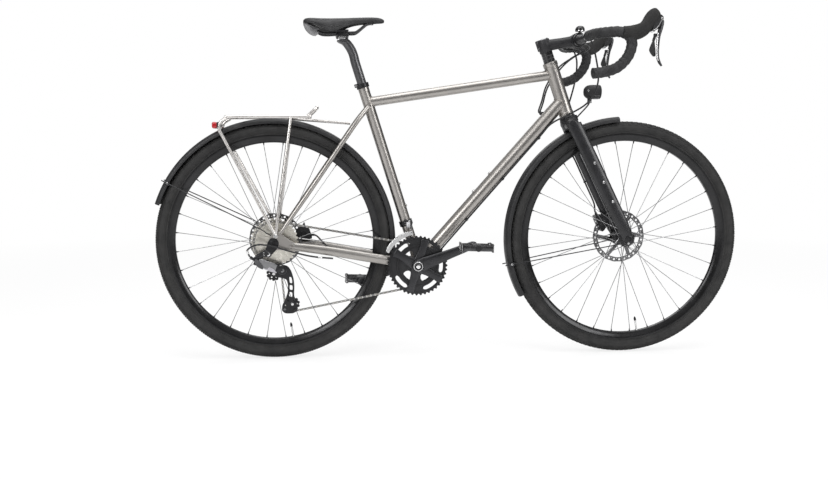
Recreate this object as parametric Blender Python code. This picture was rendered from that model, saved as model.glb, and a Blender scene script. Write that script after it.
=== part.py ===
"""A gravel bicycle with drop bar, two chainrings, disc brakes, mudguards and a rear rack.

Metres, +Z up, +X forward, drive side at -Y. Shapes are worked out in the bicycle's own
coordinates, with x = 0 at the rear axle and z = 0 on the ground. One empty then moves the
whole bicycle half a wheelbase back, so that the origin lies under the middle.
"""

import math

import bmesh
import bpy
from mathutils import Matrix, Vector

# Clearances
GAP = 0.0003
RUN = 0.0010

# Wheels and tyres
WHEELBASE = 1.049
TYRE_R = 0.349
TYRE_W = 0.040
TYRE_H = 0.0380
BEAD_R = TYRE_R - TYRE_H
RIM_DEPTH = 0.0206
RIM_INNER_R = BEAD_R - RIM_DEPTH
RIM_W = 0.0265
RIM_WALL = 0.0030
WHEEL_SEGMENTS = 40
SPOKES = 32
SPOKE_R = 0.0010
SPOKE_LAYER = 0.0017
HUB_FLANGE_R = 0.0260
HUB_FLANGE_T = 0.0030
HUB_BODY_R = 0.0135
FRONT_HUB_W = 0.100
REAR_HUB_W = 0.142
AXLE_R = 0.0060
ROTOR_R = 0.0800
ROTOR_BAND = 0.0140
ROTOR_T = 0.0018
FRONT_ROTOR_Y = 0.0385
REAR_ROTOR_Y = 0.0525

# Frame
BB_CLEARANCE = 0.0700
BB_X = TYRE_R + BB_CLEARANCE
BB_DROP = 0.0725
BB_Z = TYRE_R - BB_DROP
BB_SHELL_W = 0.068
BB_SHELL_R = 0.0230
BB_SLEEVE_R = 0.0172
BB_CUP_R = 0.0225
BB_CUP_W = 0.0085
SPINDLE_R = 0.0120
HEAD_ANGLE = math.radians(71.0)
FORK_OFFSET = 0.048
CROWN_CLEARANCE = 0.0170
HEAD_LOW_Z = 2.0 * TYRE_R + CROWN_CLEARANCE
HEAD_LEN = 0.1655
HEAD_R = 0.0205
HEAD_RING_R = 0.0225
HEAD_RING_W = 0.012
STEERER_R = 0.0143
SEAT_ANGLE = math.radians(72.6)
SEAT_FOOT_FORWARD = 0.009
SADDLE_HEIGHT = 0.7210
SADDLE_TOP_Z = BB_Z + SADDLE_HEIGHT
SEATPOST_SHOWN = 0.2005
SEAT_TOP_Z = SADDLE_TOP_Z - SEATPOST_SHOWN
SEAT_TUBE_R = 0.0158
SEATPOST_R = 0.0136
SEATPOST_DEPTH = 0.090
TOP_TUBE_R = 0.0146
TOP_TUBE_REAR_DROP = 0.0410
TOP_TUBE_REAR_Z = SEAT_TOP_Z - TOP_TUBE_REAR_DROP
TOP_TUBE_FRONT_RISE = 0.1212
TOP_TUBE_FRONT_Z = HEAD_LOW_Z + TOP_TUBE_FRONT_RISE
DOWN_TUBE_R = 0.0200
DOWN_TUBE_TOP_RISE = 0.0433
DOWN_TUBE_TOP_Z = HEAD_LOW_Z + DOWN_TUBE_TOP_RISE
DOWN_TUBE_FOOT_FORWARD = 0.0075
CHAINSTAY_W = 0.0150
CHAINSTAY_H = 0.0285
SEATSTAY_R = 0.0075
SEATSTAY_TOP_DROP = 0.0550
SEATSTAY_TOP_Z = SEAT_TOP_Z - SEATSTAY_TOP_DROP
STAY_BOTTOM_Y = 0.0735
DROPOUT_T = 0.0070
HANGER_X = -0.0165
HANGER_DROP = 0.0293
HANGER_Z = TYRE_R - HANGER_DROP
EYELET_X = 0.006
EYELET_RISE = 0.0230
EYELET_Z = TYRE_R + EYELET_RISE

# Fork
BLADE_TOP_D = 0.0360
BLADE_LOW_D = 0.0240
BLADE_FORE = 0.0056
BLADE_TOP_Y = 0.0345
BLADE_W = 0.0160
FORK_DROP_T = 0.0110
CROWN_H = 0.046

# Mudguards
GUARD_HALF_W = 0.0235
GUARD_T = 0.0020
GUARD_SIDE = 0.0160
REAR_GUARD_GAP = 0.0125
REAR_GUARD_R = TYRE_R + REAR_GUARD_GAP
REAR_GUARD_SHIFT = -0.004
GUARD_LOW_ANGLE = math.radians(-8.0)
FRONT_GUARD_GAP = 0.0145
FRONT_GUARD_R = TYRE_R + FRONT_GUARD_GAP
STAY_WIRE_R = 0.0017

# Rack
RACK_R = 0.0048
RACK_HALF_W = 0.052
RACK_CLEARANCE = 0.0150
RACK_TOP_Z = 2.0 * TYRE_R + RACK_CLEARANCE
RACK_REAR_X = -0.132
RACK_FRONT_X = 0.090
RACK_TIP_X = 0.129
RACK_TIP_RISE = 0.0270
RACK_TIP_Z = RACK_TOP_Z + RACK_TIP_RISE
RACK_STRUT_X = 0.0535
RACK_DROP_X = -0.1525
RACK_END_DROP = 0.0350
RACK_DROP_Z = RACK_TOP_Z - RACK_END_DROP
RACK_CROSS_X = -0.1500
RACK_CROSS_DROP = 0.0230
RACK_CROSS_Z = RACK_TOP_Z - RACK_CROSS_DROP

# Transmission
CHAIN_PITCH = 0.0127
CHAIN_W = 0.0052
CHAIN_H = 0.0075
BIG_RING_TEETH = 43
SMALL_RING_TEETH = 30
BIG_RING_Y = -0.0495
SMALL_RING_Y = -0.0425
RING_T = 0.0024
CRANK_LEN = 0.1725
CRANK_ANGLE = math.radians(20.8)
CRANK_Y = 0.0675
CRANK_T = 0.0125
SPROCKETS = (34, 30, 27, 25, 23, 21, 19, 17, 15, 13, 11)
ENGAGED_SPROCKET = 1
SPROCKET_STEP = 0.00374
SPROCKET_T = 0.0016
CASSETTE_IN_Y = -0.0270
CASSETTE_CORE_R = 0.0175
PULLEY_TEETH = 11
PULLEY_T = 0.0024
GUIDE_X = -0.0035
GUIDE_DROP = 0.0925
TENSION_X = 0.0500
TENSION_DROP = 0.1835
PEDAL_Y = 0.1290
PEDAL_W = 0.0880
PEDAL_L = 0.0960
PEDAL_H = 0.0170

# Seat
SADDLE_L = 0.2355
SADDLE_BEHIND_CLAMP = 0.1132
SADDLE_W = 0.1440
RAIL_R = 0.0035
RAIL_Y = 0.0220
RAIL_DROP = 0.0430
SETBACK = 0.016355147
YOKE_DROP = 0.0170
YOKE_R = 0.0100

# Cockpit
STEM_RISE = 0.048516674
STEM_REACH = 0.096376834
BAR_RISE = 0.0150
BAR_R = 0.0159
BAR_GRIP_R = 0.0119
TAPE_R = 0.0152
BAR_HALF_W = 0.2170
TAPE_START_Y = 0.1200
LAMP_AHEAD = 0.075789676
LAMP_RISE = 0.0700
LAMP_R = 0.0212
LAMP_L = 0.0520
BELL_Y = -0.0350
BELL_R = 0.0140
HOSE_R = 0.0025

REAR_AXLE = Vector((0.0, 0.0, TYRE_R))
FRONT_AXLE = Vector((WHEELBASE, 0.0, TYRE_R))
BB = Vector((BB_X, 0.0, BB_Z))
STEER_UP = Vector((-math.cos(HEAD_ANGLE), 0.0, math.sin(HEAD_ANGLE)))
SEAT_UP = Vector((-math.cos(SEAT_ANGLE), 0.0, math.sin(SEAT_ANGLE)))
AXIS_X = Vector((1.0, 0.0, 0.0))
AXIS_Y = Vector((0.0, 1.0, 0.0))
AXIS_Z = Vector((0.0, 0.0, 1.0))


def on_steering_axis(z):
    foot_x = WHEELBASE - FORK_OFFSET / math.sin(HEAD_ANGLE)
    return Vector((foot_x - (z - TYRE_R) / math.tan(HEAD_ANGLE), 0.0, z))


def on_seat_axis(z):
    foot_x = BB.x + SEAT_FOOT_FORWARD
    return Vector((foot_x - (z - BB.z) / math.tan(SEAT_ANGLE), 0.0, z))


def pitch_radius(teeth):
    return teeth * CHAIN_PITCH / (2.0 * math.pi)


def crank_end(side):
    """The pedal axle's place in the crank's plane: side is -1 on the drive side, 1 on the other."""
    reach = Vector((math.cos(CRANK_ANGLE), 0.0, math.sin(CRANK_ANGLE))) * CRANK_LEN
    return BB - reach * side


HEAD_LOW = on_steering_axis(HEAD_LOW_Z)
HEAD_TOP = HEAD_LOW + STEER_UP * HEAD_LEN
SEAT_TOP = on_seat_axis(SEAT_TOP_Z)
ENGAGED_Y = CASSETTE_IN_Y - ENGAGED_SPROCKET * SPROCKET_STEP
GUIDE_Z = TYRE_R - GUIDE_DROP
TENSION_Z = TYRE_R - TENSION_DROP
GUIDE = Vector((GUIDE_X, ENGAGED_Y, GUIDE_Z))
TENSION = Vector((TENSION_X, ENGAGED_Y, TENSION_Z))
TOOTH_H = 0.0022

STEM_Z = HEAD_TOP.z + STEM_RISE
BAR_X = on_steering_axis(STEM_Z).x + STEM_REACH
BAR_Z = STEM_Z + BAR_RISE
LAMP_X = HEAD_LOW.x + LAMP_AHEAD
LAMP_Z = HEAD_LOW_Z + LAMP_RISE
RAIL_Z = SADDLE_TOP_Z - RAIL_DROP
CLAMP_X = on_seat_axis(RAIL_Z - YOKE_DROP).x - SETBACK
SADDLE_REAR_X = CLAMP_X - SADDLE_BEHIND_CLAMP

# Pivots of the moving bodies
SADDLE_TILT = Vector((CLAMP_X, 0.0, RAIL_Z - YOKE_DROP))
LINK_AXIS = Vector((0.375, 0.0, 0.927)).normalized()
RD_REAR = REAR_AXLE + Vector((-0.050, -0.0870, -0.0480))
RD_FRONT = REAR_AXLE + Vector((0.004, -0.0640, -0.0700))
RD_CAGE_PIVOT = REAR_AXLE + Vector((0.0230, -0.0550, -0.0790))
FD_TOP = BB + Vector((-0.0260, -0.0335, 0.1245))
FD_LOW = BB + Vector((-0.0260, -0.0415, 0.1125))
CALIPER_H = 0.0270
CALIPER_TILT = math.radians(7.0)
REAR_CALIPER = REAR_AXLE + Vector((0.0840, REAR_ROTOR_Y + 0.001, 0.0165))
LAMP_PIVOT = Vector((LAMP_X - 0.0080, 0.0, LAMP_Z - 0.0290))
LEVER_SLOT_W = 0.0150
LEVER_PIVOT = Vector((BAR_X + 0.1660, BAR_HALF_W + 0.003, BAR_Z + 0.0360))
PADDLE_PIVOT = Vector((BAR_X + 0.1580, BAR_HALF_W + 0.003, BAR_Z - 0.0050))

BODY_PIVOTS = {
    "frame": Vector((0.0, 0.0, 0.0)),
    "seatpost": SEAT_TOP,
    "saddle_cradle": SADDLE_TILT,
    "saddle": SADDLE_TILT,
    "rear_wheel": REAR_AXLE,
    "cassette": REAR_AXLE,
    "crank": BB,
    "pedal_right": crank_end(-1),
    "pedal_left": crank_end(1),
    "rd_outer_link": RD_REAR,
    "rd_inner_link": RD_REAR,
    "rd_knuckle": RD_FRONT,
    "rd_cage": RD_CAGE_PIVOT,
    "guide_pulley": GUIDE,
    "tension_pulley": TENSION,
    "fd_link": FD_TOP,
    "fd_cage": FD_LOW,
    "steering": HEAD_LOW,
    "front_wheel": FRONT_AXLE,
    "headlamp": LAMP_PIVOT,
    "brake_lever_right": Vector((LEVER_PIVOT.x, -LEVER_PIVOT.y, LEVER_PIVOT.z)),
    "brake_lever_left": LEVER_PIVOT,
    "shift_paddle_right": Vector((PADDLE_PIVOT.x, -PADDLE_PIVOT.y, PADDLE_PIVOT.z)),
    "shift_paddle_left": PADDLE_PIVOT,
}

# Colour, roughness and metallic value of each material
MATERIALS = {
    "titanium": ((0.46, 0.42, 0.38), 0.42, 0.9),
    "rack_titanium": ((0.52, 0.48, 0.44), 0.40, 0.9),
    "satin_black": ((0.020, 0.020, 0.022), 0.45, 0.0),
    "black_alloy": ((0.025, 0.025, 0.028), 0.38, 0.6),
    "black_plastic": ((0.022, 0.022, 0.023), 0.55, 0.0),
    "rubber": ((0.028, 0.028, 0.029), 0.85, 0.0),
    "tape": ((0.030, 0.030, 0.031), 0.80, 0.0),
    "steel": ((0.62, 0.62, 0.62), 0.30, 1.0),
    "nickel": ((0.55, 0.54, 0.51), 0.32, 1.0),
    "dark_steel": ((0.22, 0.22, 0.23), 0.35, 1.0),
    "red_lens": ((0.55, 0.02, 0.03), 0.20, 0.0),
}

EMPTIES = {}
MESHES = {}


def clear_scene():
    for obj in list(bpy.data.objects):
        bpy.data.objects.remove(obj)


def make_materials():
    for name, (colour, roughness, metallic) in MATERIALS.items():
        material = bpy.data.materials.new(name)
        material.use_nodes = True
        shader = material.node_tree.nodes["Principled BSDF"]
        shader.inputs["Base Color"].default_value = (*colour, 1.0)
        shader.inputs["Roughness"].default_value = roughness
        shader.inputs["Metallic"].default_value = metallic
        MESHES[name] = material


def make_empties():
    """One empty for the whole bicycle, and under it one on the pivot of each body."""
    whole = bpy.data.objects.new("bicycle", None)
    bpy.context.collection.objects.link(whole)
    whole.location = (-WHEELBASE / 2.0, 0.0, 0.0)
    for body, pivot in BODY_PIVOTS.items():
        empty = bpy.data.objects.new("pivot_" + body, None)
        bpy.context.collection.objects.link(empty)
        empty.parent = whole
        empty.location = pivot
        EMPTIES[body] = empty


def mirrored(points):
    return [Vector((p[0], -p[1], p[2])) for p in points]


def mesh_of(rings, closed=False, caps=True):
    """A solid through rings of equally many points. A ring of one point is a pole."""
    bm = bmesh.new()
    made = [[bm.verts.new(p) for p in ring] for ring in rings]
    pairs = list(zip(made, made[1:]))
    if closed:
        pairs.append((made[-1], made[0]))
    for low, high in pairs:
        if len(low) == 1 and len(high) == 1:
            continue
        count = max(len(low), len(high))
        for i in range(count):
            j = (i + 1) % count
            if len(low) == 1:
                bm.faces.new((low[0], high[j], high[i]))
            elif len(high) == 1:
                bm.faces.new((low[i], low[j], high[0]))
            else:
                bm.faces.new((low[i], low[j], high[j], high[i]))
    if caps and not closed:
        for ring in (made[0], made[-1]):
            if len(ring) > 2:
                bm.faces.new(ring)
    return finish_mesh(bm)


def finish_mesh(bm):
    bmesh.ops.recalc_face_normals(bm, faces=bm.faces[:])
    if bm.calc_volume(signed=True) < 0.0:
        bmesh.ops.reverse_faces(bm, faces=bm.faces[:])
    mesh = bpy.data.meshes.new("shape")
    bm.to_mesh(mesh)
    bm.free()
    return mesh


def add_object(name, mesh, body, material):
    obj = bpy.data.objects.new(name, mesh)
    bpy.context.collection.objects.link(obj)
    mesh.transform(Matrix.Translation(-BODY_PIVOTS[body]))
    obj.parent = EMPTIES[body]
    mesh.materials.append(MESHES[material])
    return obj


def part(name, body, material, solids, cuts=()):
    """One named object: its solids joined into one body, then its cuts taken away."""
    obj = add_object(name, solids[0], body, material)
    extras = [("UNION", mesh) for mesh in solids[1:]] + [("DIFFERENCE", mesh) for mesh in cuts]
    for count, (operation, mesh) in enumerate(extras):
        helper = add_object(f"{name}_helper_{count}", mesh, body, material)
        helper.hide_render = True
        helper.display_type = "WIRE"
        modifier = obj.modifiers.new(operation.lower(), "BOOLEAN")
        modifier.operation = operation
        modifier.object = helper
    obj.data.shade_smooth()
    obj.data.set_sharp_from_angle(angle=math.radians(40.0))
    return obj


def frame_of(direction, up=None):
    """Two unit vectors across a direction: the first level where it can be, the second upward."""
    along = Vector(direction).normalized()
    up = Vector(up) if up else (AXIS_Z if abs(along.z) < 0.98 else AXIS_X)
    side = along.cross(up).normalized()
    return side, side.cross(along).normalized()


def ellipse(centre, side, up, half_w, half_h, count, phase=0.0):
    points = []
    for i in range(count):
        angle = 2.0 * math.pi * (i + phase) / count
        points.append(centre + side * (half_w * math.cos(angle)) + up * (half_h * math.sin(angle)))
    return points


def sweep(path, sizes, count=8, up=None, closed=False):
    """A tube along a path. Each size is a radius, or a pair of half width and half height."""
    path = [Vector(p) for p in path]
    if not isinstance(sizes, (list, tuple)) or isinstance(sizes[0], float) and len(sizes) != len(path):
        sizes = [sizes] * len(path)
    rings = []
    last = len(path) - 1
    side = None
    for i, point in enumerate(path):
        before = path[i - 1] if i or closed else point
        after = path[(i + 1) % len(path)] if i < last or closed else point
        along = ((after - point).normalized() + (point - before).normalized()).normalized()
        if up is not None or side is None:
            side, over = frame_of(along, up)
        else:
            side = (side - along * side.dot(along)).normalized()
            over = side.cross(along).normalized()
        half_w, half_h = sizes[i] if isinstance(sizes[i], (list, tuple)) else (sizes[i], sizes[i])
        rings.append(ellipse(point, side, over, half_w, half_h, count))
    return mesh_of(rings, closed=closed)


def turned(profile, centre, axis, count=16, phase=0.0):
    """A closed profile of (radius, distance along the axis) turned all the way round."""
    side, up = frame_of(axis)
    axis = Vector(axis).normalized()
    rings = []
    for radius, along in profile:
        at = Vector(centre) + axis * along
        rings.append([at] if radius < 1e-6 else ellipse(at, side, up, radius, radius, count, phase))
    if len(rings[0]) == 1:
        return mesh_of(rings, caps=False)
    return mesh_of(rings, closed=True)


def cylinder(start, end, radius, count=12):
    start, end = Vector(start), Vector(end)
    return sweep([start, end], radius, count)


def ring_profile(inner, outer, low, high):
    return [(outer, low), (outer, high), (inner, high), (inner, low)]


def side_plate(loops, y_low, y_high):
    """A flat plate in the XZ plane: the first loop is its outline, and the others are holes."""
    bm = bmesh.new()
    edges = []
    walls = []
    for loop in loops:
        verts = [bm.verts.new((x, y_low, z)) for x, z in loop]
        pairs = list(zip(verts, verts[1:] + verts[:1]))
        edges += [bm.edges.new(pair) for pair in pairs]
        walls += pairs
    bmesh.ops.triangle_fill(bm, use_beauty=True, use_dissolve=False, edges=edges)
    copies = {v: bm.verts.new((v.co.x, y_high, v.co.z)) for v in bm.verts[:]}
    for face in bm.faces[:]:
        bm.faces.new([copies[v] for v in reversed(face.verts)])
    for a, b in walls:
        bm.faces.new((a, b, copies[b], copies[a]))
    return finish_mesh(bm)


def bore_radius(radius, count):
    """The radius of a bore with flats, one gap outside the round piece that it holds."""
    return (radius + GAP) / math.cos(math.pi / count)


def circle_points(centre, radius, count, start=0.0):
    step = 2.0 * math.pi / count
    return [
        (centre[0] + radius * math.cos(start + step * i), centre[1] + radius * math.sin(start + step * i))
        for i in range(count)
    ]


def gear_points(centre, teeth, radius, height, start=0.0):
    """Two points a tooth, one on the tip and one in the root, round a centre in XZ."""
    points = []
    for i in range(2 * teeth):
        angle = start + math.pi * i / teeth
        reach = radius + (height if i % 2 == 0 else -height)
        points.append((centre[0] + reach * math.cos(angle), centre[1] + reach * math.sin(angle)))
    return points


def block(centre, size, turn=0.0, bevel=0.0):
    """A box whose length lies along X before it is turned about Y."""
    bm = bmesh.new()
    bmesh.ops.create_cube(bm, size=1.0)
    bmesh.ops.scale(bm, vec=size, verts=bm.verts[:])
    if bevel:
        bmesh.ops.bevel(bm, geom=bm.edges[:], offset=bevel, segments=1, affect="EDGES", profile=0.5)
    matrix = Matrix.Translation(Vector(centre)) @ Matrix.Rotation(turn, 4, "Y")
    bmesh.ops.transform(bm, matrix=matrix, verts=bm.verts[:])
    return finish_mesh(bm)


def smooth_path(points, per_span):
    """Points on a smooth curve through the given ones."""
    points = [Vector(p) for p in points]
    ends = [2 * points[0] - points[1]] + points + [2 * points[-1] - points[-2]]
    path = []
    for i in range(1, len(ends) - 2):
        a, b, c, d = ends[i - 1 : i + 3]
        for step in range(per_span):
            t = step / per_span
            path.append(
                0.5 * (2 * b + (c - a) * t + (2 * a - 5 * b + 4 * c - d) * t**2
                       + (3 * b - a - 3 * c + d) * t**3)
            )
    path.append(points[-1])
    return path


def hose(points, radius=HOSE_R, per_span=3, count=6):
    return sweep(smooth_path(points, per_span), radius, count)


# Wheels


def make_tyre(name, body, axle):
    half = TYRE_W / 2.0
    profile = [
        (BEAD_R + GAP, -RIM_W / 2.0 + 0.001),
        (TYRE_R - 0.020, -half),
        (TYRE_R - 0.0060, -half * 0.70),
        (TYRE_R, -half * 0.20),
        (TYRE_R, half * 0.20),
        (TYRE_R - 0.0060, half * 0.70),
        (TYRE_R - 0.020, half),
        (BEAD_R + GAP, RIM_W / 2.0 - 0.001),
    ]
    part(name, body, "rubber", [turned(profile, axle, AXIS_Y, WHEEL_SEGMENTS)])


def make_rim(name, body, axle):
    half = RIM_W / 2.0
    profile = [
        (BEAD_R, -half),
        (BEAD_R, half),
        (BEAD_R - 0.0055, half),
        (RIM_INNER_R, half * 0.45),
        (RIM_INNER_R, -half * 0.45),
        (BEAD_R - 0.0055, -half),
    ]
    part(name, body, "black_alloy", [turned(profile, axle, AXIS_Y, WHEEL_SEGMENTS)])


def spoke_line(axle, index, flange_y):
    """One spoke, from near its flange's rim to just short of the wheel's rim, laced tangentially."""
    rim_angle = 2.0 * math.pi * (index + 0.5) / SPOKES
    way = 1.0 if (index // 2) % 2 else -1.0
    lean = math.radians(52.0) * way
    layer = SPOKE_LAYER * way
    hub_angle = rim_angle + lean
    start_r = HUB_FLANGE_R - 0.004
    end_r = RIM_INNER_R * math.cos(math.pi / WHEEL_SEGMENTS) - GAP
    start = axle + Vector((start_r * math.cos(hub_angle), flange_y + layer, start_r * math.sin(hub_angle)))
    rim_y = flange_y * 0.10 + layer * 0.8
    end = axle + Vector((end_r * math.cos(rim_angle), rim_y, end_r * math.sin(rim_angle)))
    return start, end


def make_hub_and_spokes(name, body, axle, right_y, left_y, right_end, left_end, rotor_y):
    """The hub shell with its two flanges, and the spokes laced to them."""
    bore = AXLE_R + GAP
    half_t = HUB_FLANGE_T / 2.0
    seat_r = 0.0165
    profile = [
        (bore, right_end),
        (0.0100, right_end),
        (HUB_BODY_R, right_y - 0.006 if right_end < right_y - 0.006 else right_y),
        (HUB_FLANGE_R, right_y - half_t),
        (HUB_FLANGE_R, right_y + half_t),
        (HUB_BODY_R, right_y + 0.007),
        (HUB_BODY_R, left_y - 0.007),
        (HUB_FLANGE_R, left_y - half_t),
        (HUB_FLANGE_R, left_y + half_t),
        (seat_r, left_y + 0.006),
        (seat_r, rotor_y - ROTOR_T / 2.0 - GAP),
        (0.0100, rotor_y - ROTOR_T / 2.0 - GAP),
        (0.0100, left_end),
        (bore, left_end),
    ]
    solids = [turned(profile, axle, AXIS_Y, 12)]
    for index in range(SPOKES):
        flange_y = left_y if index % 2 else right_y
        start, end = spoke_line(axle, index, flange_y)
        solids.append(sweep([start, end], SPOKE_R * 1.25, 3))
    part(name, body, "steel", solids)


def make_rotor(name, body, axle, y):
    """A brake disc: a band with five arms to a hub ring, cut out between them."""
    outline = circle_points((axle.x, axle.z), ROTOR_R, 30)
    bore = circle_points((axle.x, axle.z), 0.0105, 10)
    inner = ROTOR_R - ROTOR_BAND
    arms = 6
    loops = [outline, bore[::-1]]
    for arm in range(arms):
        start = 2.0 * math.pi * arm / arms
        wide = 2.0 * math.pi / arms
        window = []
        for share in (0.10, 0.37, 0.64, 0.90):
            angle = start + wide * share
            window.append((axle.x + inner * math.cos(angle), axle.z + inner * math.sin(angle)))
        for share in (1.02, 0.62):
            angle = start + wide * share
            window.append((axle.x + 0.024 * math.cos(angle), axle.z + 0.024 * math.sin(angle)))
        loops.append(window[::-1])
    part(name, body, "steel", [side_plate(loops, y - ROTOR_T / 2.0, y + ROTOR_T / 2.0)])


def make_wheels():
    make_tyre("rear_tyre", "rear_wheel", REAR_AXLE)
    make_rim("rear_rim", "rear_wheel", REAR_AXLE)
    half = REAR_HUB_W / 2.0
    make_hub_and_spokes("rear_hub_spokes", "rear_wheel", REAR_AXLE, -0.0185, 0.0350,
                        CASSETTE_IN_Y + 0.0040, half - GAP, REAR_ROTOR_Y)
    make_rotor("rear_rotor", "rear_wheel", REAR_AXLE, REAR_ROTOR_Y)
    make_tyre("front_tyre", "front_wheel", FRONT_AXLE)
    make_rim("front_rim", "front_wheel", FRONT_AXLE)
    half = FRONT_HUB_W / 2.0
    make_hub_and_spokes("front_hub_spokes", "front_wheel", FRONT_AXLE, -0.0350, 0.0230,
                        -half + GAP, half - GAP, FRONT_ROTOR_Y)
    make_rotor("front_rotor", "front_wheel", FRONT_AXLE, FRONT_ROTOR_Y)


def make_axles():
    """Both through axles: a plain rod with a round head on the drive side."""
    for name, body, axle, half, wall in (
        ("rear_axle", "frame", REAR_AXLE, REAR_HUB_W / 2.0, DROPOUT_T),
        ("front_axle", "steering", FRONT_AXLE, FRONT_HUB_W / 2.0, FORK_DROP_T),
    ):
        end = half + wall
        profile = [
            (0.0, -end - 0.0035),
            (0.0085, -end - 0.0035),
            (0.0085, -end - GAP),
            (AXLE_R, -end - GAP),
            (AXLE_R, end + 0.0015),
            (0.0, end + 0.0015),
        ]
        part(name, body, "steel", [turned(profile, axle, AXIS_Y, 12)])


# Frame


def chainstay_path(side):
    return [
        Vector((BB.x - 0.010, side * 0.022, BB.z + 0.003)),
        Vector((BB.x - 0.058, side * 0.0318, BB.z + 0.0110)),
        Vector((BB.x - 0.085, side * 0.0345, BB.z + 0.0155)),
        Vector((BB.x - 0.150, side * 0.0450, BB.z + 0.0270)),
        REAR_AXLE + Vector((0.150, side * 0.0600, -0.0235)),
        REAR_AXLE + Vector((0.045, side * STAY_BOTTOM_Y, -0.0080)),
    ]


def on_seatstay(share, bow, y):
    """A point beside the straight line from a seatstay's foot to its top, bowed to the rear."""
    foot = REAR_AXLE + Vector((0.0120, 0.0, 0.0200))
    top = on_seat_axis(SEATSTAY_TOP_Z) - AXIS_X * 0.0040
    return foot.lerp(top, share) + Vector((-bow, y, 0.0))


def seatstay_path(side):
    return [
        on_seatstay(1.0, 0.0, side * 0.0120),
        on_seatstay(0.8900804, 0.0038692, side * 0.0290),
        on_seatstay(0.7372654, 0.0032019, side * 0.0370),
        on_seatstay(0.3243968, 0.0003288, side * 0.0575),
        on_seatstay(0.0, 0.0, side * STAY_BOTTOM_Y),
    ]


def seat_bridge():
    """The middle of the tube that joins the seatstays."""
    return on_seatstay(0.8284182, 0.0034596, 0.0)


def dropout_plate(side):
    """The plate that the stays end in. On the drive side it carries the hanger."""
    outline = [
        (0.060, -0.0150), (0.060, 0.0010), (0.026, 0.0250), (0.0140, 0.0340), (-0.0010, 0.0320),
        (-0.0120, 0.0150), (-0.0150, -0.0030), (-0.0060, -0.0140), (0.0200, -0.0190),
    ]
    if side < 0:
        outline[7:8] = [
            (-0.0200, -0.0160), (-0.0265, -0.0270), (-0.0240, -0.0380), (-0.0120, -0.0400), (-0.0040, -0.0300),
        ]
    outline = [(REAR_AXLE.x + x, REAR_AXLE.z + z) for x, z in outline]
    inner = REAR_HUB_W / 2.0
    low, high = sorted((side * inner, side * (inner + DROPOUT_T)))
    return side_plate([outline], low, high)


def boss(at, direction, radius=0.0042, length=0.003):
    at, direction = Vector(at), Vector(direction).normalized()
    return cylinder(at, at + direction * length, radius, 6)


def down_tube_ends():
    low = Vector((BB.x + DOWN_TUBE_FOOT_FORWARD, 0.0, BB.z))
    return low, on_steering_axis(DOWN_TUBE_TOP_Z)


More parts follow.
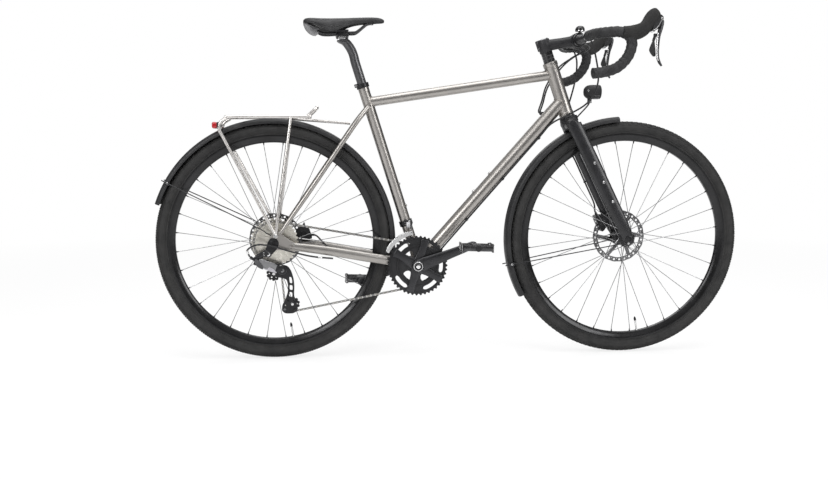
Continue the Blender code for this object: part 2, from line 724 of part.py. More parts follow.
def make_frame():
    top_rear, top_front = on_seat_axis(TOP_TUBE_REAR_Z), on_steering_axis(TOP_TUBE_FRONT_Z)
    down_low, down_top = down_tube_ends()
    ring = HEAD_RING_W
    head_profile = [
        (0.0, 0.0), (HEAD_RING_R, 0.0), (HEAD_RING_R, ring), (HEAD_R, ring + 0.002),
        (HEAD_R, HEAD_LEN - ring - 0.002), (HEAD_RING_R, HEAD_LEN - ring), (HEAD_RING_R, HEAD_LEN),
        (0.0, HEAD_LEN),
    ]
    seat_low = on_seat_axis(BB.z)
    solids = [
        turned(head_profile, HEAD_LOW, STEER_UP, 14),
        sweep([top_rear, top_front], TOP_TUBE_R, 10),
        sweep([down_low, down_top], [DOWN_TUBE_R * 0.95, DOWN_TUBE_R], 10),
        sweep([seat_low, SEAT_TOP], SEAT_TUBE_R, 10),
        cylinder(BB - AXIS_Y * (BB_SHELL_W / 2.0), BB + AXIS_Y * (BB_SHELL_W / 2.0), BB_SHELL_R, 16),
    ]
    half_w, half_h = CHAINSTAY_W / 2.0, CHAINSTAY_H / 2.0
    stay_sizes = [(half_w, half_h)] * 3 + [(half_w, half_h * 0.97), (half_w * 0.97, half_h * 0.92),
                                          (half_w * 0.80, half_h * 0.80)]
    for side in (-1, 1):
        solids.append(sweep(chainstay_path(side), stay_sizes, 8, up=AXIS_Z))
        solids.append(sweep(seatstay_path(side), [SEATSTAY_R] * 4 + [SEATSTAY_R * 0.70], 8))
        solids.append(dropout_plate(side))
        wall = REAR_HUB_W / 2.0 + DROPOUT_T
        eyelet = Vector((EYELET_X, side * (wall - 0.001), EYELET_Z))
        solids.append(boss(eyelet, AXIS_Y * side, 0.0055, 0.0022))
    bridge = seat_bridge()
    solids.append(cylinder(bridge - AXIS_Y * 0.034, bridge + AXIS_Y * 0.034, 0.0055, 6))
    solids.append(cylinder((BB.x - 0.048, -0.029, BB.z + 0.010), (BB.x - 0.048, 0.029, BB.z + 0.010),
                           0.0065, 6))
    seat_normal = Vector((math.sin(CALIPER_TILT), 0.0, math.cos(CALIPER_TILT)))
    seat_at = REAR_CALIPER + AXIS_Y * 0.0095 - seat_normal * (CALIPER_H / 2.0 + GAP + 0.0110)
    solids.append(boss(seat_at, seat_normal, 0.0060, 0.0110))
    along = (down_top - down_low).normalized()
    above = along.cross(AXIS_Y).normalized()
    above = above if above.z > 0 else -above
    for share in (0.42, 0.53):
        at = down_low + (down_top - down_low) * share + above * (DOWN_TUBE_R - 0.0050)
        solids.append(boss(at, above, 0.0045, 0.0068))
    seat_along = SEAT_UP.cross(AXIS_Y).normalized()
    seat_along = seat_along if seat_along.x > 0 else -seat_along
    for rise in (0.1715, 0.2355):
        solids.append(boss(on_seat_axis(BB.z + rise) + seat_along * (SEAT_TUBE_R - 0.0040), seat_along, 0.0045, 0.0058))
    port, inward = down_tube_port()
    solids.append(cylinder(port + inward * 0.0080, port, 0.0062, 8))
    cuts = [
        cylinder(HEAD_LOW - STEER_UP * 0.01, HEAD_TOP + STEER_UP * 0.01, bore_radius(STEERER_R, 14), 14),
        cylinder(BB - AXIS_Y * 0.06, BB + AXIS_Y * 0.06, BB_SLEEVE_R + GAP, 14),
        cylinder(SEAT_TOP - SEAT_UP * (SEATPOST_DEPTH + 0.025), SEAT_TOP + SEAT_UP * 0.01, SEATPOST_R + GAP, 12),
        cylinder(REAR_AXLE - AXIS_Y * 0.09, REAR_AXLE + AXIS_Y * 0.09, AXLE_R + GAP, 12),
        cylinder((HANGER_X, -0.09, HANGER_Z), (HANGER_X, -0.06, HANGER_Z), 0.0050 + GAP, 10),
    ]
    part("frame", "frame", "titanium", solids, cuts)


def down_tube_port():
    """Where the two shift housings go into the down tube, high on its left side, and which way."""
    low, top = down_tube_ends()
    along = (top - low).normalized()
    above = AXIS_Y.cross(along)
    outward = (above if above.z > 0 else -above) * 0.7071 + AXIS_Y * 0.7071
    return low + (top - low) * 0.90 + outward * (DOWN_TUBE_R + 0.002), -outward


def make_bottom_bracket():
    end = BB_SHELL_W / 2.0
    cup = end + GAP
    bore = bore_radius(SPINDLE_R, 14)
    profile = [
        (bore, -cup - BB_CUP_W), (BB_CUP_R, -cup - BB_CUP_W), (BB_CUP_R, -cup), (BB_SLEEVE_R, -cup),
        (BB_SLEEVE_R, cup), (BB_CUP_R, cup), (BB_CUP_R, cup + BB_CUP_W), (bore, cup + BB_CUP_W),
    ]
    part("bottom_bracket", "frame", "black_alloy", [turned(profile, BB, AXIS_Y, 14)])


def make_seat_collar():
    low = SEAT_TOP + SEAT_UP * GAP
    inner, outer = SEATPOST_R + GAP, SEAT_TUBE_R + 0.0030
    profile = ring_profile(inner, outer, 0.0, 0.013)
    ear = low + Vector((-outer - 0.0028, 0.0, 0.0)) + SEAT_UP * 0.0065
    ears = [block(ear, (0.010, 0.016, 0.0085))]
    bolt = [cylinder(ear - AXIS_Y * 0.011 - AXIS_X * 0.002, ear + AXIS_Y * 0.011 - AXIS_X * 0.002, 0.0026, 6)]
    slot = block(low + Vector((-outer, 0.0, 0.0)) + SEAT_UP * 0.0065, (0.012, 0.0015, 0.030))
    part("seat_collar", "frame", "black_alloy", [turned(profile, low, SEAT_UP, 12)] + ears + bolt, [slot])


# Fork


def blade_path(side):
    top = crown_centre()
    end_y = FRONT_HUB_W / 2.0 + FORK_DROP_T / 2.0
    high = Vector((top.x + 0.002, 0.0, top.z - 0.004))
    down = (FRONT_AXLE - high).normalized()
    ahead = Vector((-down.z, 0.0, down.x))
    low = FRONT_AXLE + down * 0.017472166 + ahead * -0.005265303
    path = []
    for share in (0.0, 0.30, 0.60, 0.85, 1.0):
        point = high.lerp(low, share)
        point.y = side * (BLADE_TOP_Y + (end_y - BLADE_TOP_Y) * min(1.0, share / 0.85))
        path.append(point)
    return path


def crown_centre():
    return HEAD_LOW - STEER_UP * (CROWN_H * 0.55 + GAP)


def make_fork():
    race = HEAD_LOW - STEER_UP * GAP
    top = on_steering_axis(STEM_Z) + STEER_UP * 0.012
    crown = crown_centre()
    crown_profile = [
        (0.0, 0.0), (HEAD_RING_R, 0.0), (HEAD_RING_R + 0.0015, -0.006), (0.0235, -CROWN_H), (0.0, -CROWN_H),
    ]
    solids = [
        turned(crown_profile, race, STEER_UP, 16),
        cylinder(race - STEER_UP * 0.010, top, STEERER_R, 14),
        sweep([crown - AXIS_Y * 0.040, crown - AXIS_Y * 0.022, crown + AXIS_Y * 0.022, crown + AXIS_Y * 0.040],
              [(0.0155, 0.0130), (0.0190, 0.0200), (0.0190, 0.0200), (0.0155, 0.0130)], 10),
    ]
    depth = [(BLADE_W / 2.0, BLADE_TOP_D / 2.0), (BLADE_W / 2.0, BLADE_TOP_D * 0.45),
             (BLADE_W * 0.47, BLADE_TOP_D * 0.40), (BLADE_W * 0.42, BLADE_LOW_D / 2.0),
             (FORK_DROP_T / 2.0, BLADE_LOW_D * 0.46)]
    fore = [BLADE_FORE * share for share in (0.62, 0.90, 1.00, 1.14, 0.45)]
    depth = [(half_w, half_d + more) for (half_w, half_d), more in zip(depth, fore)]
    for side in (-1, 1):
        path = blade_path(side)
        down = path[-1] - path[0]
        ahead = Vector((-down.z, 0.0, down.x)).normalized()
        path = [point + ahead * more for point, more in zip(path, fore)]
        solids.append(sweep(path, depth, 8, up=(path[0] - path[-1]).cross(AXIS_Y)))
        for share in (0.34, 0.50, 0.66):
            at = blade_point(side, share)
            solids.append(boss(at, AXIS_Y * side, 0.0040, 0.0035))
    wall = FRONT_HUB_W / 2.0
    outside = wall + FORK_DROP_T
    cuts = [
        cylinder(FRONT_AXLE - AXIS_Y * 0.08, FRONT_AXLE + AXIS_Y * 0.08, AXLE_R + GAP, 12),
        cylinder(FRONT_AXLE - AXIS_Y * wall, FRONT_AXLE + AXIS_Y * wall, 0.0190, 16),
        cylinder(FRONT_AXLE - AXIS_Y * 0.08, FRONT_AXLE - AXIS_Y * outside, 0.0110, 12),
        cylinder(FRONT_AXLE + AXIS_Y * outside, FRONT_AXLE + AXIS_Y * 0.08, 0.0110, 12),
    ]
    clear = FRONT_GUARD_R / math.cos(math.pi / 48.0) + GAP
    half = GUARD_HALF_W + RUN
    cuts.append(cylinder(FRONT_AXLE - AXIS_Y * half, FRONT_AXLE + AXIS_Y * half, clear, 48))
    part("fork", "steering", "satin_black", solids, cuts)


def blade_point(side, share):
    """A point on the outer face of a fork blade."""
    path = blade_path(side)
    at = path[0].lerp(path[-1], share)
    end_y = FRONT_HUB_W / 2.0 + FORK_DROP_T / 2.0
    centre_y = BLADE_TOP_Y + (end_y - BLADE_TOP_Y) * min(1.0, share / 0.85)
    return Vector((at.x, side * (centre_y + BLADE_W * 0.42), at.z))


# Mudguards and rack


def guard_mesh(centre, radius, start, end, steps):
    """A mudguard's shell: a U that is open towards the wheel, swept through an arc."""
    half, wall = GUARD_HALF_W, GUARD_T
    section = [
        (-half, -GUARD_SIDE), (-half, -0.0070), (-half * 0.60, 0.0), (half * 0.60, 0.0), (half, -0.0070),
        (half, -GUARD_SIDE), (half - wall, -GUARD_SIDE), (half - wall, -0.0080), (half * 0.54, -wall),
        (-half * 0.54, -wall), (-half + wall, -0.0080), (-half + wall, -GUARD_SIDE),
    ]
    rings = []
    for step in range(steps + 1):
        angle = start + (end - start) * step / steps
        out = Vector((math.cos(angle), 0.0, math.sin(angle)))
        rings.append([centre + out * (radius + depth) + AXIS_Y * y for y, depth in section])
    return mesh_of(rings)


def make_rear_mudguard():
    centre = REAR_AXLE + AXIS_X * REAR_GUARD_SHIFT
    shell = guard_mesh(centre, REAR_GUARD_R, GUARD_LOW_ANGLE, math.radians(161.5), 19)
    angle = math.radians(150.0)
    out = Vector((math.cos(angle), 0.0, math.sin(angle)))
    edge = centre + out * (REAR_GUARD_R - 0.010)
    wires = []
    wall = REAR_HUB_W / 2.0 + DROPOUT_T
    for side in (-1, 1):
        wires.append([
            edge + AXIS_Y * side * (GUARD_HALF_W - 0.001),
            edge - out * 0.006 + AXIS_Y * side * (GUARD_HALF_W + 0.0035),
            REAR_AXLE + Vector((-0.060, side * (wall - 0.008), 0.0540)),
            REAR_AXLE + Vector((-0.0185, side * (wall + 0.0006), 0.0300)),
            REAR_AXLE + Vector((-0.0085, side * (wall + 0.0022), 0.0250)),
        ])
    top = RACK_TOP_Z - RACK_R * 0.75 - GAP
    mount = block((RACK_STRUT_X - 0.0067, 0.0, top - 0.0030), (0.0110, 0.0120, 0.0060))
    low_end = Vector((math.cos(GUARD_LOW_ANGLE), 0.0, math.sin(GUARD_LOW_ANGLE))) * REAR_GUARD_R
    tail_at = centre + low_end + Vector((0.003818093, 0.0, 0.000311076))
    tail = block(tail_at, (0.0120, 0.0180, 0.0060), math.radians(8.0))
    solids = [shell, mount, tail] + [sweep(path, STAY_WIRE_R, 5) for path in wires]
    part("rear_mudguard", "frame", "black_plastic", solids)


def make_front_mudguard():
    shell = guard_mesh(FRONT_AXLE, FRONT_GUARD_R, math.radians(93.5), math.radians(209.0), 13)
    angle = math.radians(192.5)
    out = Vector((math.cos(angle), 0.0, math.sin(angle)))
    edge = FRONT_AXLE + out * (FRONT_GUARD_R - 0.010)
    outer = FRONT_HUB_W / 2.0 + FORK_DROP_T
    wires = []
    for side in (-1, 1):
        wires.append([
            edge + AXIS_Y * side * (GUARD_HALF_W - 0.001),
            edge - out * 0.006 + AXIS_Y * side * (GUARD_HALF_W + 0.0035),
            FRONT_AXLE + Vector((-0.050, side * (outer - 0.006), -0.0200)),
            FRONT_AXLE + Vector((-0.018, side * (outer + STAY_WIRE_R + GAP), -0.0130)),
            FRONT_AXLE + Vector((-0.003, side * (outer + STAY_WIRE_R + GAP), -0.0130)),
        ])
    solids = [shell] + [sweep(path, STAY_WIRE_R, 5) for path in wires]
    part("front_mudguard", "steering", "black_plastic", solids)


def rack_side(side):
    """One side rail of the rack, from the rear cross tube up, along the top and up to the tip."""
    y = side * RACK_HALF_W
    return [
        Vector((RACK_DROP_X, y, RACK_DROP_Z)),
        Vector((RACK_DROP_X + 0.004, y, RACK_DROP_Z + 0.018)),
        Vector((RACK_REAR_X + 0.002, y, RACK_TOP_Z - 0.004)),
        Vector((RACK_REAR_X + 0.018, y, RACK_TOP_Z)),
        Vector((RACK_FRONT_X, y, RACK_TOP_Z)),
        Vector((RACK_FRONT_X + 0.014, y, RACK_TOP_Z + 0.004)),
        Vector((RACK_TIP_X - 0.004, y * 0.92, RACK_TIP_Z - 0.004)),
        Vector((RACK_TIP_X, y * 0.72, RACK_TIP_Z)),
    ]


def make_rack():
    rails = rack_side(-1) + rack_side(1)[::-1]
    solids = [sweep(rails, RACK_R, 6)]
    y = RACK_HALF_W
    solids.append(cylinder((RACK_CROSS_X, -y, RACK_CROSS_Z), (RACK_CROSS_X, y, RACK_CROSS_Z), RACK_R * 0.9, 6))
    for x in (-0.085, RACK_STRUT_X):
        solids.append(cylinder((x, -y, RACK_TOP_Z), (x, y, RACK_TOP_Z), RACK_R * 0.75, 6))
    wall = REAR_HUB_W / 2.0 + DROPOUT_T + 0.0012 + GAP
    for side in (-1, 1):
        foot = Vector((EYELET_X, side * (wall + RACK_R), EYELET_Z))
        solids.append(sweep([Vector((RACK_DROP_X, side * y, RACK_DROP_Z)),
                             foot + Vector((-0.012, 0.0, 0.025)), foot], RACK_R, 6))
        solids.append(sweep([Vector((RACK_STRUT_X, side * y, RACK_TOP_Z)),
                             foot + Vector((0.0035, 0.0, 0.030)), foot], RACK_R, 6))
        solids.append(cylinder(foot - AXIS_Y * side * RACK_R, foot + AXIS_Y * side * 0.004, 0.0070, 8))
    solids.append(sweep([Vector((RACK_STRUT_X, 0.0, RACK_TOP_Z - 0.0030)),
                         Vector((RACK_STRUT_X + 0.0265, 0.0, RACK_TOP_Z - 0.0070)),
                         seat_bridge() + Vector((-0.0035, 0.0, 0.0165))], RACK_R * 0.85, 6))
    part("rear_rack", "frame", "rack_titanium", solids)


def make_rear_light():
    x = RACK_CROSS_X - RACK_R * 0.9 - GAP
    lens = block((x - 0.0120, 0.0, RACK_CROSS_Z), (0.0180, 0.0560, 0.0190), 0.0, 0.004)
    base = block((x - 0.0022, 0.0, RACK_CROSS_Z), (0.0044, 0.0440, 0.0150))
    part("rear_light", "frame", "red_lens", [lens, base])


# Transmission


def make_cassette():
    """Eleven sprockets on a carrier, biggest inside, and the lock ring."""
    bore = AXLE_R + RUN
    half = SPROCKET_T / 2.0
    profile = [(bore, -half)]
    for index, teeth in enumerate(SPROCKETS):
        y = index * SPROCKET_STEP
        radius = pitch_radius(teeth)
        radius = radius - CHAIN_H / 2.0 - 0.0009 if index == ENGAGED_SPROCKET else radius + TOOTH_H * 0.4
        spacer = max(pitch_radius(SPROCKETS[min(index + 1, len(SPROCKETS) - 1)]) - 0.008, CASSETTE_CORE_R)
        profile += [(radius, y - half), (radius, y + half)]
        if index == 0:
            profile += [(spacer, y + half), (spacer, y + SPROCKET_STEP - half)]
        elif index < len(SPROCKETS) - 1:
            profile.append((spacer, y + SPROCKET_STEP / 2.0))
    end = REAR_HUB_W / 2.0 + CASSETTE_IN_Y - GAP
    profile += [(CASSETTE_CORE_R, y + half), (CASSETTE_CORE_R, y + half + 0.0025), (0.0100, y + half + 0.0025),
                (0.0100, end), (bore, end)]
    centre = REAR_AXLE + AXIS_Y * CASSETTE_IN_Y
    part("cassette", "cassette", "nickel", [turned(profile, centre, -AXIS_Y, 18)])


def make_chainrings():
    """Both rings on one four-armed carrier, with openings between the arms."""
    centre = (BB.x, BB.z)
    big = pitch_radius(BIG_RING_TEETH)
    windows = []
    for arm in range(4):
        middle = CRANK_ANGLE + math.pi / 4.0 + arm * math.pi / 2.0
        outer, inner = big - 0.014, 0.0330
        window = [(centre[0] + outer * math.cos(middle + share), centre[1] + outer * math.sin(middle + share))
                  for share in (-0.46, 0.0, 0.46)]
        window += [(centre[0] + inner * math.cos(middle + share), centre[1] + inner * math.sin(middle + share))
                   for share in (0.30, -0.30)]
        windows.append(window[::-1])
    bore = circle_points(centre, 0.0200, 12)[::-1]
    outline = gear_points(centre, BIG_RING_TEETH, big, TOOTH_H)
    plate = side_plate([outline, bore] + windows, BIG_RING_Y - RING_T / 2.0, BIG_RING_Y + RING_T / 2.0)
    small = pitch_radius(SMALL_RING_TEETH) - CHAIN_H / 2.0 - 0.0009
    inner_ring = turned(ring_profile(small - 0.0110, small, SMALL_RING_Y - RING_T / 2.0,
                                     SMALL_RING_Y + RING_T / 2.0), BB, AXIS_Y, 30)
    solids = [plate, inner_ring]
    for arm in range(4):
        angle = CRANK_ANGLE + arm * math.pi / 2.0
        at = BB + Vector((math.cos(angle), 0.0, math.sin(angle))) * 0.0500
        solids.append(cylinder(at + AXIS_Y * (BIG_RING_Y - 0.0005), at + AXIS_Y * (SMALL_RING_Y + 0.0004),
                               0.0050, 8))
    part("chainrings", "crank", "black_alloy", solids)


def crank_arm(side):
    """A tapered arm from the spindle to the pedal, in bicycle coordinates."""
    start = BB + AXIS_Y * side * (CRANK_Y - 0.004)
    end = crank_end(side) + AXIS_Y * side * CRANK_Y
    reach = end - start
    path = [start - reach.normalized() * 0.016, start, start + reach * 0.25, start + reach * 0.9,
            end + reach.normalized() * 0.012]
    half_t = CRANK_T / 2.0
    sizes = [(half_t * 0.9, 0.0130), (half_t, 0.0185), (half_t, 0.0150), (half_t * 0.95, 0.0118),
             (half_t * 0.85, 0.0080)]
    return sweep(path, sizes, 8, up=reach.cross(AXIS_Y))


def make_cranks():
    right_inner = BIG_RING_Y - RING_T / 2.0 - GAP
    spindle_profile = [(0.0, -0.0600), (SPINDLE_R, -0.0600), (SPINDLE_R, 0.0800), (0.0, 0.0800)]
    carrier = []
    for arm in range(4):
        angle = CRANK_ANGLE + arm * math.pi / 2.0
        out = Vector((math.cos(angle), 0.0, math.sin(angle)))
        y = AXIS_Y * (right_inner - 0.0030)
        carrier.append(sweep([BB + y, BB + y + out * 0.030, BB + y + out * 0.0740],
                             [(0.0028, 0.0150), (0.0028, 0.0120), (0.0026, 0.0075)], 6, up=out.cross(AXIS_Y)))
    boss_ring = cylinder(BB + AXIS_Y * -0.0740, BB + AXIS_Y * right_inner, 0.0185, 14)
    solids = [crank_arm(-1), turned(spindle_profile, BB, AXIS_Y, 14), boss_ring] + carrier
    part("crank_right", "crank", "black_alloy", solids)
    hub = cylinder(BB + AXIS_Y * (BB_SHELL_W / 2.0 + BB_CUP_W + RUN), BB + AXIS_Y * 0.0715, 0.0165, 12)
    cut = cylinder(BB + AXIS_Y * 0.03, BB + AXIS_Y * 0.0800 + AXIS_Y * 0.001, SPINDLE_R + GAP, 14)
    part("crank_left", "crank", "black_alloy", [crank_arm(1), hub], [cut])


def make_pedals():
    for name, side in (("pedal_right", -1), ("pedal_left", 1)):
        centre = crank_end(side) + AXIS_Y * side * PEDAL_Y
        half_l, half_h = PEDAL_L / 2.0, PEDAL_H / 2.0
        lean = math.radians(2.0)
        body = block(centre, (PEDAL_L * 0.42, PEDAL_W * 0.86, PEDAL_H), lean, 0.003)
        frame_bars = []
        for end in (-1, 1):
            frame_bars.append(block(centre + AXIS_X * end * (half_l - 0.006), (0.008, PEDAL_W * 0.72, half_h * 1.5),
                                    lean))
        for rim in (-1, 1):
            frame_bars.append(block(centre + AXIS_Y * rim * PEDAL_W * 0.33, (PEDAL_L - 0.010, 0.006, half_h * 1.3),
                                    lean))
        inner = CRANK_Y + CRANK_T * 0.45 + GAP
        axle = cylinder(crank_end(side) + AXIS_Y * side * inner, centre, 0.0065, 10)
        part(name, name, "black_plastic", [body, axle] + frame_bars)


def chain_route():
    """The wheels that the chain goes round: centre, radius, and 1 where it turns left, -1 right."""
    ring = Vector((BB.x, SMALL_RING_Y, BB.z))
    sprocket = Vector((0.0, ENGAGED_Y, TYRE_R))
    return [
        (ring, pitch_radius(SMALL_RING_TEETH), 1),
        (sprocket, pitch_radius(SPROCKETS[ENGAGED_SPROCKET]), 1),
        (GUIDE, pitch_radius(PULLEY_TEETH), -1),
        (TENSION, pitch_radius(PULLEY_TEETH), 1),
    ]


def tangent_angle(a, b):
    """The direction in XZ of the straight run from wheel a to wheel b."""
    (p, r, turn), (q, s, back) = a, b
    dx, dz = q.x - p.x, q.z - p.z
    return math.atan2(dz, dx) + math.asin((turn * r - back * s) / math.hypot(dx, dz))


def chain_points(step):
    """Points along the closed chain, about one step apart, each with its pitch line's direction."""
    wheels = chain_route()
    count = len(wheels)
    angles = [tangent_angle(wheels[i], wheels[(i + 1) % count]) for i in range(count)]
    path = []
    for i, (centre, radius, turn) in enumerate(wheels):
        arrive, leave = angles[i - 1], angles[i]
        swept = (leave - arrive) * turn % (2.0 * math.pi)
        steps = max(2, round(swept * radius / step))
        for k in range(steps + 1):
            heading = arrive + turn * swept * k / steps
            out = Vector((math.sin(heading), 0.0, -math.cos(heading))) * turn
            path.append(centre + out * radius)
        after, size, back = wheels[(i + 1) % count]
        out = Vector((math.sin(leave), 0.0, -math.cos(leave)))
        start, end = centre + out * turn * radius, after + out * back * size
        runs = max(1, round((end - start).length / step))
        path += [start.lerp(end, k / runs) for k in range(1, runs)]
    return path


def make_chain():
    path = chain_points(CHAIN_PITCH)
    part("chain", "frame", "dark_steel", [chain_band(path)])


def chain_band(path):
    """A band along the chain: its plates' height across the path in XZ, and its width along Y."""
    rings = []
    count = len(path)
    for i, point in enumerate(path):
        along = path[(i + 1) % count] - path[i - 1]
        across = Vector((-along.z, 0.0, along.x)).normalized() * (CHAIN_H / 2.0)
        wide = AXIS_Y * (CHAIN_W / 2.0)
        rings.append([point - across - wide, point - across + wide, point + across + wide,
                      point + across - wide])
    return mesh_of(rings, closed=True)


# Rear derailleur


def make_rear_derailleur():
    along = LINK_AXIS
    hanger = Vector((HANGER_X, 0.0, HANGER_Z))
    outer = -(REAR_HUB_W / 2.0 + DROPOUT_T)
    stub = cylinder(hanger + AXIS_Y * (outer + 0.001), hanger + AXIS_Y * (outer - 0.011), 0.0050, 10)
    head = cylinder(hanger + AXIS_Y * (outer - GAP), hanger + AXIS_Y * (outer - 0.011), 0.0100, 12)
    arm = sweep([hanger + AXIS_Y * (outer - 0.0055), RD_REAR + Vector((-0.004, 0.0, 0.004))],
                [(0.0052, 0.0092), (0.0050, 0.0070)], 8)
    pins = cylinder(RD_REAR - along * 0.0120, RD_REAR + along * 0.0120, 0.0050, 8)
    barrel = cylinder(RD_REAR + Vector((-0.004, 0.0, 0.002)), RD_REAR + Vector((-0.018, 0.0, 0.012)), 0.0038, 8)
    part("rd_bracket", "frame", "black_alloy", [head, stub, arm, pins, barrel])
    reach = RD_FRONT - RD_REAR
    across = along.cross(reach).normalized()
    across = across if across.y < 0 else -across
    for name, offset, wide in (("rd_outer_link", 0.0073, 0.0110), ("rd_inner_link", -0.0073, 0.0080)):
        shift = across * offset
        path = [RD_REAR + shift + reach * 0.02, RD_REAR + shift + reach * 0.5, RD_FRONT + shift - reach * 0.02]
        part(name, name, "dark_steel" if offset > 0 else "black_alloy",
             [sweep(path, [(wide, 0.0020), (wide * 1.05, 0.0022), (wide * 0.95, 0.0020)], 6, up=across)])
    knuckle_end = RD_CAGE_PIVOT + AXIS_Y * -0.0080
    knuckle = [
        cylinder(RD_FRONT - along * 0.0115, RD_FRONT + along * 0.0115, 0.0050, 8),
        sweep([RD_FRONT, knuckle_end], [(0.0050, 0.0085), (0.0060, 0.0110)], 8),
        cylinder(knuckle_end + AXIS_Y * -0.0060, knuckle_end + AXIS_Y * 0.0070, 0.0125, 12),
    ]
    part("rd_knuckle", "rd_knuckle", "black_alloy", knuckle)
    make_cage()


def cage_outline(inner):
    """The side view of a cage plate, from the pivot round both pulleys."""
    grow = 0.0 if inner else 0.0015
    guide, tension, pivot = (GUIDE_X, GUIDE_Z), (TENSION_X, TENSION_Z), (RD_CAGE_PIVOT.x, RD_CAGE_PIVOT.z)
    return [
        (pivot[0] + 0.004, pivot[1] + 0.0110 + grow),
        (pivot[0] + 0.0135, pivot[1] + 0.002),
        (pivot[0] + 0.0190, pivot[1] - 0.030),
        (tension[0] + 0.0080, tension[1] + 0.030),
        (tension[0] + 0.0120, tension[1] + 0.004),
        (tension[0] + 0.0060, tension[1] - 0.0110 - grow),
        (tension[0] - 0.0080, tension[1] - 0.0100 - grow),
        (tension[0] - 0.0190, tension[1] + 0.004),
        (tension[0] - 0.0230, tension[1] + 0.030),
        (guide[0] + 0.0160, guide[1] - 0.030),
        (guide[0] - 0.0080, guide[1] - 0.0090),
        (guide[0] - 0.0080, guide[1] + 0.0080),
        (guide[0] + 0.0060, guide[1] + 0.0110),
    ]


def make_cage():
    """Two plates with the pulleys between them, joined by the pulleys' pins and a stop pin."""
    near = ENGAGED_Y - PULLEY_T / 2.0 - 0.0020
    far = ENGAGED_Y + PULLEY_T / 2.0 + 0.0020
    plate_t = 0.0016
    solids = [
        side_plate([cage_outline(False)], near - plate_t, near),
        side_plate([cage_outline(True)], far, far + plate_t),
    ]
    for at in (GUIDE, TENSION):
        solids.append(cylinder((at.x, near - plate_t - 0.001, at.z), (at.x, far + plate_t + 0.001, at.z), 0.0030, 8))
    pivot = RD_CAGE_PIVOT
    knuckle_face = pivot.y - 0.0080 + 0.0070
    solids.append(cylinder((pivot.x, knuckle_face + GAP, pivot.z), (pivot.x, near - plate_t / 2.0, pivot.z),
                           0.0105, 12))
    part("rd_cage", "rd_cage", "black_alloy", solids)
    for name, at in (("guide_pulley", GUIDE), ("tension_pulley", TENSION)):
        centre = (at.x, at.z)
        root = pitch_radius(PULLEY_TEETH) - CHAIN_H / 2.0 - 0.0009
        outline = gear_points(centre, PULLEY_TEETH, root - 0.0009, 0.0009)
        bore = circle_points(centre, 0.0030 + GAP, 8)[::-1]
        part(name, name, "black_plastic", [side_plate([outline, bore], at.y - PULLEY_T / 2.0, at.y + PULLEY_T / 2.0)])


# Front derailleur


def make_front_derailleur():
    clamp_at = on_seat_axis(BB.z + 0.1235)
    band = turned(ring_profile(bore_radius(SEAT_TUBE_R, 14), SEAT_TUBE_R + 0.0040, -0.0080, 0.0080), clamp_at, SEAT_UP, 14)
    arm = block(Vector((clamp_at.x + 0.004, -0.0215, FD_TOP.z)), (0.0260, 0.0110, 0.0180), 0.0, 0.002)
    pin = cylinder(FD_TOP - AXIS_X * 0.0135, FD_TOP - AXIS_X * 0.0065, 0.0035, 8)
    lug = block(FD_TOP + Vector((-0.0110, 0.0035, 0.0)), (0.0050, 0.0110, 0.0080))
    part("fd_base", "frame", "dark_steel", [band, arm, lug, pin])
    reach = FD_LOW - FD_TOP
    link = sweep([FD_TOP - reach * 0.18, FD_LOW + reach * 0.12], [(0.0028, 0.0071), (0.0028, 0.0071)], 6, up=AXIS_X)
    part("fd_link", "fd_link", "steel", [link])
    big = pitch_radius(BIG_RING_TEETH) + TOOTH_H
    solids = []
    for y, low, high in ((-0.0350, big + 0.0030, big + 0.0150), (-0.0478, big + 0.0025, big + 0.0175)):
        outline = []
        for degrees in (98, 110, 122, 134, 146, 156):
            angle = math.radians(degrees)
            outline.append((BB.x + high * math.cos(angle), BB.z + high * math.sin(angle)))
        for degrees in (156, 146, 134, 122, 110, 98):
            angle = math.radians(degrees)
            outline.append((BB.x + low * math.cos(angle), BB.z + low * math.sin(angle)))
        solids.append(side_plate([outline], y - 0.0007, y + 0.0007))
    for degrees, radius in ((100.0, big + 0.0140), (155.0, big + 0.0160)):
        angle = math.radians(degrees)
        at = BB + Vector((radius * math.cos(angle), 0.0, radius * math.sin(angle)))
        solids.append(cylinder(at + AXIS_Y * -0.0478, at + AXIS_Y * -0.0350, 0.0018, 6))
    lug_at = FD_LOW + AXIS_X * 0.0083
    solids.append(block(lug_at + Vector((0.0, 0.0012, -0.0045)), (0.0036, 0.0140, 0.0190)))
    part("fd_cage", "fd_cage", "steel", solids)


# Seat


def make_seat():
    bend = on_seat_axis(SADDLE_TILT.z - 0.0525)
    low = SEAT_TOP - SEAT_UP * SEATPOST_DEPTH
    neck = SADDLE_TILT + Vector((0.0255, 0.0, -0.0225))
    path = [low, on_seat_axis(SADDLE_TILT.z - 0.0755), bend, neck, SADDLE_TILT]
    yoke = cylinder(SADDLE_TILT - AXIS_Y * 0.0190, SADDLE_TILT + AXIS_Y * 0.0190, YOKE_R, 16)
    part("seatpost", "seatpost", "satin_black",
         [sweep(path, [SEATPOST_R, SEATPOST_R, SEATPOST_R, 0.0128, YOKE_R * 0.85], 12), yoke])
    under, over = RAIL_Z - RAIL_R - GAP, RAIL_Z + RAIL_R + GAP
    floor = SADDLE_TILT.z + YOKE_R * 0.6
    cradle = block((CLAMP_X, 0.0, (under + floor) / 2.0), (0.0380, 0.0580, under - floor))
    column = block((CLAMP_X, 0.0, RAIL_Z + 0.001), (0.0200, 0.0300, 0.0150))
    top = block((CLAMP_X, 0.0, over + 0.0020), (0.0340, 0.0560, 0.0040))
    hollow = cylinder(SADDLE_TILT - AXIS_Y * 0.04, SADDLE_TILT + AXIS_Y * 0.04, bore_radius(YOKE_R, 16), 16)
    part("saddle_clamp", "saddle_cradle", "black_alloy", [cradle, column, top], [hollow])
    make_rails()
    make_saddle()


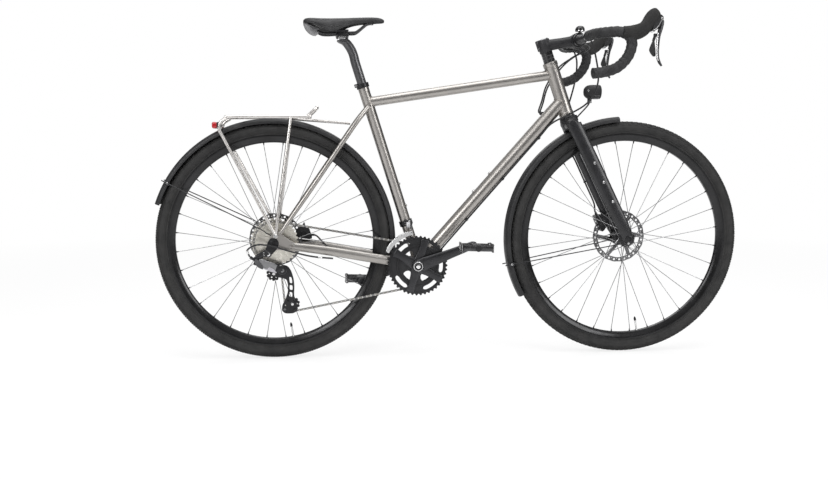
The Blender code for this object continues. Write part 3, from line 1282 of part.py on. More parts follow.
def make_rails():
    sides = []
    for side in (-1, 1):
        y = side * RAIL_Y
        sides.append([
            Vector((SADDLE_REAR_X + 0.020, y * 1.20, RAIL_Z + 0.0207)),
            Vector((SADDLE_REAR_X + 0.050, y * 1.10, RAIL_Z + 0.0060)),
            Vector((SADDLE_REAR_X + 0.078, y, RAIL_Z)),
            Vector((CLAMP_X + 0.032, y, RAIL_Z)),
            Vector((CLAMP_X + 0.062, y * 0.70, RAIL_Z + 0.0190)),
            Vector((CLAMP_X + 0.085, y * 0.40, RAIL_Z + 0.0260)),
        ])
    path = sides[0] + sides[1][::-1]
    tail = cylinder(sides[0][0] + AXIS_Z * 0.001, sides[1][0] + AXIS_Z * 0.001, RAIL_R, 6)
    part("saddle_rails", "saddle", "black_alloy", [sweep(path, RAIL_R, 6), tail])


def saddle_half_width(share):
    """Half the saddle's width at a share of its length from the rear."""
    half = SADDLE_W / 2.0
    if share < 0.22:
        return half * (0.80 + 0.20 * math.sin(math.pi / 2.0 * share / 0.22))
    if share < 0.62:
        t = (share - 0.22) / 0.40
        return half - (half - 0.0235) * (0.5 - 0.5 * math.cos(math.pi * t))
    return 0.0235 - 0.0045 * (share - 0.62) / 0.38


def make_saddle():
    """A lofted shell: thick at the middle, with its wings turned down at the rear."""
    rings = []
    for share in (0.0, 0.05, 0.14, 0.25, 0.38, 0.50, 0.64, 0.80, 0.93, 1.0):
        x = SADDLE_REAR_X + SADDLE_L * share
        half = saddle_half_width(share)
        if share in (0.0, 1.0):
            half *= 0.72
        top = SADDLE_TOP_Z - 0.0035 * math.sin(math.pi * share) - (0.0080 if share in (0.0, 1.0) else 0.0)
        wing = 0.0300 * (1.0 - share * 0.45) if share < 0.9 else 0.0210
        wing = 0.0150 if share in (0.0, 1.0) else wing
        floor = top - min(wing * 0.62, 0.0180)
        rings.append([
            Vector((x, 0.0, top)), Vector((x, half * 0.55, top - 0.0010)), Vector((x, half * 0.90, top - 0.0075)),
            Vector((x, half, top - wing)), Vector((x, half * 0.86, top - wing)), Vector((x, half * 0.60, floor)),
            Vector((x, 0.0, floor + 0.0015)),
            Vector((x, -half * 0.60, floor)), Vector((x, -half * 0.86, top - wing)), Vector((x, -half, top - wing)),
            Vector((x, -half * 0.90, top - 0.0075)), Vector((x, -half * 0.55, top - 0.0010)),
        ])
    part("saddle", "saddle", "satin_black", [mesh_of(rings)])


# Cockpit


def make_stem():
    """The stem with its spacers and cap: a bored clamp on the steerer and one on the bar."""
    base = on_steering_axis(STEM_Z)
    bar = Vector((BAR_X, 0.0, BAR_Z))
    head = HEAD_TOP + STEER_UP * GAP
    top = base + STEER_UP * 0.0175
    solids = [
        cylinder(base - STEER_UP * 0.0200, base + STEER_UP * 0.0175, 0.0190, 14),
        cylinder(head, base - STEER_UP * 0.0160, 0.0168, 14),
        turned([(0.0, 0.0), (0.0165, 0.0), (0.0150, 0.0035), (0.0, 0.0035)], top - STEER_UP * 0.0005, STEER_UP, 14),
        sweep([base, base.lerp(bar, 0.5), bar], [0.0165, 0.0158, 0.0168], 10),
        cylinder(bar - AXIS_Y * 0.0225, bar + AXIS_Y * 0.0225, BAR_R + 0.0055, 14),
    ]
    cuts = [
        cylinder(head - STEER_UP * 0.02, base + STEER_UP * 0.0130, STEERER_R + GAP, 14),
        cylinder(bar - AXIS_Y * 0.04, bar + AXIS_Y * 0.04, bore_radius(BAR_R, 14), 14),
    ]
    part("stem", "steering", "satin_black", solids, cuts)


def bar_points(side):
    """The drop bar's centre line on one side, from the clamp to its end plug."""
    y = side * BAR_HALF_W
    x, z = BAR_X, BAR_Z
    return [
        Vector((x, 0.0, z)),
        Vector((x, side * 0.0420, z)),
        Vector((x, side * 0.0600, z)),
        Vector((x, side * TAPE_START_Y, z)),
        Vector((x + 0.003, y * 0.80, z)),
        Vector((x + 0.024, y * 0.95, z)),
        Vector((x + 0.060, y * 0.995, z + 0.001)),
        Vector((x + 0.086, y, z - 0.010)),
        Vector((x + 0.094, y * 1.005, z - 0.032)),
        Vector((x + 0.083, y * 1.010, z - 0.066)),
        Vector((x + 0.056, y * 1.020, z - 0.094)),
        Vector((x + 0.022, y * 1.030, z - 0.107)),
        Vector((x - 0.014, y * 1.040, z - 0.112)),
    ]


def bar_path(side):
    """The centre line with the bends rounded, and the straight top left as it is."""
    points = bar_points(side)
    return points[:4] + smooth_path(points[4:], 2)


def bar_radius(point):
    y = abs(point.y)
    return BAR_R if y < 0.0500 else BAR_GRIP_R


def make_handlebar():
    right, left = bar_path(-1), bar_path(1)
    path = right[::-1] + left[1:]
    sizes = [bar_radius(p) for p in path]
    part("handlebar", "steering", "black_alloy", [sweep(path, sizes, 8, up=None)])
    for name, side in (("bar_tape_right", -1), ("bar_tape_left", 1)):
        path = [p for p in bar_path(side) if abs(p.y) > TAPE_START_Y - GAP]
        end = path[-1] + (path[-1] - path[-2]).normalized() * 0.004
        outer = sweep(path + [end], TAPE_R, 8)
        inner_path = [path[0] + (path[0] - path[1]) * 0.2] + path[1:]
        inner = sweep(inner_path, bore_radius(BAR_GRIP_R + GAP, 8), 8)
        part(name, "steering", "tape", [outer], [inner])


def lever_outline():
    """The lever body and its hood, seen from the side, as offsets from the bar's clamp."""
    x, z = BAR_X, BAR_Z
    return [
        (x + 0.072, z + 0.0150), (x + 0.100, z + 0.0205), (x + 0.122, z + 0.0240), (x + 0.138, z + 0.0500),
        (x + 0.150, z + 0.0635), (x + 0.166, z + 0.0650), (x + 0.180, z + 0.0560), (x + 0.185, z + 0.0430),
        (x + 0.172, z + 0.0230), (x + 0.156, z + 0.0050), (x + 0.135, z - 0.0080), (x + 0.106, z - 0.0200),
        (x + 0.080, z - 0.0080),
    ]


def make_levers():
    half_w = 0.0160
    for word, side in (("right", -1), ("left", 1)):
        y = side * (BAR_HALF_W + 0.003)
        body = side_plate([lever_outline()], y - half_w, y + half_w)
        cut = sweep(bar_path(side), TAPE_R + 2.0 * GAP, 8)
        pivot = LEVER_PIVOT
        pivot_at = Vector((pivot.x, y, pivot.z))
        slot = block((pivot.x + 0.004, y, pivot.z - 0.019), (0.056, LEVER_SLOT_W, 0.072), math.radians(8.0))
        part("lever_body_" + word, "steering", "rubber", [body], [cut, slot])
        blade = [
            Vector((pivot.x, y, pivot.z)), Vector((pivot.x + 0.0085, y, pivot.z - 0.012)),
            Vector((pivot.x + 0.0040, y, pivot.z - 0.050)), Vector((pivot.x - 0.0010, y + side * 0.004, pivot.z - 0.090)),
            Vector((pivot.x + 0.0030, y + side * 0.008, pivot.z - 0.118)),
            Vector((pivot.x + 0.0090, y + side * 0.009, pivot.z - 0.130)),
        ]
        sizes = [(0.0055, 0.0050), (0.0055, 0.0060), (0.0055, 0.0050), (0.0050, 0.0042), (0.0050, 0.0038),
                 (0.0038, 0.0030)]
        pin_half = LEVER_SLOT_W / 2.0 - GAP
        pin = cylinder(pivot_at - AXIS_Y * pin_half, pivot_at + AXIS_Y * pin_half, 0.0038, 8)
        part("brake_lever_" + word, "brake_lever_" + word, "black_alloy", [sweep(blade, sizes, 8, up=AXIS_X), pin])
        hinge = Vector((PADDLE_PIVOT.x, y, PADDLE_PIVOT.z))
        paddle = [
            hinge + Vector((0.0, 0.0, -0.004)), hinge + Vector((-0.010, 0.0, -0.022)),
            hinge + Vector((-0.014, side * 0.002, -0.040)), hinge + Vector((-0.003, side * 0.004, -0.062)),
        ]
        barrel = cylinder(hinge + Vector((-0.0040, 0.0, -0.0030)), hinge + Vector((0.0068, 0.0, -0.0030)), 0.0042, 8)
        sizes = [(0.0050, 0.0022), (0.0060, 0.0040), (0.0065, 0.0045), (0.0045, 0.0022)]
        part("shift_paddle_" + word, "shift_paddle_" + word, "black_plastic",
             [sweep(paddle, sizes, 6, up=AXIS_X), barrel])


def make_bell():
    at = Vector((BAR_X, BELL_Y, BAR_Z))
    inner = bore_radius(BAR_R, 12)
    band = turned(ring_profile(inner, inner + 0.0025, -0.0050, 0.0050), at, AXIS_Y, 12)
    foot = at + AXIS_Z * (inner + 0.0010)
    neck = cylinder(foot, foot + AXIS_Z * 0.0070, 0.0045, 8)
    dome_at = foot + AXIS_Z * 0.0060
    dome = turned([(0.0, 0.0), (BELL_R, 0.0), (BELL_R, 0.0040), (BELL_R * 0.88, 0.0110), (BELL_R * 0.5, 0.0150),
                   (0.0, 0.0160)], dome_at, AXIS_Z, 14)
    part("bell", "steering", "satin_black", [band, neck, dome])


def make_headlamp():
    ahead = Vector((math.sin(HEAD_ANGLE), 0.0, math.cos(HEAD_ANGLE)))
    face = HEAD_LOW - STEER_UP * 0.0150 + ahead * (HEAD_RING_R + 0.0020 + GAP)
    foot = face + ahead * 0.0020
    bracket = [
        sweep([foot, foot + Vector((0.008, 0.0, 0.010)), LAMP_PIVOT + Vector((-0.004, 0.0, -0.012))],
              [(0.0060, 0.0020), (0.0060, 0.0020), (0.0050, 0.0020)], 6),
        cylinder(LAMP_PIVOT + AXIS_Y * -0.0067, LAMP_PIVOT + AXIS_Y * 0.0067, 0.0030, 8),
        sweep([LAMP_PIVOT + Vector((-0.005, 0.0, -0.014)), LAMP_PIVOT + Vector((0.0, 0.0, 0.0))],
              [(0.0050, 0.0022), (0.0050, 0.0025)], 6),
    ]
    plate = block(face + ahead * 0.0015, (0.0030, 0.0140, 0.0180), -(math.pi / 2.0 - HEAD_ANGLE))
    part("headlamp_bracket", "steering", "black_alloy", bracket + [plate])
    centre = Vector((LAMP_X, 0.0, LAMP_Z))
    half = LAMP_L / 2.0
    profile = [
        (0.0, -half), (LAMP_R * 0.55, -half + 0.002), (LAMP_R * 0.93, -half + 0.012), (LAMP_R, half - 0.006),
        (LAMP_R, half), (LAMP_R * 0.88, half), (LAMP_R * 0.80, half - 0.004), (0.0, half - 0.004),
    ]
    solids = [turned(profile, centre, AXIS_X, 14)]
    for side in (-1, 1):
        ear = LAMP_PIVOT + AXIS_Y * side * 0.0085
        solids.append(block(ear + AXIS_Z * 0.0060, (0.0080, 0.0030, 0.0200)))
    part("headlamp", "headlamp", "black_plastic", solids)


# Brakes and cables


def make_calipers():
    body = block(REAR_CALIPER, (0.0480, 0.0300, CALIPER_H), CALIPER_TILT, 0.003)
    part("rear_caliper", "frame", "black_alloy", [body], [rotor_space(REAR_AXLE, REAR_ROTOR_Y)])
    make_pads("rear_brake_pads", "frame", REAR_AXLE, REAR_ROTOR_Y, REAR_CALIPER)
    path = blade_path(1)
    along = (path[-1] - path[0]).normalized()
    behind = Vector((along.z, 0.0, -along.x)).normalized()
    behind = behind if behind.x < 0 else -behind
    at = path[0].lerp(path[-1], 0.795) + behind * (BLADE_TOP_D * 0.5 * 0.74 + GAP + CALIPER_H / 2.0)
    front = Vector((at.x, FRONT_ROTOR_Y + 0.0035, at.z))
    turn = math.atan2(-along.z, along.x)
    body = block(front, (0.0480, 0.0330, CALIPER_H), turn, 0.003)
    part("front_caliper", "steering", "black_alloy", [body], [rotor_space(FRONT_AXLE, FRONT_ROTOR_Y)])
    make_pads("front_brake_pads", "steering", FRONT_AXLE, FRONT_ROTOR_Y, front)


def front_caliper_top():
    """The middle of the front caliper's upper end, and the direction up and away from it."""
    path = blade_path(1)
    along = (path[-1] - path[0]).normalized()
    behind = Vector((along.z, 0.0, -along.x)).normalized()
    behind = behind if behind.x < 0 else -behind
    at = path[0].lerp(path[-1], 0.795) + behind * (BLADE_TOP_D * 0.5 * 0.74 + GAP + CALIPER_H / 2.0)
    flat = Vector((along.x, 0.0, along.z)).normalized()
    return Vector((at.x, FRONT_ROTOR_Y + 0.0080, at.z)) - flat * 0.0240, -flat


def rotor_space(axle, y):
    """The room that a caliper leaves for its disc and pads."""
    half = ROTOR_T / 2.0 + 0.0030
    return cylinder(axle + AXIS_Y * (y - half), axle + AXIS_Y * (y + half), ROTOR_R + 0.0058, 32)


def make_pads(name, body, axle, y, caliper):
    """A pair of pads either side of the disc, joined past its edge by their spring."""
    angle = math.atan2(caliper.z - axle.z, caliper.x - axle.x)
    out = Vector((math.cos(angle), 0.0, math.sin(angle)))
    clear = ROTOR_T / 2.0 + 0.0005
    thick = 0.0018
    solids = []
    middle = axle + out * (ROTOR_R - ROTOR_BAND / 2.0 + 0.0018)
    for side in (-1, 1):
        at = middle + AXIS_Y * (y + side * (clear + thick / 2.0))
        solids.append(block(at, (0.0150, thick, 0.0170), -angle))
    top = axle + out * (ROTOR_R + 0.0020) + AXIS_Y * y
    solids.append(block(top, (0.0024, 2.0 * (clear + thick), 0.0090), -angle))
    part(name, body, "dark_steel", solids)


def beside_down_tube(share, side_y):
    """A hose's centre under the down tube, at a share of its length and a distance to the left."""
    low, top = down_tube_ends()
    under = (top - low).normalized().cross(AXIS_Y)
    under = under if under.z < 0 else -under
    off = DOWN_TUBE_R + HOSE_R + GAP
    return low + (top - low) * share + under * math.sqrt(off**2 - side_y**2) + AXIS_Y * side_y


def beside_stay(x, degrees):
    """A hose's centre next to the left chainstay: 0 degrees is its inner side, and -90 below it."""
    path = chainstay_path(1)
    pair = next((a, b) for a, b in zip(path, path[1:]) if b.x <= x <= a.x)
    share = (x - pair[0].x) / (pair[1].x - pair[0].x)
    angle = math.radians(degrees)
    clear = HOSE_R + GAP + 0.0006
    across = (CHAINSTAY_W / 2.0 + clear) * math.cos(angle)
    over = (CHAINSTAY_H / 2.0 + clear) * math.sin(angle)
    return pair[0].lerp(pair[1], share) + Vector((0.0, -across, over))


def beside_blade(share, degrees):
    """A hose's centre next to the left fork blade: 0 degrees is its outer side, and 90 behind it."""
    path = blade_path(1)
    along = (path[-1] - path[0]).normalized()
    behind = Vector((along.z, 0.0, -along.x)).normalized()
    behind = behind if behind.x < 0 else -behind
    at = path[0].lerp(path[-1], share)
    end_y = FRONT_HUB_W / 2.0 + FORK_DROP_T / 2.0
    at.y = BLADE_TOP_Y + (end_y - BLADE_TOP_Y) * min(1.0, share / 0.85)
    angle = math.radians(degrees)
    clear = HOSE_R + GAP + 0.0013
    depth = BLADE_TOP_D / 2.0 * (1.0 - 0.30 * share) + clear
    return at + AXIS_Y * (BLADE_W / 2.0 + clear) * math.cos(angle) + behind * depth * math.sin(angle)


def make_cables():
    start = TAPE_START_Y - 0.0016
    low = BB.z - BB_SHELL_R - HOSE_R - GAP - 0.0006
    stay_end = REAR_CALIPER + Vector((0.0242, 0.0, -0.0030))
    rear_route = [
        Vector((BAR_X + 0.0130, -start, BAR_Z - 0.0078)),
        Vector((BAR_X + 0.0150, -0.1000, BAR_Z - 0.0110)),
        Vector((BAR_X + 0.0350, -0.0760, BAR_Z - 0.0480)),
        Vector((BAR_X + 0.0500, -0.0600, BAR_Z - 0.1130)),
        Vector((BAR_X + 0.0430, -0.0400, BAR_Z - 0.1600)),
        Vector((BAR_X + 0.0180, -0.0360, BAR_Z - 0.1900)),
        Vector((BAR_X - 0.0260, -0.0320, BAR_Z - 0.2160)),
        beside_down_tube(0.885, -0.0165) + Vector((0.002, -0.001, -0.001)),
        beside_down_tube(0.80, -0.0140),
        beside_down_tube(0.30, -0.0110),
        beside_down_tube(0.09, -0.0040),
        beside_down_tube(0.045, -0.0010) + Vector((0.0006, 0.0, -0.0006)),
        Vector((BB.x + 0.0200, 0.0020, BB.z - 0.0200)),
        Vector((BB.x - 0.0020, 0.0100, low - 0.0002)),
        Vector((BB.x - 0.0280, 0.0220, low + 0.0080)),
        beside_stay(BB.x - 0.074, -90.0),
        beside_stay(BB.x - 0.149, -90.0),
        beside_stay(0.225, -62.0),
        beside_stay(0.190, -25.0),
        beside_stay(0.152, 15.0),
        stay_end + Vector((0.0160, -0.0010, -0.0050)),
        stay_end + AXIS_X * GAP,
    ]
    part("rear_brake_hose", "frame", "rubber", [hose(rear_route, per_span=2)])
    caliper_top = front_caliper_top()
    front_route = [
        Vector((BAR_X + 0.0130, start, BAR_Z - 0.0078)),
        Vector((BAR_X + 0.0150, 0.1000, BAR_Z - 0.0110)),
        Vector((BAR_X + 0.0210, 0.0700, BAR_Z - 0.0520)),
        Vector((BAR_X + 0.0130, 0.0540, BAR_Z - 0.1100)),
        Vector((BAR_X - 0.0030, 0.0500, BAR_Z - 0.1700)),
        Vector((BAR_X - 0.0180, 0.0500, BAR_Z - 0.2150)),
        beside_blade(0.12, 62.0),
        beside_blade(0.30, 62.0),
        beside_blade(0.50, 65.0),
        beside_blade(0.64, 85.0),
        caliper_top[0] + caliper_top[1] * 0.014,
        caliper_top[0] + caliper_top[1] * GAP,
    ]
    part("front_brake_hose", "steering", "rubber", [hose(front_route, per_span=2)])
    port, inward = down_tube_port()
    plug = cylinder(port - inward * GAP, port - inward * (GAP + 0.0040), 0.0058, 8)
    housings = [plug]
    behind = Vector((-0.0020, 0.0, 0.0026))
    for side, shift in ((-1, -behind), (1, behind)):
        route = [
            Vector((BAR_X - 0.0052, side * start, BAR_Z - 0.0141)),
            Vector((BAR_X - 0.0020, side * 0.1000, BAR_Z - 0.0160)),
            Vector((BAR_X + 0.0260, side * 0.0440, BAR_Z - 0.0270)),
            Vector((BAR_X - 0.0060, 0.0260 + side * 0.0100, BAR_Z - 0.0480)),
            Vector((BAR_X - 0.0420, 0.0310, BAR_Z - 0.0780)) + shift,
            Vector((BAR_X - 0.0780, 0.0330, BAR_Z - 0.1300)) + shift,
            Vector((BAR_X - 0.0930, 0.0330, BAR_Z - 0.1800)) + shift,
            port - inward * 0.0150 + shift,
            port - inward * (GAP + 0.0036) + shift * 0.9,
        ]
        housings.append(hose(route, radius=HOSE_R * 0.94, per_span=2))
    part("shift_housings", "frame", "rubber", housings)
    loop = [
        REAR_AXLE + Vector((0.170, -0.0655, -0.0470)),
        REAR_AXLE + Vector((0.110, -0.0760, -0.0430)),
        REAR_AXLE + Vector((0.040, -0.0885, -0.0320)),
        REAR_AXLE + Vector((0.000, -0.0960, -0.0140)),
        REAR_AXLE + Vector((-0.045, -0.0980, -0.0080)),
        REAR_AXLE + Vector((-0.078, -0.0930, -0.0200)),
        RD_REAR + Vector((-0.0190, 0.0, 0.0128)),
    ]
    part("rear_shift_housing", "frame", "rubber", [hose(loop, per_span=3)])


def main():
    clear_scene()
    make_materials()
    make_empties()
    make_wheels()
    make_axles()
    make_frame()
    make_bottom_bracket()
    make_seat_collar()
    make_fork()
    make_rear_mudguard()
    make_front_mudguard()
    make_rack()
    make_rear_light()
    make_cassette()
    make_chainrings()
    make_cranks()
    make_pedals()
    make_chain()
    make_rear_derailleur()
    make_front_derailleur()
    make_seat()
    make_stem()
    make_handlebar()
    make_levers()
    make_bell()
    make_headlamp()
    make_calipers()
    make_cables()


main()
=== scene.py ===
"""The look of the gravel bicycle: materials, camera, light, and a finished piece for each plain solid.

Metres. Shapes are worked out with x = 0 at the rear axle and moved half a wheelbase back at the end.
"""

from math import asin, atan, atan2, copysign, cos, hypot, pi, radians, sin, sqrt, tan

import bmesh
import bpy
from mathutils import Matrix, Vector


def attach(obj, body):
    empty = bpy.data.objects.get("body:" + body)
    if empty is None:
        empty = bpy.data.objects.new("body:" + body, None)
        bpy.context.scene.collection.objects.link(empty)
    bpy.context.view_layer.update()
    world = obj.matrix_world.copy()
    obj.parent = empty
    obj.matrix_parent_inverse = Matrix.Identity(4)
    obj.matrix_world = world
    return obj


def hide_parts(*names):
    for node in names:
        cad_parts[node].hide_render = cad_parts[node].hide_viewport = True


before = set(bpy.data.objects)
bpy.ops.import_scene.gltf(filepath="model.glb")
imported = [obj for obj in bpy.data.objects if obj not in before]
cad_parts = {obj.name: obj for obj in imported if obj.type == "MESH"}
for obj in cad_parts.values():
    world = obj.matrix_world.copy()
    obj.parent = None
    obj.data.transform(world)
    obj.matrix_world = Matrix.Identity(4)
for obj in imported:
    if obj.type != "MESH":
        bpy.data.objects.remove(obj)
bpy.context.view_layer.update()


def vec(*place):
    return Vector(place)


WHEELBASE = 1.049
TYRE_R = 0.349
BEAD_R = 0.311
RIM_INNER_R = 0.2904
RIM_W = 0.0265
SPOKES = 32
REAR_AXLE = vec(0.0, 0.0, TYRE_R)
FRONT_AXLE = vec(WHEELBASE, 0.0, TYRE_R)
BB = vec(0.419, 0.0, 0.2765)
HEAD_ANGLE = radians(71.0)
SEAT_ANGLE = radians(72.6)
X = vec(1.0, 0.0, 0.0)
Y = vec(0.0, 1.0, 0.0)
Z = vec(0.0, 0.0, 1.0)
STEER_UP = vec(-cos(HEAD_ANGLE), 0.0, sin(HEAD_ANGLE))
SEAT_UP = vec(-cos(SEAT_ANGLE), 0.0, sin(SEAT_ANGLE))
REAR_WALL = 0.071
FRONT_WALL = 0.05
DROPOUT_T = 0.007
FORK_END_T = 0.011
REAR_ROTOR_Y = 0.0525
FRONT_ROTOR_Y = 0.0385
REAR_CALIPER = vec(0.084, 0.0535, 0.3655)
HEAD_R = 0.0205
TOP_TUBE_R = 0.0146
DOWN_TUBE_R = 0.02
SEAT_TUBE_R = 0.0158
BB_SHELL_R = 0.023
STAY_R = 0.0075
STAY_HALF_H = 0.01425
BLADE_TOP_Y = 0.0345
BLADE_END_Y = FRONT_WALL + 0.0055
HOSE_R = 0.0025
GAP = 0.0003
NOISE_LOW, NOISE_HIGH = 0.3, 0.7
MATERIALS = {}


def on_steering_axis(z):
    foot_x = WHEELBASE - 0.048 / sin(HEAD_ANGLE)
    return vec(foot_x - (z - TYRE_R) / tan(HEAD_ANGLE), 0.0, z)


def on_seat_axis(z):
    return vec(BB.x + 0.009 - (z - BB.z) / tan(SEAT_ANGLE), 0.0, z)


HEAD_LOW = on_steering_axis(0.715)
HEAD_TOP = HEAD_LOW + STEER_UP * 0.1655
SEAT_TOP = on_seat_axis(0.797)


# Materials


def shader_of(name, colour, roughness, metallic=0.0, coat=0.0, specular=0.5):
    material = bpy.data.materials.new(name)
    material.use_nodes = True
    tree = material.node_tree
    shader = tree.nodes["Principled BSDF"]
    shader.inputs["Base Color"].default_value = (*colour, 1.0)
    shader.inputs["Roughness"].default_value = roughness
    shader.inputs["Metallic"].default_value = metallic
    shader.inputs["Coat Weight"].default_value = coat
    shader.inputs["Coat Roughness"].default_value = 0.08
    shader.inputs["Specular IOR Level"].default_value = specular
    MATERIALS[name] = material
    return tree, shader


def noise(tree, scale, stretch=(1.0, 1.0, 1.0), detail=4.0):
    """Noise in the part's own coordinates, with this many waves in a metre."""
    place = tree.nodes.new("ShaderNodeTexCoord")
    mapping = tree.nodes.new("ShaderNodeMapping")
    mapping.inputs["Scale"].default_value = stretch
    tree.links.new(place.outputs["Object"], mapping.inputs["Vector"])
    node = tree.nodes.new("ShaderNodeTexNoise")
    node.inputs["Scale"].default_value = scale
    node.inputs["Detail"].default_value = detail
    node.inputs["Roughness"].default_value = 0.55
    tree.links.new(mapping.outputs["Vector"], node.inputs["Vector"])
    return node.outputs["Fac"]


def roughen(tree, shader, value, low, high):
    node = tree.nodes.new("ShaderNodeMapRange")
    for socket, level in (("From Min", NOISE_LOW), ("From Max", NOISE_HIGH),
            ("To Min", low), ("To Max", high)):
        node.inputs[socket].default_value = level
    tree.links.new(value, node.inputs["Value"])
    tree.links.new(node.outputs["Result"], shader.inputs["Roughness"])


def tint(tree, shader, value, dark, light):
    ramp = tree.nodes.new("ShaderNodeValToRGB")
    for stop, place, colour in zip(ramp.color_ramp.elements, (NOISE_LOW, NOISE_HIGH), (dark, light)):
        stop.position = place
        stop.color = (*colour, 1.0)
    tree.links.new(value, ramp.inputs["Fac"])
    tree.links.new(ramp.outputs["Color"], shader.inputs["Base Color"])


def bump(tree, shader, value, strength, distance):
    node = tree.nodes.new("ShaderNodeBump")
    node.inputs["Strength"].default_value = strength
    node.inputs["Distance"].default_value = distance
    tree.links.new(value, node.inputs["Height"])
    tree.links.new(node.outputs["Normal"], shader.inputs["Normal"])


def pores(tree, scale):
    """The small cells of soft leather-like grain."""
    place = tree.nodes.new("ShaderNodeTexCoord")
    cells = tree.nodes.new("ShaderNodeTexVoronoi")
    cells.inputs["Scale"].default_value = scale
    tree.links.new(place.outputs["Object"], cells.inputs["Vector"])
    return cells.outputs["Distance"]


def brushed(name, dark, light, low, high, scale, stretch, strength, metallic=1.0):
    """Metal with fine drawn lines, cloudy reflections and a little change of tone."""
    tree, shader = shader_of(name, light, high, metallic)
    tint(tree, shader, noise(tree, 14.0, detail=5.0), dark, light)
    roughen(tree, shader, noise(tree, 60.0, stretch), low, high)
    bump(tree, shader, noise(tree, scale, stretch, 3.0), strength, 0.0002)


def moulded(name, dark, light, low, high, scale, strength, specular=0.25, coat=0.0):
    """Plastic or paint with a fine even grain and slightly uneven gloss."""
    tree, shader = shader_of(name, light, high, 0.0, coat, specular)
    tint(tree, shader, noise(tree, 22.0), dark, light)
    roughen(tree, shader, noise(tree, 45.0), low, high)
    bump(tree, shader, noise(tree, scale, detail=2.0), strength, 0.00015)


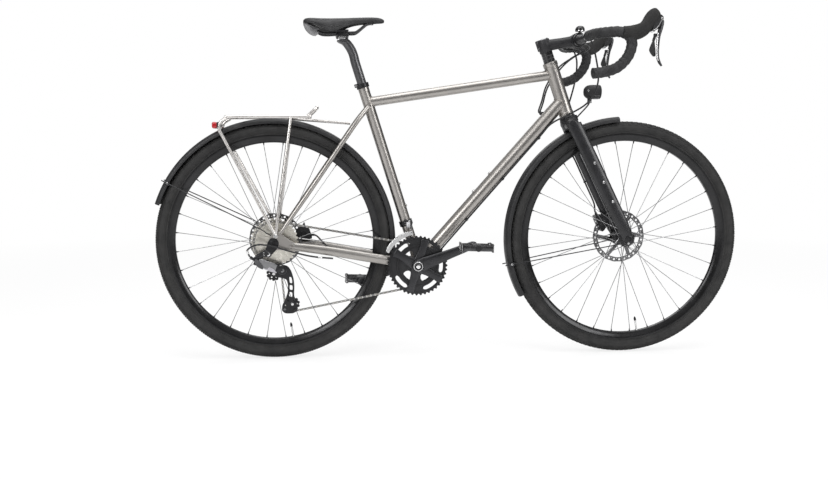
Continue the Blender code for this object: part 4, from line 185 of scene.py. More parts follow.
def make_materials():
    brushed("titanium", (0.3, 0.286, 0.27), (0.365, 0.349, 0.331), 0.33, 0.37, 1400.0, (0.6, 1.0, 1.0), 0.005)
    brushed("weld", (0.255, 0.236, 0.217), (0.35, 0.326, 0.302), 0.28, 0.42, 700.0, (1, 1, 1), 0.22)
    brushed("rack_titanium", (0.54, 0.52, 0.5), (0.66, 0.64, 0.62), 0.26, 0.34, 1400.0,
        (0.6, 1.0, 1.0), 0.015)
    moulded("paint_black", (0.012, 0.012, 0.013), (0.02, 0.02, 0.022), 0.26, 0.36, 900.0, 0.05, 0.3, 0.15)
    moulded("satin_black", (0.014, 0.014, 0.015), (0.026, 0.026, 0.028), 0.36, 0.5, 1500.0, 0.1)
    moulded("gloss_black", (0.01, 0.01, 0.011), (0.018, 0.018, 0.019), 0.12, 0.22, 800.0, 0.03, 0.4, 0.3)
    brushed("black_alloy", (0.012, 0.012, 0.013), (0.024, 0.024, 0.026), 0.3, 0.44,
        1200.0, (1, 1, 1), 0.08, 0.5)
    moulded("black_plastic", (0.011, 0.011, 0.012), (0.021, 0.021, 0.022), 0.42, 0.58, 1900.0, 0.22)
    moulded("guard_plastic", (0.015, 0.015, 0.016), (0.026, 0.026, 0.027), 0.38, 0.52, 1700.0, 0.12)
    moulded("rubber", (0.011, 0.011, 0.011), (0.022, 0.0215, 0.021), 0.62, 0.8, 1300.0, 0.35, 0.25)
    moulded("hose_rubber", (0.014, 0.014, 0.015), (0.026, 0.026, 0.027), 0.36, 0.5, 1500.0, 0.1)
    brushed("steel", (0.55, 0.55, 0.55), (0.7, 0.7, 0.7), 0.18, 0.3, 1500.0, (1, 1, 1), 0.05)
    brushed("polished", (0.66, 0.66, 0.67), (0.8, 0.8, 0.8), 0.1, 0.2, 1500.0, (1, 1, 1), 0.02)
    brushed("nickel", (0.52, 0.5, 0.45), (0.82, 0.79, 0.72), 0.22, 0.38, 1200.0, (1, 1, 1), 0.1)
    brushed("chain_steel", (0.2, 0.19, 0.175), (0.36, 0.35, 0.33), 0.26, 0.42, 900.0, (1, 1, 1), 0.12)
    brushed("dark_steel", (0.14, 0.14, 0.145), (0.24, 0.24, 0.245), 0.26, 0.4, 1100.0, (1, 1, 1), 0.1)
    brushed("spoke_steel", (0.16, 0.16, 0.162), (0.27, 0.27, 0.275), 0.24, 0.36, 1500.0, (1, 1, 1), 0.05)
    brushed("ring_black", (0.016, 0.016, 0.017), (0.034, 0.034, 0.036), 0.28, 0.42,
        1300.0, (1, 1, 1), 0.1, 0.6)
    brushed("crank_black", (0.024, 0.024, 0.026), (0.042, 0.042, 0.045), 0.24, 0.38,
        1500.0, (1, 1, 1), 0.05, 0.6)
    brushed("pedal_cage", (0.055, 0.055, 0.057), (0.14, 0.14, 0.144), 0.24, 0.44, 900.0, (1, 1, 1), 0.22, 0.9)
    brushed("lilac_face", (0.4, 0.39, 0.42), (0.52, 0.51, 0.54), 0.24, 0.36, 1500.0, (1, 1, 0.1), 0.06)
    brushed("post_grey", (0.05, 0.05, 0.052), (0.12, 0.12, 0.124), 0.22, 0.38, 500.0,
        (1.0, 1.0, 0.06), 0.05, 0.7)
    brushed("rim_black", (0.013, 0.013, 0.0135), (0.024, 0.024, 0.025), 0.16, 0.27,
        1500.0, (1, 1, 1), 0.04, 0.6)
    brushed("rotor_steel", (0.115, 0.115, 0.118), (0.2, 0.2, 0.204), 0.2, 0.34, 1400.0, (1, 1, 1), 0.05)
    moulded("base_grey", (0.16, 0.16, 0.165), (0.25, 0.25, 0.255), 0.4, 0.55, 1400.0, 0.2)
    brushed("rail_black", (0.02, 0.02, 0.021), (0.038, 0.038, 0.04), 0.16, 0.28, 1500.0, (1, 1, 1), 0.04, 0.6)
    tree, shader = shader_of("tyre", (0.018, 0.018, 0.018), 0.74, 0.0, 0.0, 0.2)
    tint(tree, shader, noise(tree, 30.0, detail=6.0), (0.019, 0.019, 0.0192), (0.033, 0.0325, 0.032))
    roughen(tree, shader, noise(tree, 80.0), 0.62, 0.84)
    bump(tree, shader, noise(tree, 1100.0, detail=4.0), 0.4, 0.0003)
    tree, shader = shader_of("tape", (0.018, 0.018, 0.019), 0.62, 0.0, 0.0, 0.25)
    tint(tree, shader, noise(tree, 40.0), (0.014, 0.014, 0.015), (0.03, 0.03, 0.031))
    roughen(tree, shader, noise(tree, 150.0), 0.5, 0.72)
    bump(tree, shader, pores(tree, 700.0), 0.35, 0.0003)
    tree, shader = shader_of("saddle_cover", (0.018, 0.018, 0.019), 0.48, 0.0, 0.0, 0.3)
    tint(tree, shader, noise(tree, 26.0, detail=5.0), (0.014, 0.014, 0.015), (0.027, 0.027, 0.028))
    roughen(tree, shader, noise(tree, 90.0), 0.38, 0.54)
    bump(tree, shader, pores(tree, 950.0), 0.3, 0.0002)
    tree, shader = shader_of("red_lens", (0.42, 0.012, 0.018), 0.16, 0.0, 0.6)
    tint(tree, shader, noise(tree, 120.0), (0.3, 0.008, 0.012), (0.48, 0.016, 0.022))
    bump(tree, shader, noise(tree, 500.0, (1.0, 1.0, 0.2)), 0.15, 0.0003)
    tree, shader = shader_of("clear_lens", (0.8, 0.83, 0.85), 0.08, 0.0, 0.8)
    shader.inputs["Transmission Weight"].default_value = 0.55
    tint(tree, shader, noise(tree, 90.0), (0.7, 0.74, 0.77), (0.84, 0.87, 0.88))
    bump(tree, shader, noise(tree, 320.0), 0.2, 0.0004)


# Mesh helpers


def finish_mesh(bm):
    bmesh.ops.recalc_face_normals(bm, faces=bm.faces[:])
    mesh = bpy.data.meshes.new("shape")
    bm.to_mesh(mesh)
    bm.free()
    return mesh


def mesh_of(rings, closed=False, caps=True):
    """A skin through rings of equally many points. A ring of one point is a pole."""
    bm = bmesh.new()
    made = [[bm.verts.new(p) for p in ring] for ring in rings]
    pairs = list(zip(made, made[1:]))
    if closed:
        pairs.append((made[-1], made[0]))
    for low, high in pairs:
        count = max(len(low), len(high))
        if count == 1:
            continue
        for i in range(count):
            j = (i + 1) % count
            if len(low) == 1:
                bm.faces.new((low[0], high[j], high[i]))
            elif len(high) == 1:
                bm.faces.new((low[i], low[j], high[0]))
            else:
                bm.faces.new((low[i], low[j], high[j], high[i]))
    if caps and not closed:
        for ring in (made[0], made[-1]):
            if len(ring) > 2:
                bm.faces.new(ring)
    return finish_mesh(bm)


def frame_of(direction, up=None):
    along = Vector(direction).normalized()
    up = Vector(up) if up else (Z if abs(along.z) < 0.98 else X)
    side = along.cross(up).normalized()
    return side, side.cross(along).normalized()


def ellipse(centre, side, up, half_w, half_h, count, power=1.0):
    """Points round an ellipse. A power under 1 squares it off."""
    points = []
    for i in range(count):
        angle = 2.0 * pi * i / count
        c, s = cos(angle), sin(angle)
        c = copysign(abs(c) ** power, c)
        s = copysign(abs(s) ** power, s)
        points.append(centre + side * (half_w * c) + up * (half_h * s))
    return points


def sweep(path, sizes, count=16, up=None, closed=False, power=1.0):
    """A tube along a path. Each size is a radius, or a pair of half width and half height."""
    path = [Vector(p) for p in path]
    if isinstance(sizes, float):
        sizes = [sizes] * len(path)
    rings = []
    last = len(path) - 1
    side = None
    for i, point in enumerate(path):
        before = path[i - 1] if i or closed else point
        after = path[(i + 1) % len(path)] if i < last or closed else point
        along = ((after - point).normalized() + (point - before).normalized()).normalized()
        if up is not None or side is None:
            side, over = frame_of(along, up)
        else:
            side = (side - along * side.dot(along)).normalized()
            over = side.cross(along).normalized()
        half_w, half_h = sizes[i] if isinstance(sizes[i], tuple) else (sizes[i], sizes[i])
        rings.append(ellipse(point, side, over, half_w, half_h, count, power))
    return mesh_of(rings, closed=closed)


def turned(profile, centre, axis, count=32):
    """A closed profile of (radius, distance along the axis) turned all the way round."""
    side, up = frame_of(axis)
    axis = Vector(axis).normalized()
    rings = []
    for radius, along in profile:
        at = Vector(centre) + axis * along
        rings.append([at] if radius < 1e-6 else ellipse(at, side, up, radius, radius, count))
    if len(rings[0]) == 1:
        return mesh_of(rings, caps=False)
    return mesh_of(rings, closed=True)


def mirrored(half):
    """A profile for turned whose second half mirrors its first."""
    return half + [(radius, -along) for radius, along in half[::-1]]


def cylinder(start, end, radius, count=20, edge=0.0):
    """A round bar, with its edges broken by that much."""
    start, end = Vector(start), Vector(end)
    length = (end - start).length
    edge = edge or min(radius * 0.12, length * 0.2)
    profile = [(0.0, 0.0), (radius - edge, 0.0), (radius, edge), (radius, length - edge),
        (radius - edge, length), (0.0, length)]
    return turned(profile, start, end - start, count)


def side_plate(loops, y_low, y_high):
    """A flat plate in the XZ plane: the first loop is its outline, and the others are holes."""
    bm = bmesh.new()
    edges = []
    walls = []
    for loop in loops:
        verts = [bm.verts.new((x, y_low, z)) for x, z in loop]
        pairs = list(zip(verts, verts[1:] + verts[:1]))
        edges += [bm.edges.new(pair) for pair in pairs]
        walls += pairs
    bmesh.ops.triangle_fill(bm, use_beauty=True, use_dissolve=False, edges=edges)
    copies = {v: bm.verts.new((v.co.x, y_high, v.co.z)) for v in bm.verts[:]}
    for face in bm.faces[:]:
        bm.faces.new([copies[v] for v in reversed(face.verts)])
    for a, b in walls:
        bm.faces.new((a, b, copies[b], copies[a]))
    return finish_mesh(bm)


def polar(centre, radius, angle):
    return (centre[0] + radius * cos(angle), centre[1] + radius * sin(angle))


def hole(centre, radius, count):
    """A round hole for side_plate."""
    return [polar(centre, radius, 2.0 * pi / count * i) for i in range(count)][::-1]


def block(centre, size, turn=0.0, bevel=0.0, segments=2):
    """A box whose length lies along X before it is turned about Y."""
    bm = bmesh.new()
    bmesh.ops.create_cube(bm, size=1.0)
    bmesh.ops.scale(bm, vec=size, verts=bm.verts[:])
    if bevel:
        bmesh.ops.bevel(bm, geom=bm.edges[:], offset=bevel, segments=segments, affect="EDGES", profile=0.5)
    matrix = Matrix.Translation(Vector(centre)) @ Matrix.Rotation(turn, 4, Y)
    bmesh.ops.transform(bm, matrix=matrix, verts=bm.verts[:])
    return finish_mesh(bm)


def smooth_path(points, per_span):
    """Points on a smooth curve through the given ones."""
    points = [Vector(p) for p in points]
    ends = [2 * points[0] - points[1]] + points + [2 * points[-1] - points[-2]]
    path = []
    for i in range(1, len(ends) - 2):
        a, b, c, d = ends[i - 1:i + 3]
        for step in range(per_span):
            t = step / per_span
            bend = (2 * a - 5 * b + 4 * c - d) * t**2
            path.append(0.5 * (2 * b + (c - a) * t + bend + (3 * b - a - 3 * c + d) * t**3))
    path.append(points[-1])
    return path


def smooth_sizes(values, per_span):
    """Sizes that go with smooth_path, in straight steps between the given ones."""
    sizes = []
    for a, b in zip(values, values[1:]):
        for step in range(per_span):
            t = step / per_span
            if isinstance(a, tuple):
                sizes.append((a[0] + (b[0] - a[0]) * t, a[1] + (b[1] - a[1]) * t))
            else:
                sizes.append(a + (b - a) * t)
    sizes.append(values[-1])
    return sizes


def joined(meshes):
    bm = bmesh.new()
    for mesh in meshes:
        bm.from_mesh(mesh)
    mesh = bpy.data.meshes.new("shape")
    bm.to_mesh(mesh)
    bm.free()
    return mesh


def piece(name, body, material, meshes, stands_for="", bevel=0.0, subdivide=0, angle=38.0, segments=2):
    """One finished piece that rides on a body, and may stand for a plain solid."""
    mesh = joined(meshes)
    mesh.transform(Matrix.Translation((-WHEELBASE / 2.0, 0.0, 0.0)))
    mesh.materials.append(MATERIALS[material])
    mesh.shade_smooth()
    mesh.set_sharp_from_angle(angle=radians(angle))
    obj = bpy.data.objects.new(name, mesh)
    bpy.context.scene.collection.objects.link(obj)
    if bevel:
        modifier = obj.modifiers.new("edges", "BEVEL")
        modifier.width = bevel
        modifier.segments = segments
        modifier.limit_method = "ANGLE"
        modifier.angle_limit = radians(40.0)
        modifier.harden_normals = True
    if subdivide:
        modifier = obj.modifiers.new("smooth", "SUBSURF")
        modifier.levels = subdivide
        modifier.render_levels = subdivide
    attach(obj, body)
    if stands_for:
        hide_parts(stands_for)
    return obj


def facing(way, axis):
    """The direction or its opposite, whichever looks along the axis."""
    return way if way.dot(axis) > 0 else -way


def ray(angle):
    """A unit vector in the XZ plane, at an angle from X."""
    return vec(cos(angle), 0.0, sin(angle))


def socket_screw(at, direction, radius=0.0035, height=0.003, depth=0.0016):
    """A round screw head with a six-sided socket."""
    at, axis = Vector(at), Vector(direction).normalized()
    side, up = frame_of(axis)
    rings = [[at]] + [ellipse(at + axis * height * level, side, up, radius * share, radius * share, 24)
        for level, share in ((0.0, 1.0), (0.8, 1.0), (1.0, 0.86))]
    for share, level in ((0.52, height), (0.5, height - depth)):
        ring = []
        for i in range(24):
            turn = 2.0 * pi * i / 24
            reach = radius * share / max(cos((turn + pi / 6.0) % (pi / 3.0) - pi / 6.0), 0.8)
            ring.append(at + axis * level + side * (reach * cos(turn)) + up * (reach * sin(turn)))
        rings.append(ring)
    rings.append([at + axis * (height - depth)])
    return mesh_of(rings, caps=False)


# Camera, light and floor


PHOTO_W = 828.0
FOCAL = 931.0
CENTRE_U = 382.0
CAMERA_AT = (0.133 - WHEELBASE / 2.0, -2.758, 0.63)


def make_camera():
    """The photograph's camera, level to within a few degrees and a little below the saddle."""
    yaw, pitch, roll = radians(-3.83), radians(-5.76), radians(-0.27)
    ahead = vec(-sin(yaw) * cos(pitch), cos(yaw) * cos(pitch), sin(pitch))
    right = vec(cos(yaw), sin(yaw), 0.0)
    up = right.cross(ahead)
    across = right * cos(roll) + up * sin(roll)
    over = -right * sin(roll) + up * cos(roll)
    data = bpy.data.cameras.new("camera")
    data.lens = FOCAL * 36.0 / PHOTO_W
    data.sensor_width = 36.0
    data.shift_x = (PHOTO_W / 2.0 - CENTRE_U) / PHOTO_W
    data.shift_y = -0.001
    data.clip_end = 60.0
    camera = bpy.data.objects.new("camera", data)
    bpy.context.scene.collection.objects.link(camera)
    turn = Matrix((across, over, -ahead)).transposed().to_4x4()
    camera.matrix_world = Matrix.Translation(CAMERA_AT) @ turn
    bpy.context.scene.camera = camera


def soft_light(name, place, aim, size, power, height=None):
    data = bpy.data.lights.new(name, "AREA")
    data.shape = "RECTANGLE"
    data.size = size
    data.size_y = height or size
    data.energy = power
    lamp = bpy.data.objects.new(name, data)
    bpy.context.scene.collection.objects.link(lamp)
    lamp.location = place
    lamp.rotation_euler = (Vector(aim) - Vector(place)).to_track_quat("-Z", "Y").to_euler()


def pale(tree):
    """An even pale light for eyes and glass, so that the background stays plain."""
    path = tree.nodes.new("ShaderNodeLightPath")
    most = tree.nodes.new("ShaderNodeMath")
    most.operation = "MAXIMUM"
    tree.links.new(path.outputs["Is Camera Ray"], most.inputs[0])
    tree.links.new(path.outputs["Is Transmission Ray"], most.inputs[1])
    return most.outputs[0]


def make_stage():
    world = bpy.data.worlds.new("studio")
    world.use_nodes = True
    tree = world.node_tree
    low = tree.nodes["Background"]
    where = tree.nodes.new("ShaderNodeTexCoord")
    parts = tree.nodes.new("ShaderNodeSeparateXYZ")
    sky = tree.nodes.new("ShaderNodeValToRGB")
    stops = ((0.0, 0.5), (0.44, 0.4), (0.52, 0.1), (0.62, 0.12), (0.74, 0.62), (1.0, 0.8))
    for k, (place, level) in enumerate(stops):
        stop = sky.color_ramp.elements[k] if k < 2 else sky.color_ramp.elements.new(place)
        stop.position = place
        stop.color = (level, level, level * 1.01, 1.0)
    rise = tree.nodes.new("ShaderNodeMapRange")
    rise.inputs[1].default_value = -1.0
    tree.links.new(where.outputs["Generated"], parts.inputs[0])
    tree.links.new(parts.outputs["Z"], rise.inputs[0])
    tree.links.new(rise.outputs[0], sky.inputs[0])
    tree.links.new(sky.outputs[0], low.inputs["Color"])
    low.inputs["Strength"].default_value = 0.8
    high = tree.nodes.new("ShaderNodeBackground")
    high.inputs["Color"].default_value = (1.0, 1.0, 1.0, 1.0)
    high.inputs["Strength"].default_value = 1.0
    mix = tree.nodes.new("ShaderNodeMixShader")
    tree.links.new(pale(tree), mix.inputs[0])
    tree.links.new(low.outputs[0], mix.inputs[1])
    tree.links.new(high.outputs[0], mix.inputs[2])
    tree.links.new(mix.outputs[0], tree.nodes["World Output"].inputs["Surface"])
    bpy.context.scene.world = world
    make_floor()
    soft_light("over", (0.1, -0.6, 3.4), (0.0, 0.0, 0.4), 3.4, 84.0, 2.2)
    soft_light("front_left", (-2.6, -3.0, 2.2), (0.0, 0.0, 0.5), 1.8, 74.0)
    soft_light("front_right", (2.8, -2.8, 1.8), (0.1, 0.0, 0.5), 1.6, 56.0)
    soft_light("behind", (0.4, 3.0, 2.6), (0.0, 0.0, 0.5), 2.4, 34.0)


def make_floor():
    """A wide pale floor that fades into the background and keeps a soft shadow."""
    corners = ((-9, -6), (9, -6), (9, 14), (-9, 14))
    mesh = mesh_of([[(x, y, z) for x, y in corners] for z in (0.0, -0.02)])
    floor = bpy.data.objects.new("floor", mesh)
    bpy.context.scene.collection.objects.link(floor)
    material = bpy.data.materials.new("floor")
    material.use_nodes = True
    tree = material.node_tree
    shader = tree.nodes["Principled BSDF"]
    shader.inputs["Base Color"].default_value = (0.9, 0.9, 0.9, 1.0)
    shader.inputs["Roughness"].default_value = 0.62
    glow = tree.nodes.new("ShaderNodeEmission")
    glow.inputs["Color"].default_value = (1.0, 1.0, 1.0, 1.0)
    mix = tree.nodes.new("ShaderNodeMixShader")
    where = tree.nodes.new("ShaderNodeTexCoord")
    away = tree.nodes.new("ShaderNodeVectorMath")
    away.operation = "LENGTH"
    tree.links.new(where.outputs["Object"], away.inputs[0])
    fade = tree.nodes.new("ShaderNodeMapRange")
    for k, value in ((1, 0.8), (2, 4.2), (3, 0.76), (4, 1.0)):
        fade.inputs[k].default_value = value
    tree.links.new(away.outputs["Value"], fade.inputs[0])
    share = tree.nodes.new("ShaderNodeMath")
    share.operation = "MULTIPLY"
    tree.links.new(pale(tree), share.inputs[0])
    tree.links.new(fade.outputs[0], share.inputs[1])
    tree.links.new(share.outputs[0], mix.inputs[0])
    tree.links.new(shader.outputs[0], mix.inputs[1])
    tree.links.new(glow.outputs[0], mix.inputs[2])
    tree.links.new(mix.outputs[0], tree.nodes["Material Output"].inputs["Surface"])
    mesh.materials.append(material)


# Wheels


def make_tyre(name, body, axle):
    """A gravel tyre: a round casing with thin moulded rings, and rows of small tread blocks."""
    bead, top, half = BEAD_R + 0.0012, TYRE_R - 0.0014, 0.02
    outline = [(bead, 0.0122), (bead + 0.002, 0.0131), (bead + 0.0036, 0.0128), (bead + 0.005, 0.0134),
        (0.319, 0.016), (0.3225, 0.0179), (0.3228, 0.0183), (0.3236, 0.0183), (0.3239, 0.0181),
        (0.3262, 0.019), (0.329, half - 0.0001), (0.332, half - 0.0001), (0.3345, 0.0192), (0.3368, 0.018),
        (0.337, 0.0185), (0.3388, 0.017), (0.3408, 0.0148), (0.3426, 0.0124), (0.3444, 0.0098),
        (0.3459, 0.007), (0.347, 0.004), (top, 0.0)]
    casing = [(r, -w) for r, w in outline] + [(r, w) for r, w in outline[-2::-1]]
    piece(name + "_casing", body, "tyre", [turned(casing, axle, Y, 160)], name, angle=25.0)
    rows = ((0.0, 150, 0.0, 0.0062, 0.0036), (0.0048, 150, 0.5, 0.0062, 0.0034),
        (0.0092, 150, 0.0, 0.006, 0.0034), (0.0132, 110, 0.5, 0.0095, 0.0034),
        (0.0166, 110, 0.0, 0.008, 0.003))
    bm = bmesh.new()
    for place, count, shift, length, width in rows:
        for way in (-1, 1) if place else (1,):
            y = place * way
            base = casing_radius(outline, abs(y)) - 0.0006
            slope = 0.0
            if place:
                fall = casing_radius(outline, abs(y) - 0.001) - casing_radius(outline, abs(y) + 0.001)
                slope = fall / 0.002
            lean = atan(slope) * way
            for i in range(count):
                out = ray(2.0 * pi * (i + shift) / count)
                along = vec(-out.z, 0.0, out.x)
                up = out * cos(lean) + Y * sin(lean)
                across = Y * cos(lean) - out * sin(lean)
                centre = axle + out * base + Y * y
                add_block(bm, centre, along * length / 2.0, across * width / 2.0, up * 0.0019)
    piece(name + "_tread", body, "tyre", [finish_mesh(bm)], angle=30.0)


def casing_radius(outline, y):
    """The casing's radius over a distance from its middle, on its outer half."""
    points = sorted((w, r) for r, w in outline if r > 0.33)
    for (a, ra), (b, rb) in zip(points, points[1:]):
        if a <= y <= b:
            return ra + (rb - ra) * (y - a) / (b - a)
    return points[0][1] if y < points[0][0] else points[-1][1]


def add_block(bm, centre, along, across, up):
    """A small tapered block that stands on a surface."""
    corners = ((-1, -1), (1, -1), (1, 1), (-1, 1))
    low = [bm.verts.new(centre + along * a + across * b) for a, b in corners]
    high = [bm.verts.new(centre + along * a * 0.8 + across * b * 0.8 + up) for a, b in corners]
    bm.faces.new(high)
    for i in range(4):
        j = (i + 1) % 4
        bm.faces.new((low[i], low[j], high[j], high[i]))


def make_rim(name, body, axle, valve):
    half = RIM_W / 2.0
    profile = [(BEAD_R + 0.0002, -half + 0.001), (BEAD_R + 0.0016, -half + 0.0002), (BEAD_R + 0.0014, -half),
        (BEAD_R - 0.004, -half), (BEAD_R - 0.0062, -half + 0.0006), (BEAD_R - 0.013, -half * 0.74),
        (RIM_INNER_R + 0.0018, -half * 0.52), (RIM_INNER_R + 0.0003, -half * 0.4),
        (RIM_INNER_R, -half * 0.25)]
    piece(name + "_hoop", body, "rim_black", [turned(mirrored(profile), axle, Y, 160)], name, angle=32.0)
    nipples = []
    for index in range(SPOKES):
        out = ray(2.0 * pi * (index + 0.5) / SPOKES)
        at = axle + out * (RIM_INNER_R + 0.001)
        nipples.append(cylinder(at, at - out * 0.0052, 0.0019, 10))
        nipples.append(cylinder(at - out * 0.005, at - out * 0.0078, 0.0015, 8))
    piece(name + "_nipples", body, "black_alloy", nipples)
    out = ray(valve)
    at = axle + out * (RIM_INNER_R + 0.0005)
    piece(name + "_valve", body, "steel", [cylinder(at, at - out * 0.03, 0.0028, 14),
        cylinder(at, at - out * 0.003, 0.0046, 14)])
    piece(name + "_valve_cap", body, "black_plastic", [turned([(0.0, 0.03), (0.0036, 0.03), (0.0034, 0.037),
        (0.0016, 0.042), (0.0, 0.042)], at, -out, 14)])


def spoke_line(axle, index, flange_y):
    rim_angle = 2.0 * pi * (index + 0.5) / SPOKES
    way = 1.0 if (index // 2) % 2 else -1.0
    layer = 0.0017 * way
    hub_angle = rim_angle + radians(52.0) * way
    start = axle + vec(0.0222 * cos(hub_angle), flange_y + layer, 0.0222 * sin(hub_angle))
    end_r = RIM_INNER_R - 0.005
    end = axle + vec(end_r * cos(rim_angle), flange_y * 0.1 + layer * 0.4, end_r * sin(rim_angle))
    return start, end, way


def make_hub(name, body, axle, right_y, left_y, right_end, left_end, rotor_y):
    """Hub shell with its flanges, reaching out to the rotor's carrier, and its spokes with their elbows."""
    half = 0.0015
    right_seat = right_y - 0.006 if right_end < right_y - 0.006 else right_y - 0.002
    shell = [(0.0064, right_end), (0.0098, right_end), (0.0102, right_end + 0.0006), (0.0125, right_seat),
        (0.0236, right_y - half - 0.001), (0.0256, right_y - half), (0.0261, right_y - half * 0.4),
        (0.0261, right_y + half * 0.4), (0.0256, right_y + half), (0.019, right_y + half + 0.001),
        (0.0148, right_y + 0.006), (0.0125, right_y + 0.012), (0.0116, (right_y + left_y) / 2.0),
        (0.0125, left_y - 0.012), (0.0148, left_y - 0.006), (0.019, left_y - half - 0.001),
        (0.0256, left_y - half), (0.0261, left_y - half * 0.4), (0.0261, left_y + half * 0.4),
        (0.0256, left_y + half), (0.02, left_y + half + 0.0012), (0.0172, left_y + 0.0058),
        (0.0165, rotor_y - 0.0016), (0.0102, rotor_y - 0.0012), (0.0098, left_end), (0.0064, left_end)]
    piece(name + "_shell", body, "black_alloy", [turned(shell, axle, Y, 48)], name + "_spokes", angle=34.0)
    spokes, heads = [], []
    for index in range(SPOKES):
        flange_y = left_y if index % 2 else right_y
        start, end, way = spoke_line(axle, index, flange_y)
        spokes.append(sweep([start, start.lerp(end, 0.1), start.lerp(end, 0.13), start.lerp(end, 0.9), end],
            [0.00115, 0.00115, 0.00092, 0.00092, 0.00112], 8))
        elbow = start - Y * (0.0017 * way)
        spokes.append(cylinder(start, elbow - Y * 0.0022 * way, 0.0011, 8))
        heads.append(cylinder(elbow - Y * 0.002 * way, elbow - Y * 0.0031 * way, 0.0019, 10))
    piece(name + "_spoke_wires", body, "spoke_steel", spokes)
    piece(name + "_spoke_heads", body, "spoke_steel", heads)


ROTOR_ARMS = 6
ROTOR_HOLES = 56


def make_rotor(name, body, axle, y):
    """A disc with a drilled wavy band, six swept arms, and a carrier ring with its lock ring."""
    centre = (axle.x, axle.z)
    angles = [2.0 * pi * i / 180 for i in range(180)]
    loops = [[polar(centre, 0.0794 + 0.0005 * cos(a * 18), a) for a in angles], hole(centre, 0.0205, 40)]
    for arm in range(ROTOR_ARMS):
        start, wide = 2.0 * pi * arm / ROTOR_ARMS, 2.0 * pi / ROTOR_ARMS
        rim = [start + wide * (0.08 + 0.84 * k / 12) for k in range(13)]
        window = [polar(centre, 0.0655 + 0.0006 * cos(a * 12), a) for a in rim]
        window += [polar(centre, 0.027, start + wide * (1.06 - 0.5 * k / 6)) for k in range(7)]
        loops.append(window[::-1])
    for i in range(ROTOR_HOLES):
        reach, size = ((0.0727, 0.0033), (0.0699, 0.0012))[i % 2]
        loops.append(hole(polar(centre, reach, 2.0 * pi * (i + 0.5) / ROTOR_HOLES), size, 12))
    piece(name + "_disc", body, "rotor_steel", [side_plate(loops, y - 0.0009, y + 0.0009)], name, angle=30.0)
    ring = [(0.0175, -0.0016), (0.0236, -0.0016), (0.024, -0.0012), (0.024, 0.002),
        (0.021, 0.003), (0.0175, 0.003)]
    piece(name + "_carrier", body, "black_alloy", [turned(ring, axle + Y * y, Y, 48)], angle=30.0)
    lock = [(0.0112, 0.0022), (0.0195, 0.0022), (0.02, 0.0028), (0.0196, 0.0042),
        (0.015, 0.005), (0.0112, 0.005)]
    piece(name + "_lock_ring", body, "dark_steel", [turned(lock, axle + Y * y, Y, 36)], angle=30.0)


def make_axle(name, body, axle, end):
    """A through axle: a plain rod with a socket in its head."""
    rod = cylinder(axle - Y * (end + 0.001), axle + Y * (end + 0.0012), 0.0059, 24)
    head = socket_screw(axle - Y * (end + 0.0003), -Y, 0.0108, 0.0034, 0.0022)
    piece(name + "_rod", body, "black_alloy", [rod, head], name, angle=30.0)


def make_wheels():
    for word, axle, flanges, rotor_y in (("rear", REAR_AXLE, (-0.0185, 0.035, -0.0228, 0.0707), REAR_ROTOR_Y),
            ("front", FRONT_AXLE, (-0.035, 0.023, -0.0497, 0.0497), FRONT_ROTOR_Y)):
        body = word + "_wheel"
        make_tyre(word + "_tyre", body, axle)
        make_rim(word + "_rim", body, axle, radians(-80.0))
        make_hub(word + "_hub", body, axle, *flanges, rotor_y)
        make_rotor(word + "_rotor", body, axle, rotor_y)
    make_axle("rear_axle", "frame", REAR_AXLE, REAR_WALL + DROPOUT_T)
    make_axle("front_axle", "steering", FRONT_AXLE, FRONT_WALL + FORK_END_T)


# Frame


def chainstay_path(side):
    return [vec(BB.x - 0.01, side * 0.022, BB.z + 0.003), vec(BB.x - 0.058, side * 0.0318, BB.z + 0.011),
        vec(BB.x - 0.085, side * 0.0345, BB.z + 0.0155), vec(BB.x - 0.15, side * 0.045, BB.z + 0.027),
        vec(0.15, side * 0.06, 0.3255), vec(0.045, side * 0.0735, 0.341)]


def seatstay_path(side):
    top = on_seat_axis(0.742)
    return [vec(top.x - 0.004, side * 0.012, 0.742), vec(0.245, side * 0.029, 0.701),
        vec(0.205, side * 0.037, 0.644), vec(0.098, side * 0.0575, 0.49), vec(0.012, side * 0.0735, 0.369)]


def weld(start, direction, radius, host_at, host_axis, host_radius, size=0.0017):
    """A rippled bead where a tube meets a round host tube. It follows the line where they cross."""
    along = Vector(direction).normalized()
    axis = Vector(host_axis).normalized()
    side, over = frame_of(along)
    points, sizes = [], []
    count = 84
    for i in range(count):
        angle = 2.0 * pi * i / count
        at = Vector(start) + side * (radius * cos(angle)) + over * (radius * sin(angle))
        offset = at - Vector(host_at)
        flat_o, flat_d = offset - axis * offset.dot(axis), along - axis * along.dot(axis)
        a, b, c = flat_d.dot(flat_d), 2.0 * flat_o.dot(flat_d), flat_o.dot(flat_o) - host_radius**2
        inside = b * b - 4.0 * a * c
        if inside < 0.0:
            continue
        points.append(at + along * ((-b + sqrt(inside)) / (2.0 * a)))
        sizes.append(size * (1.0 + 0.22 * cos(i * 2.0 * pi / 3.0)))
    return sweep(points, sizes, 8, closed=len(points) == count)


def down_tube_ends():
    return vec(BB.x + 0.0075, 0.0, BB.z), on_steering_axis(0.7583)


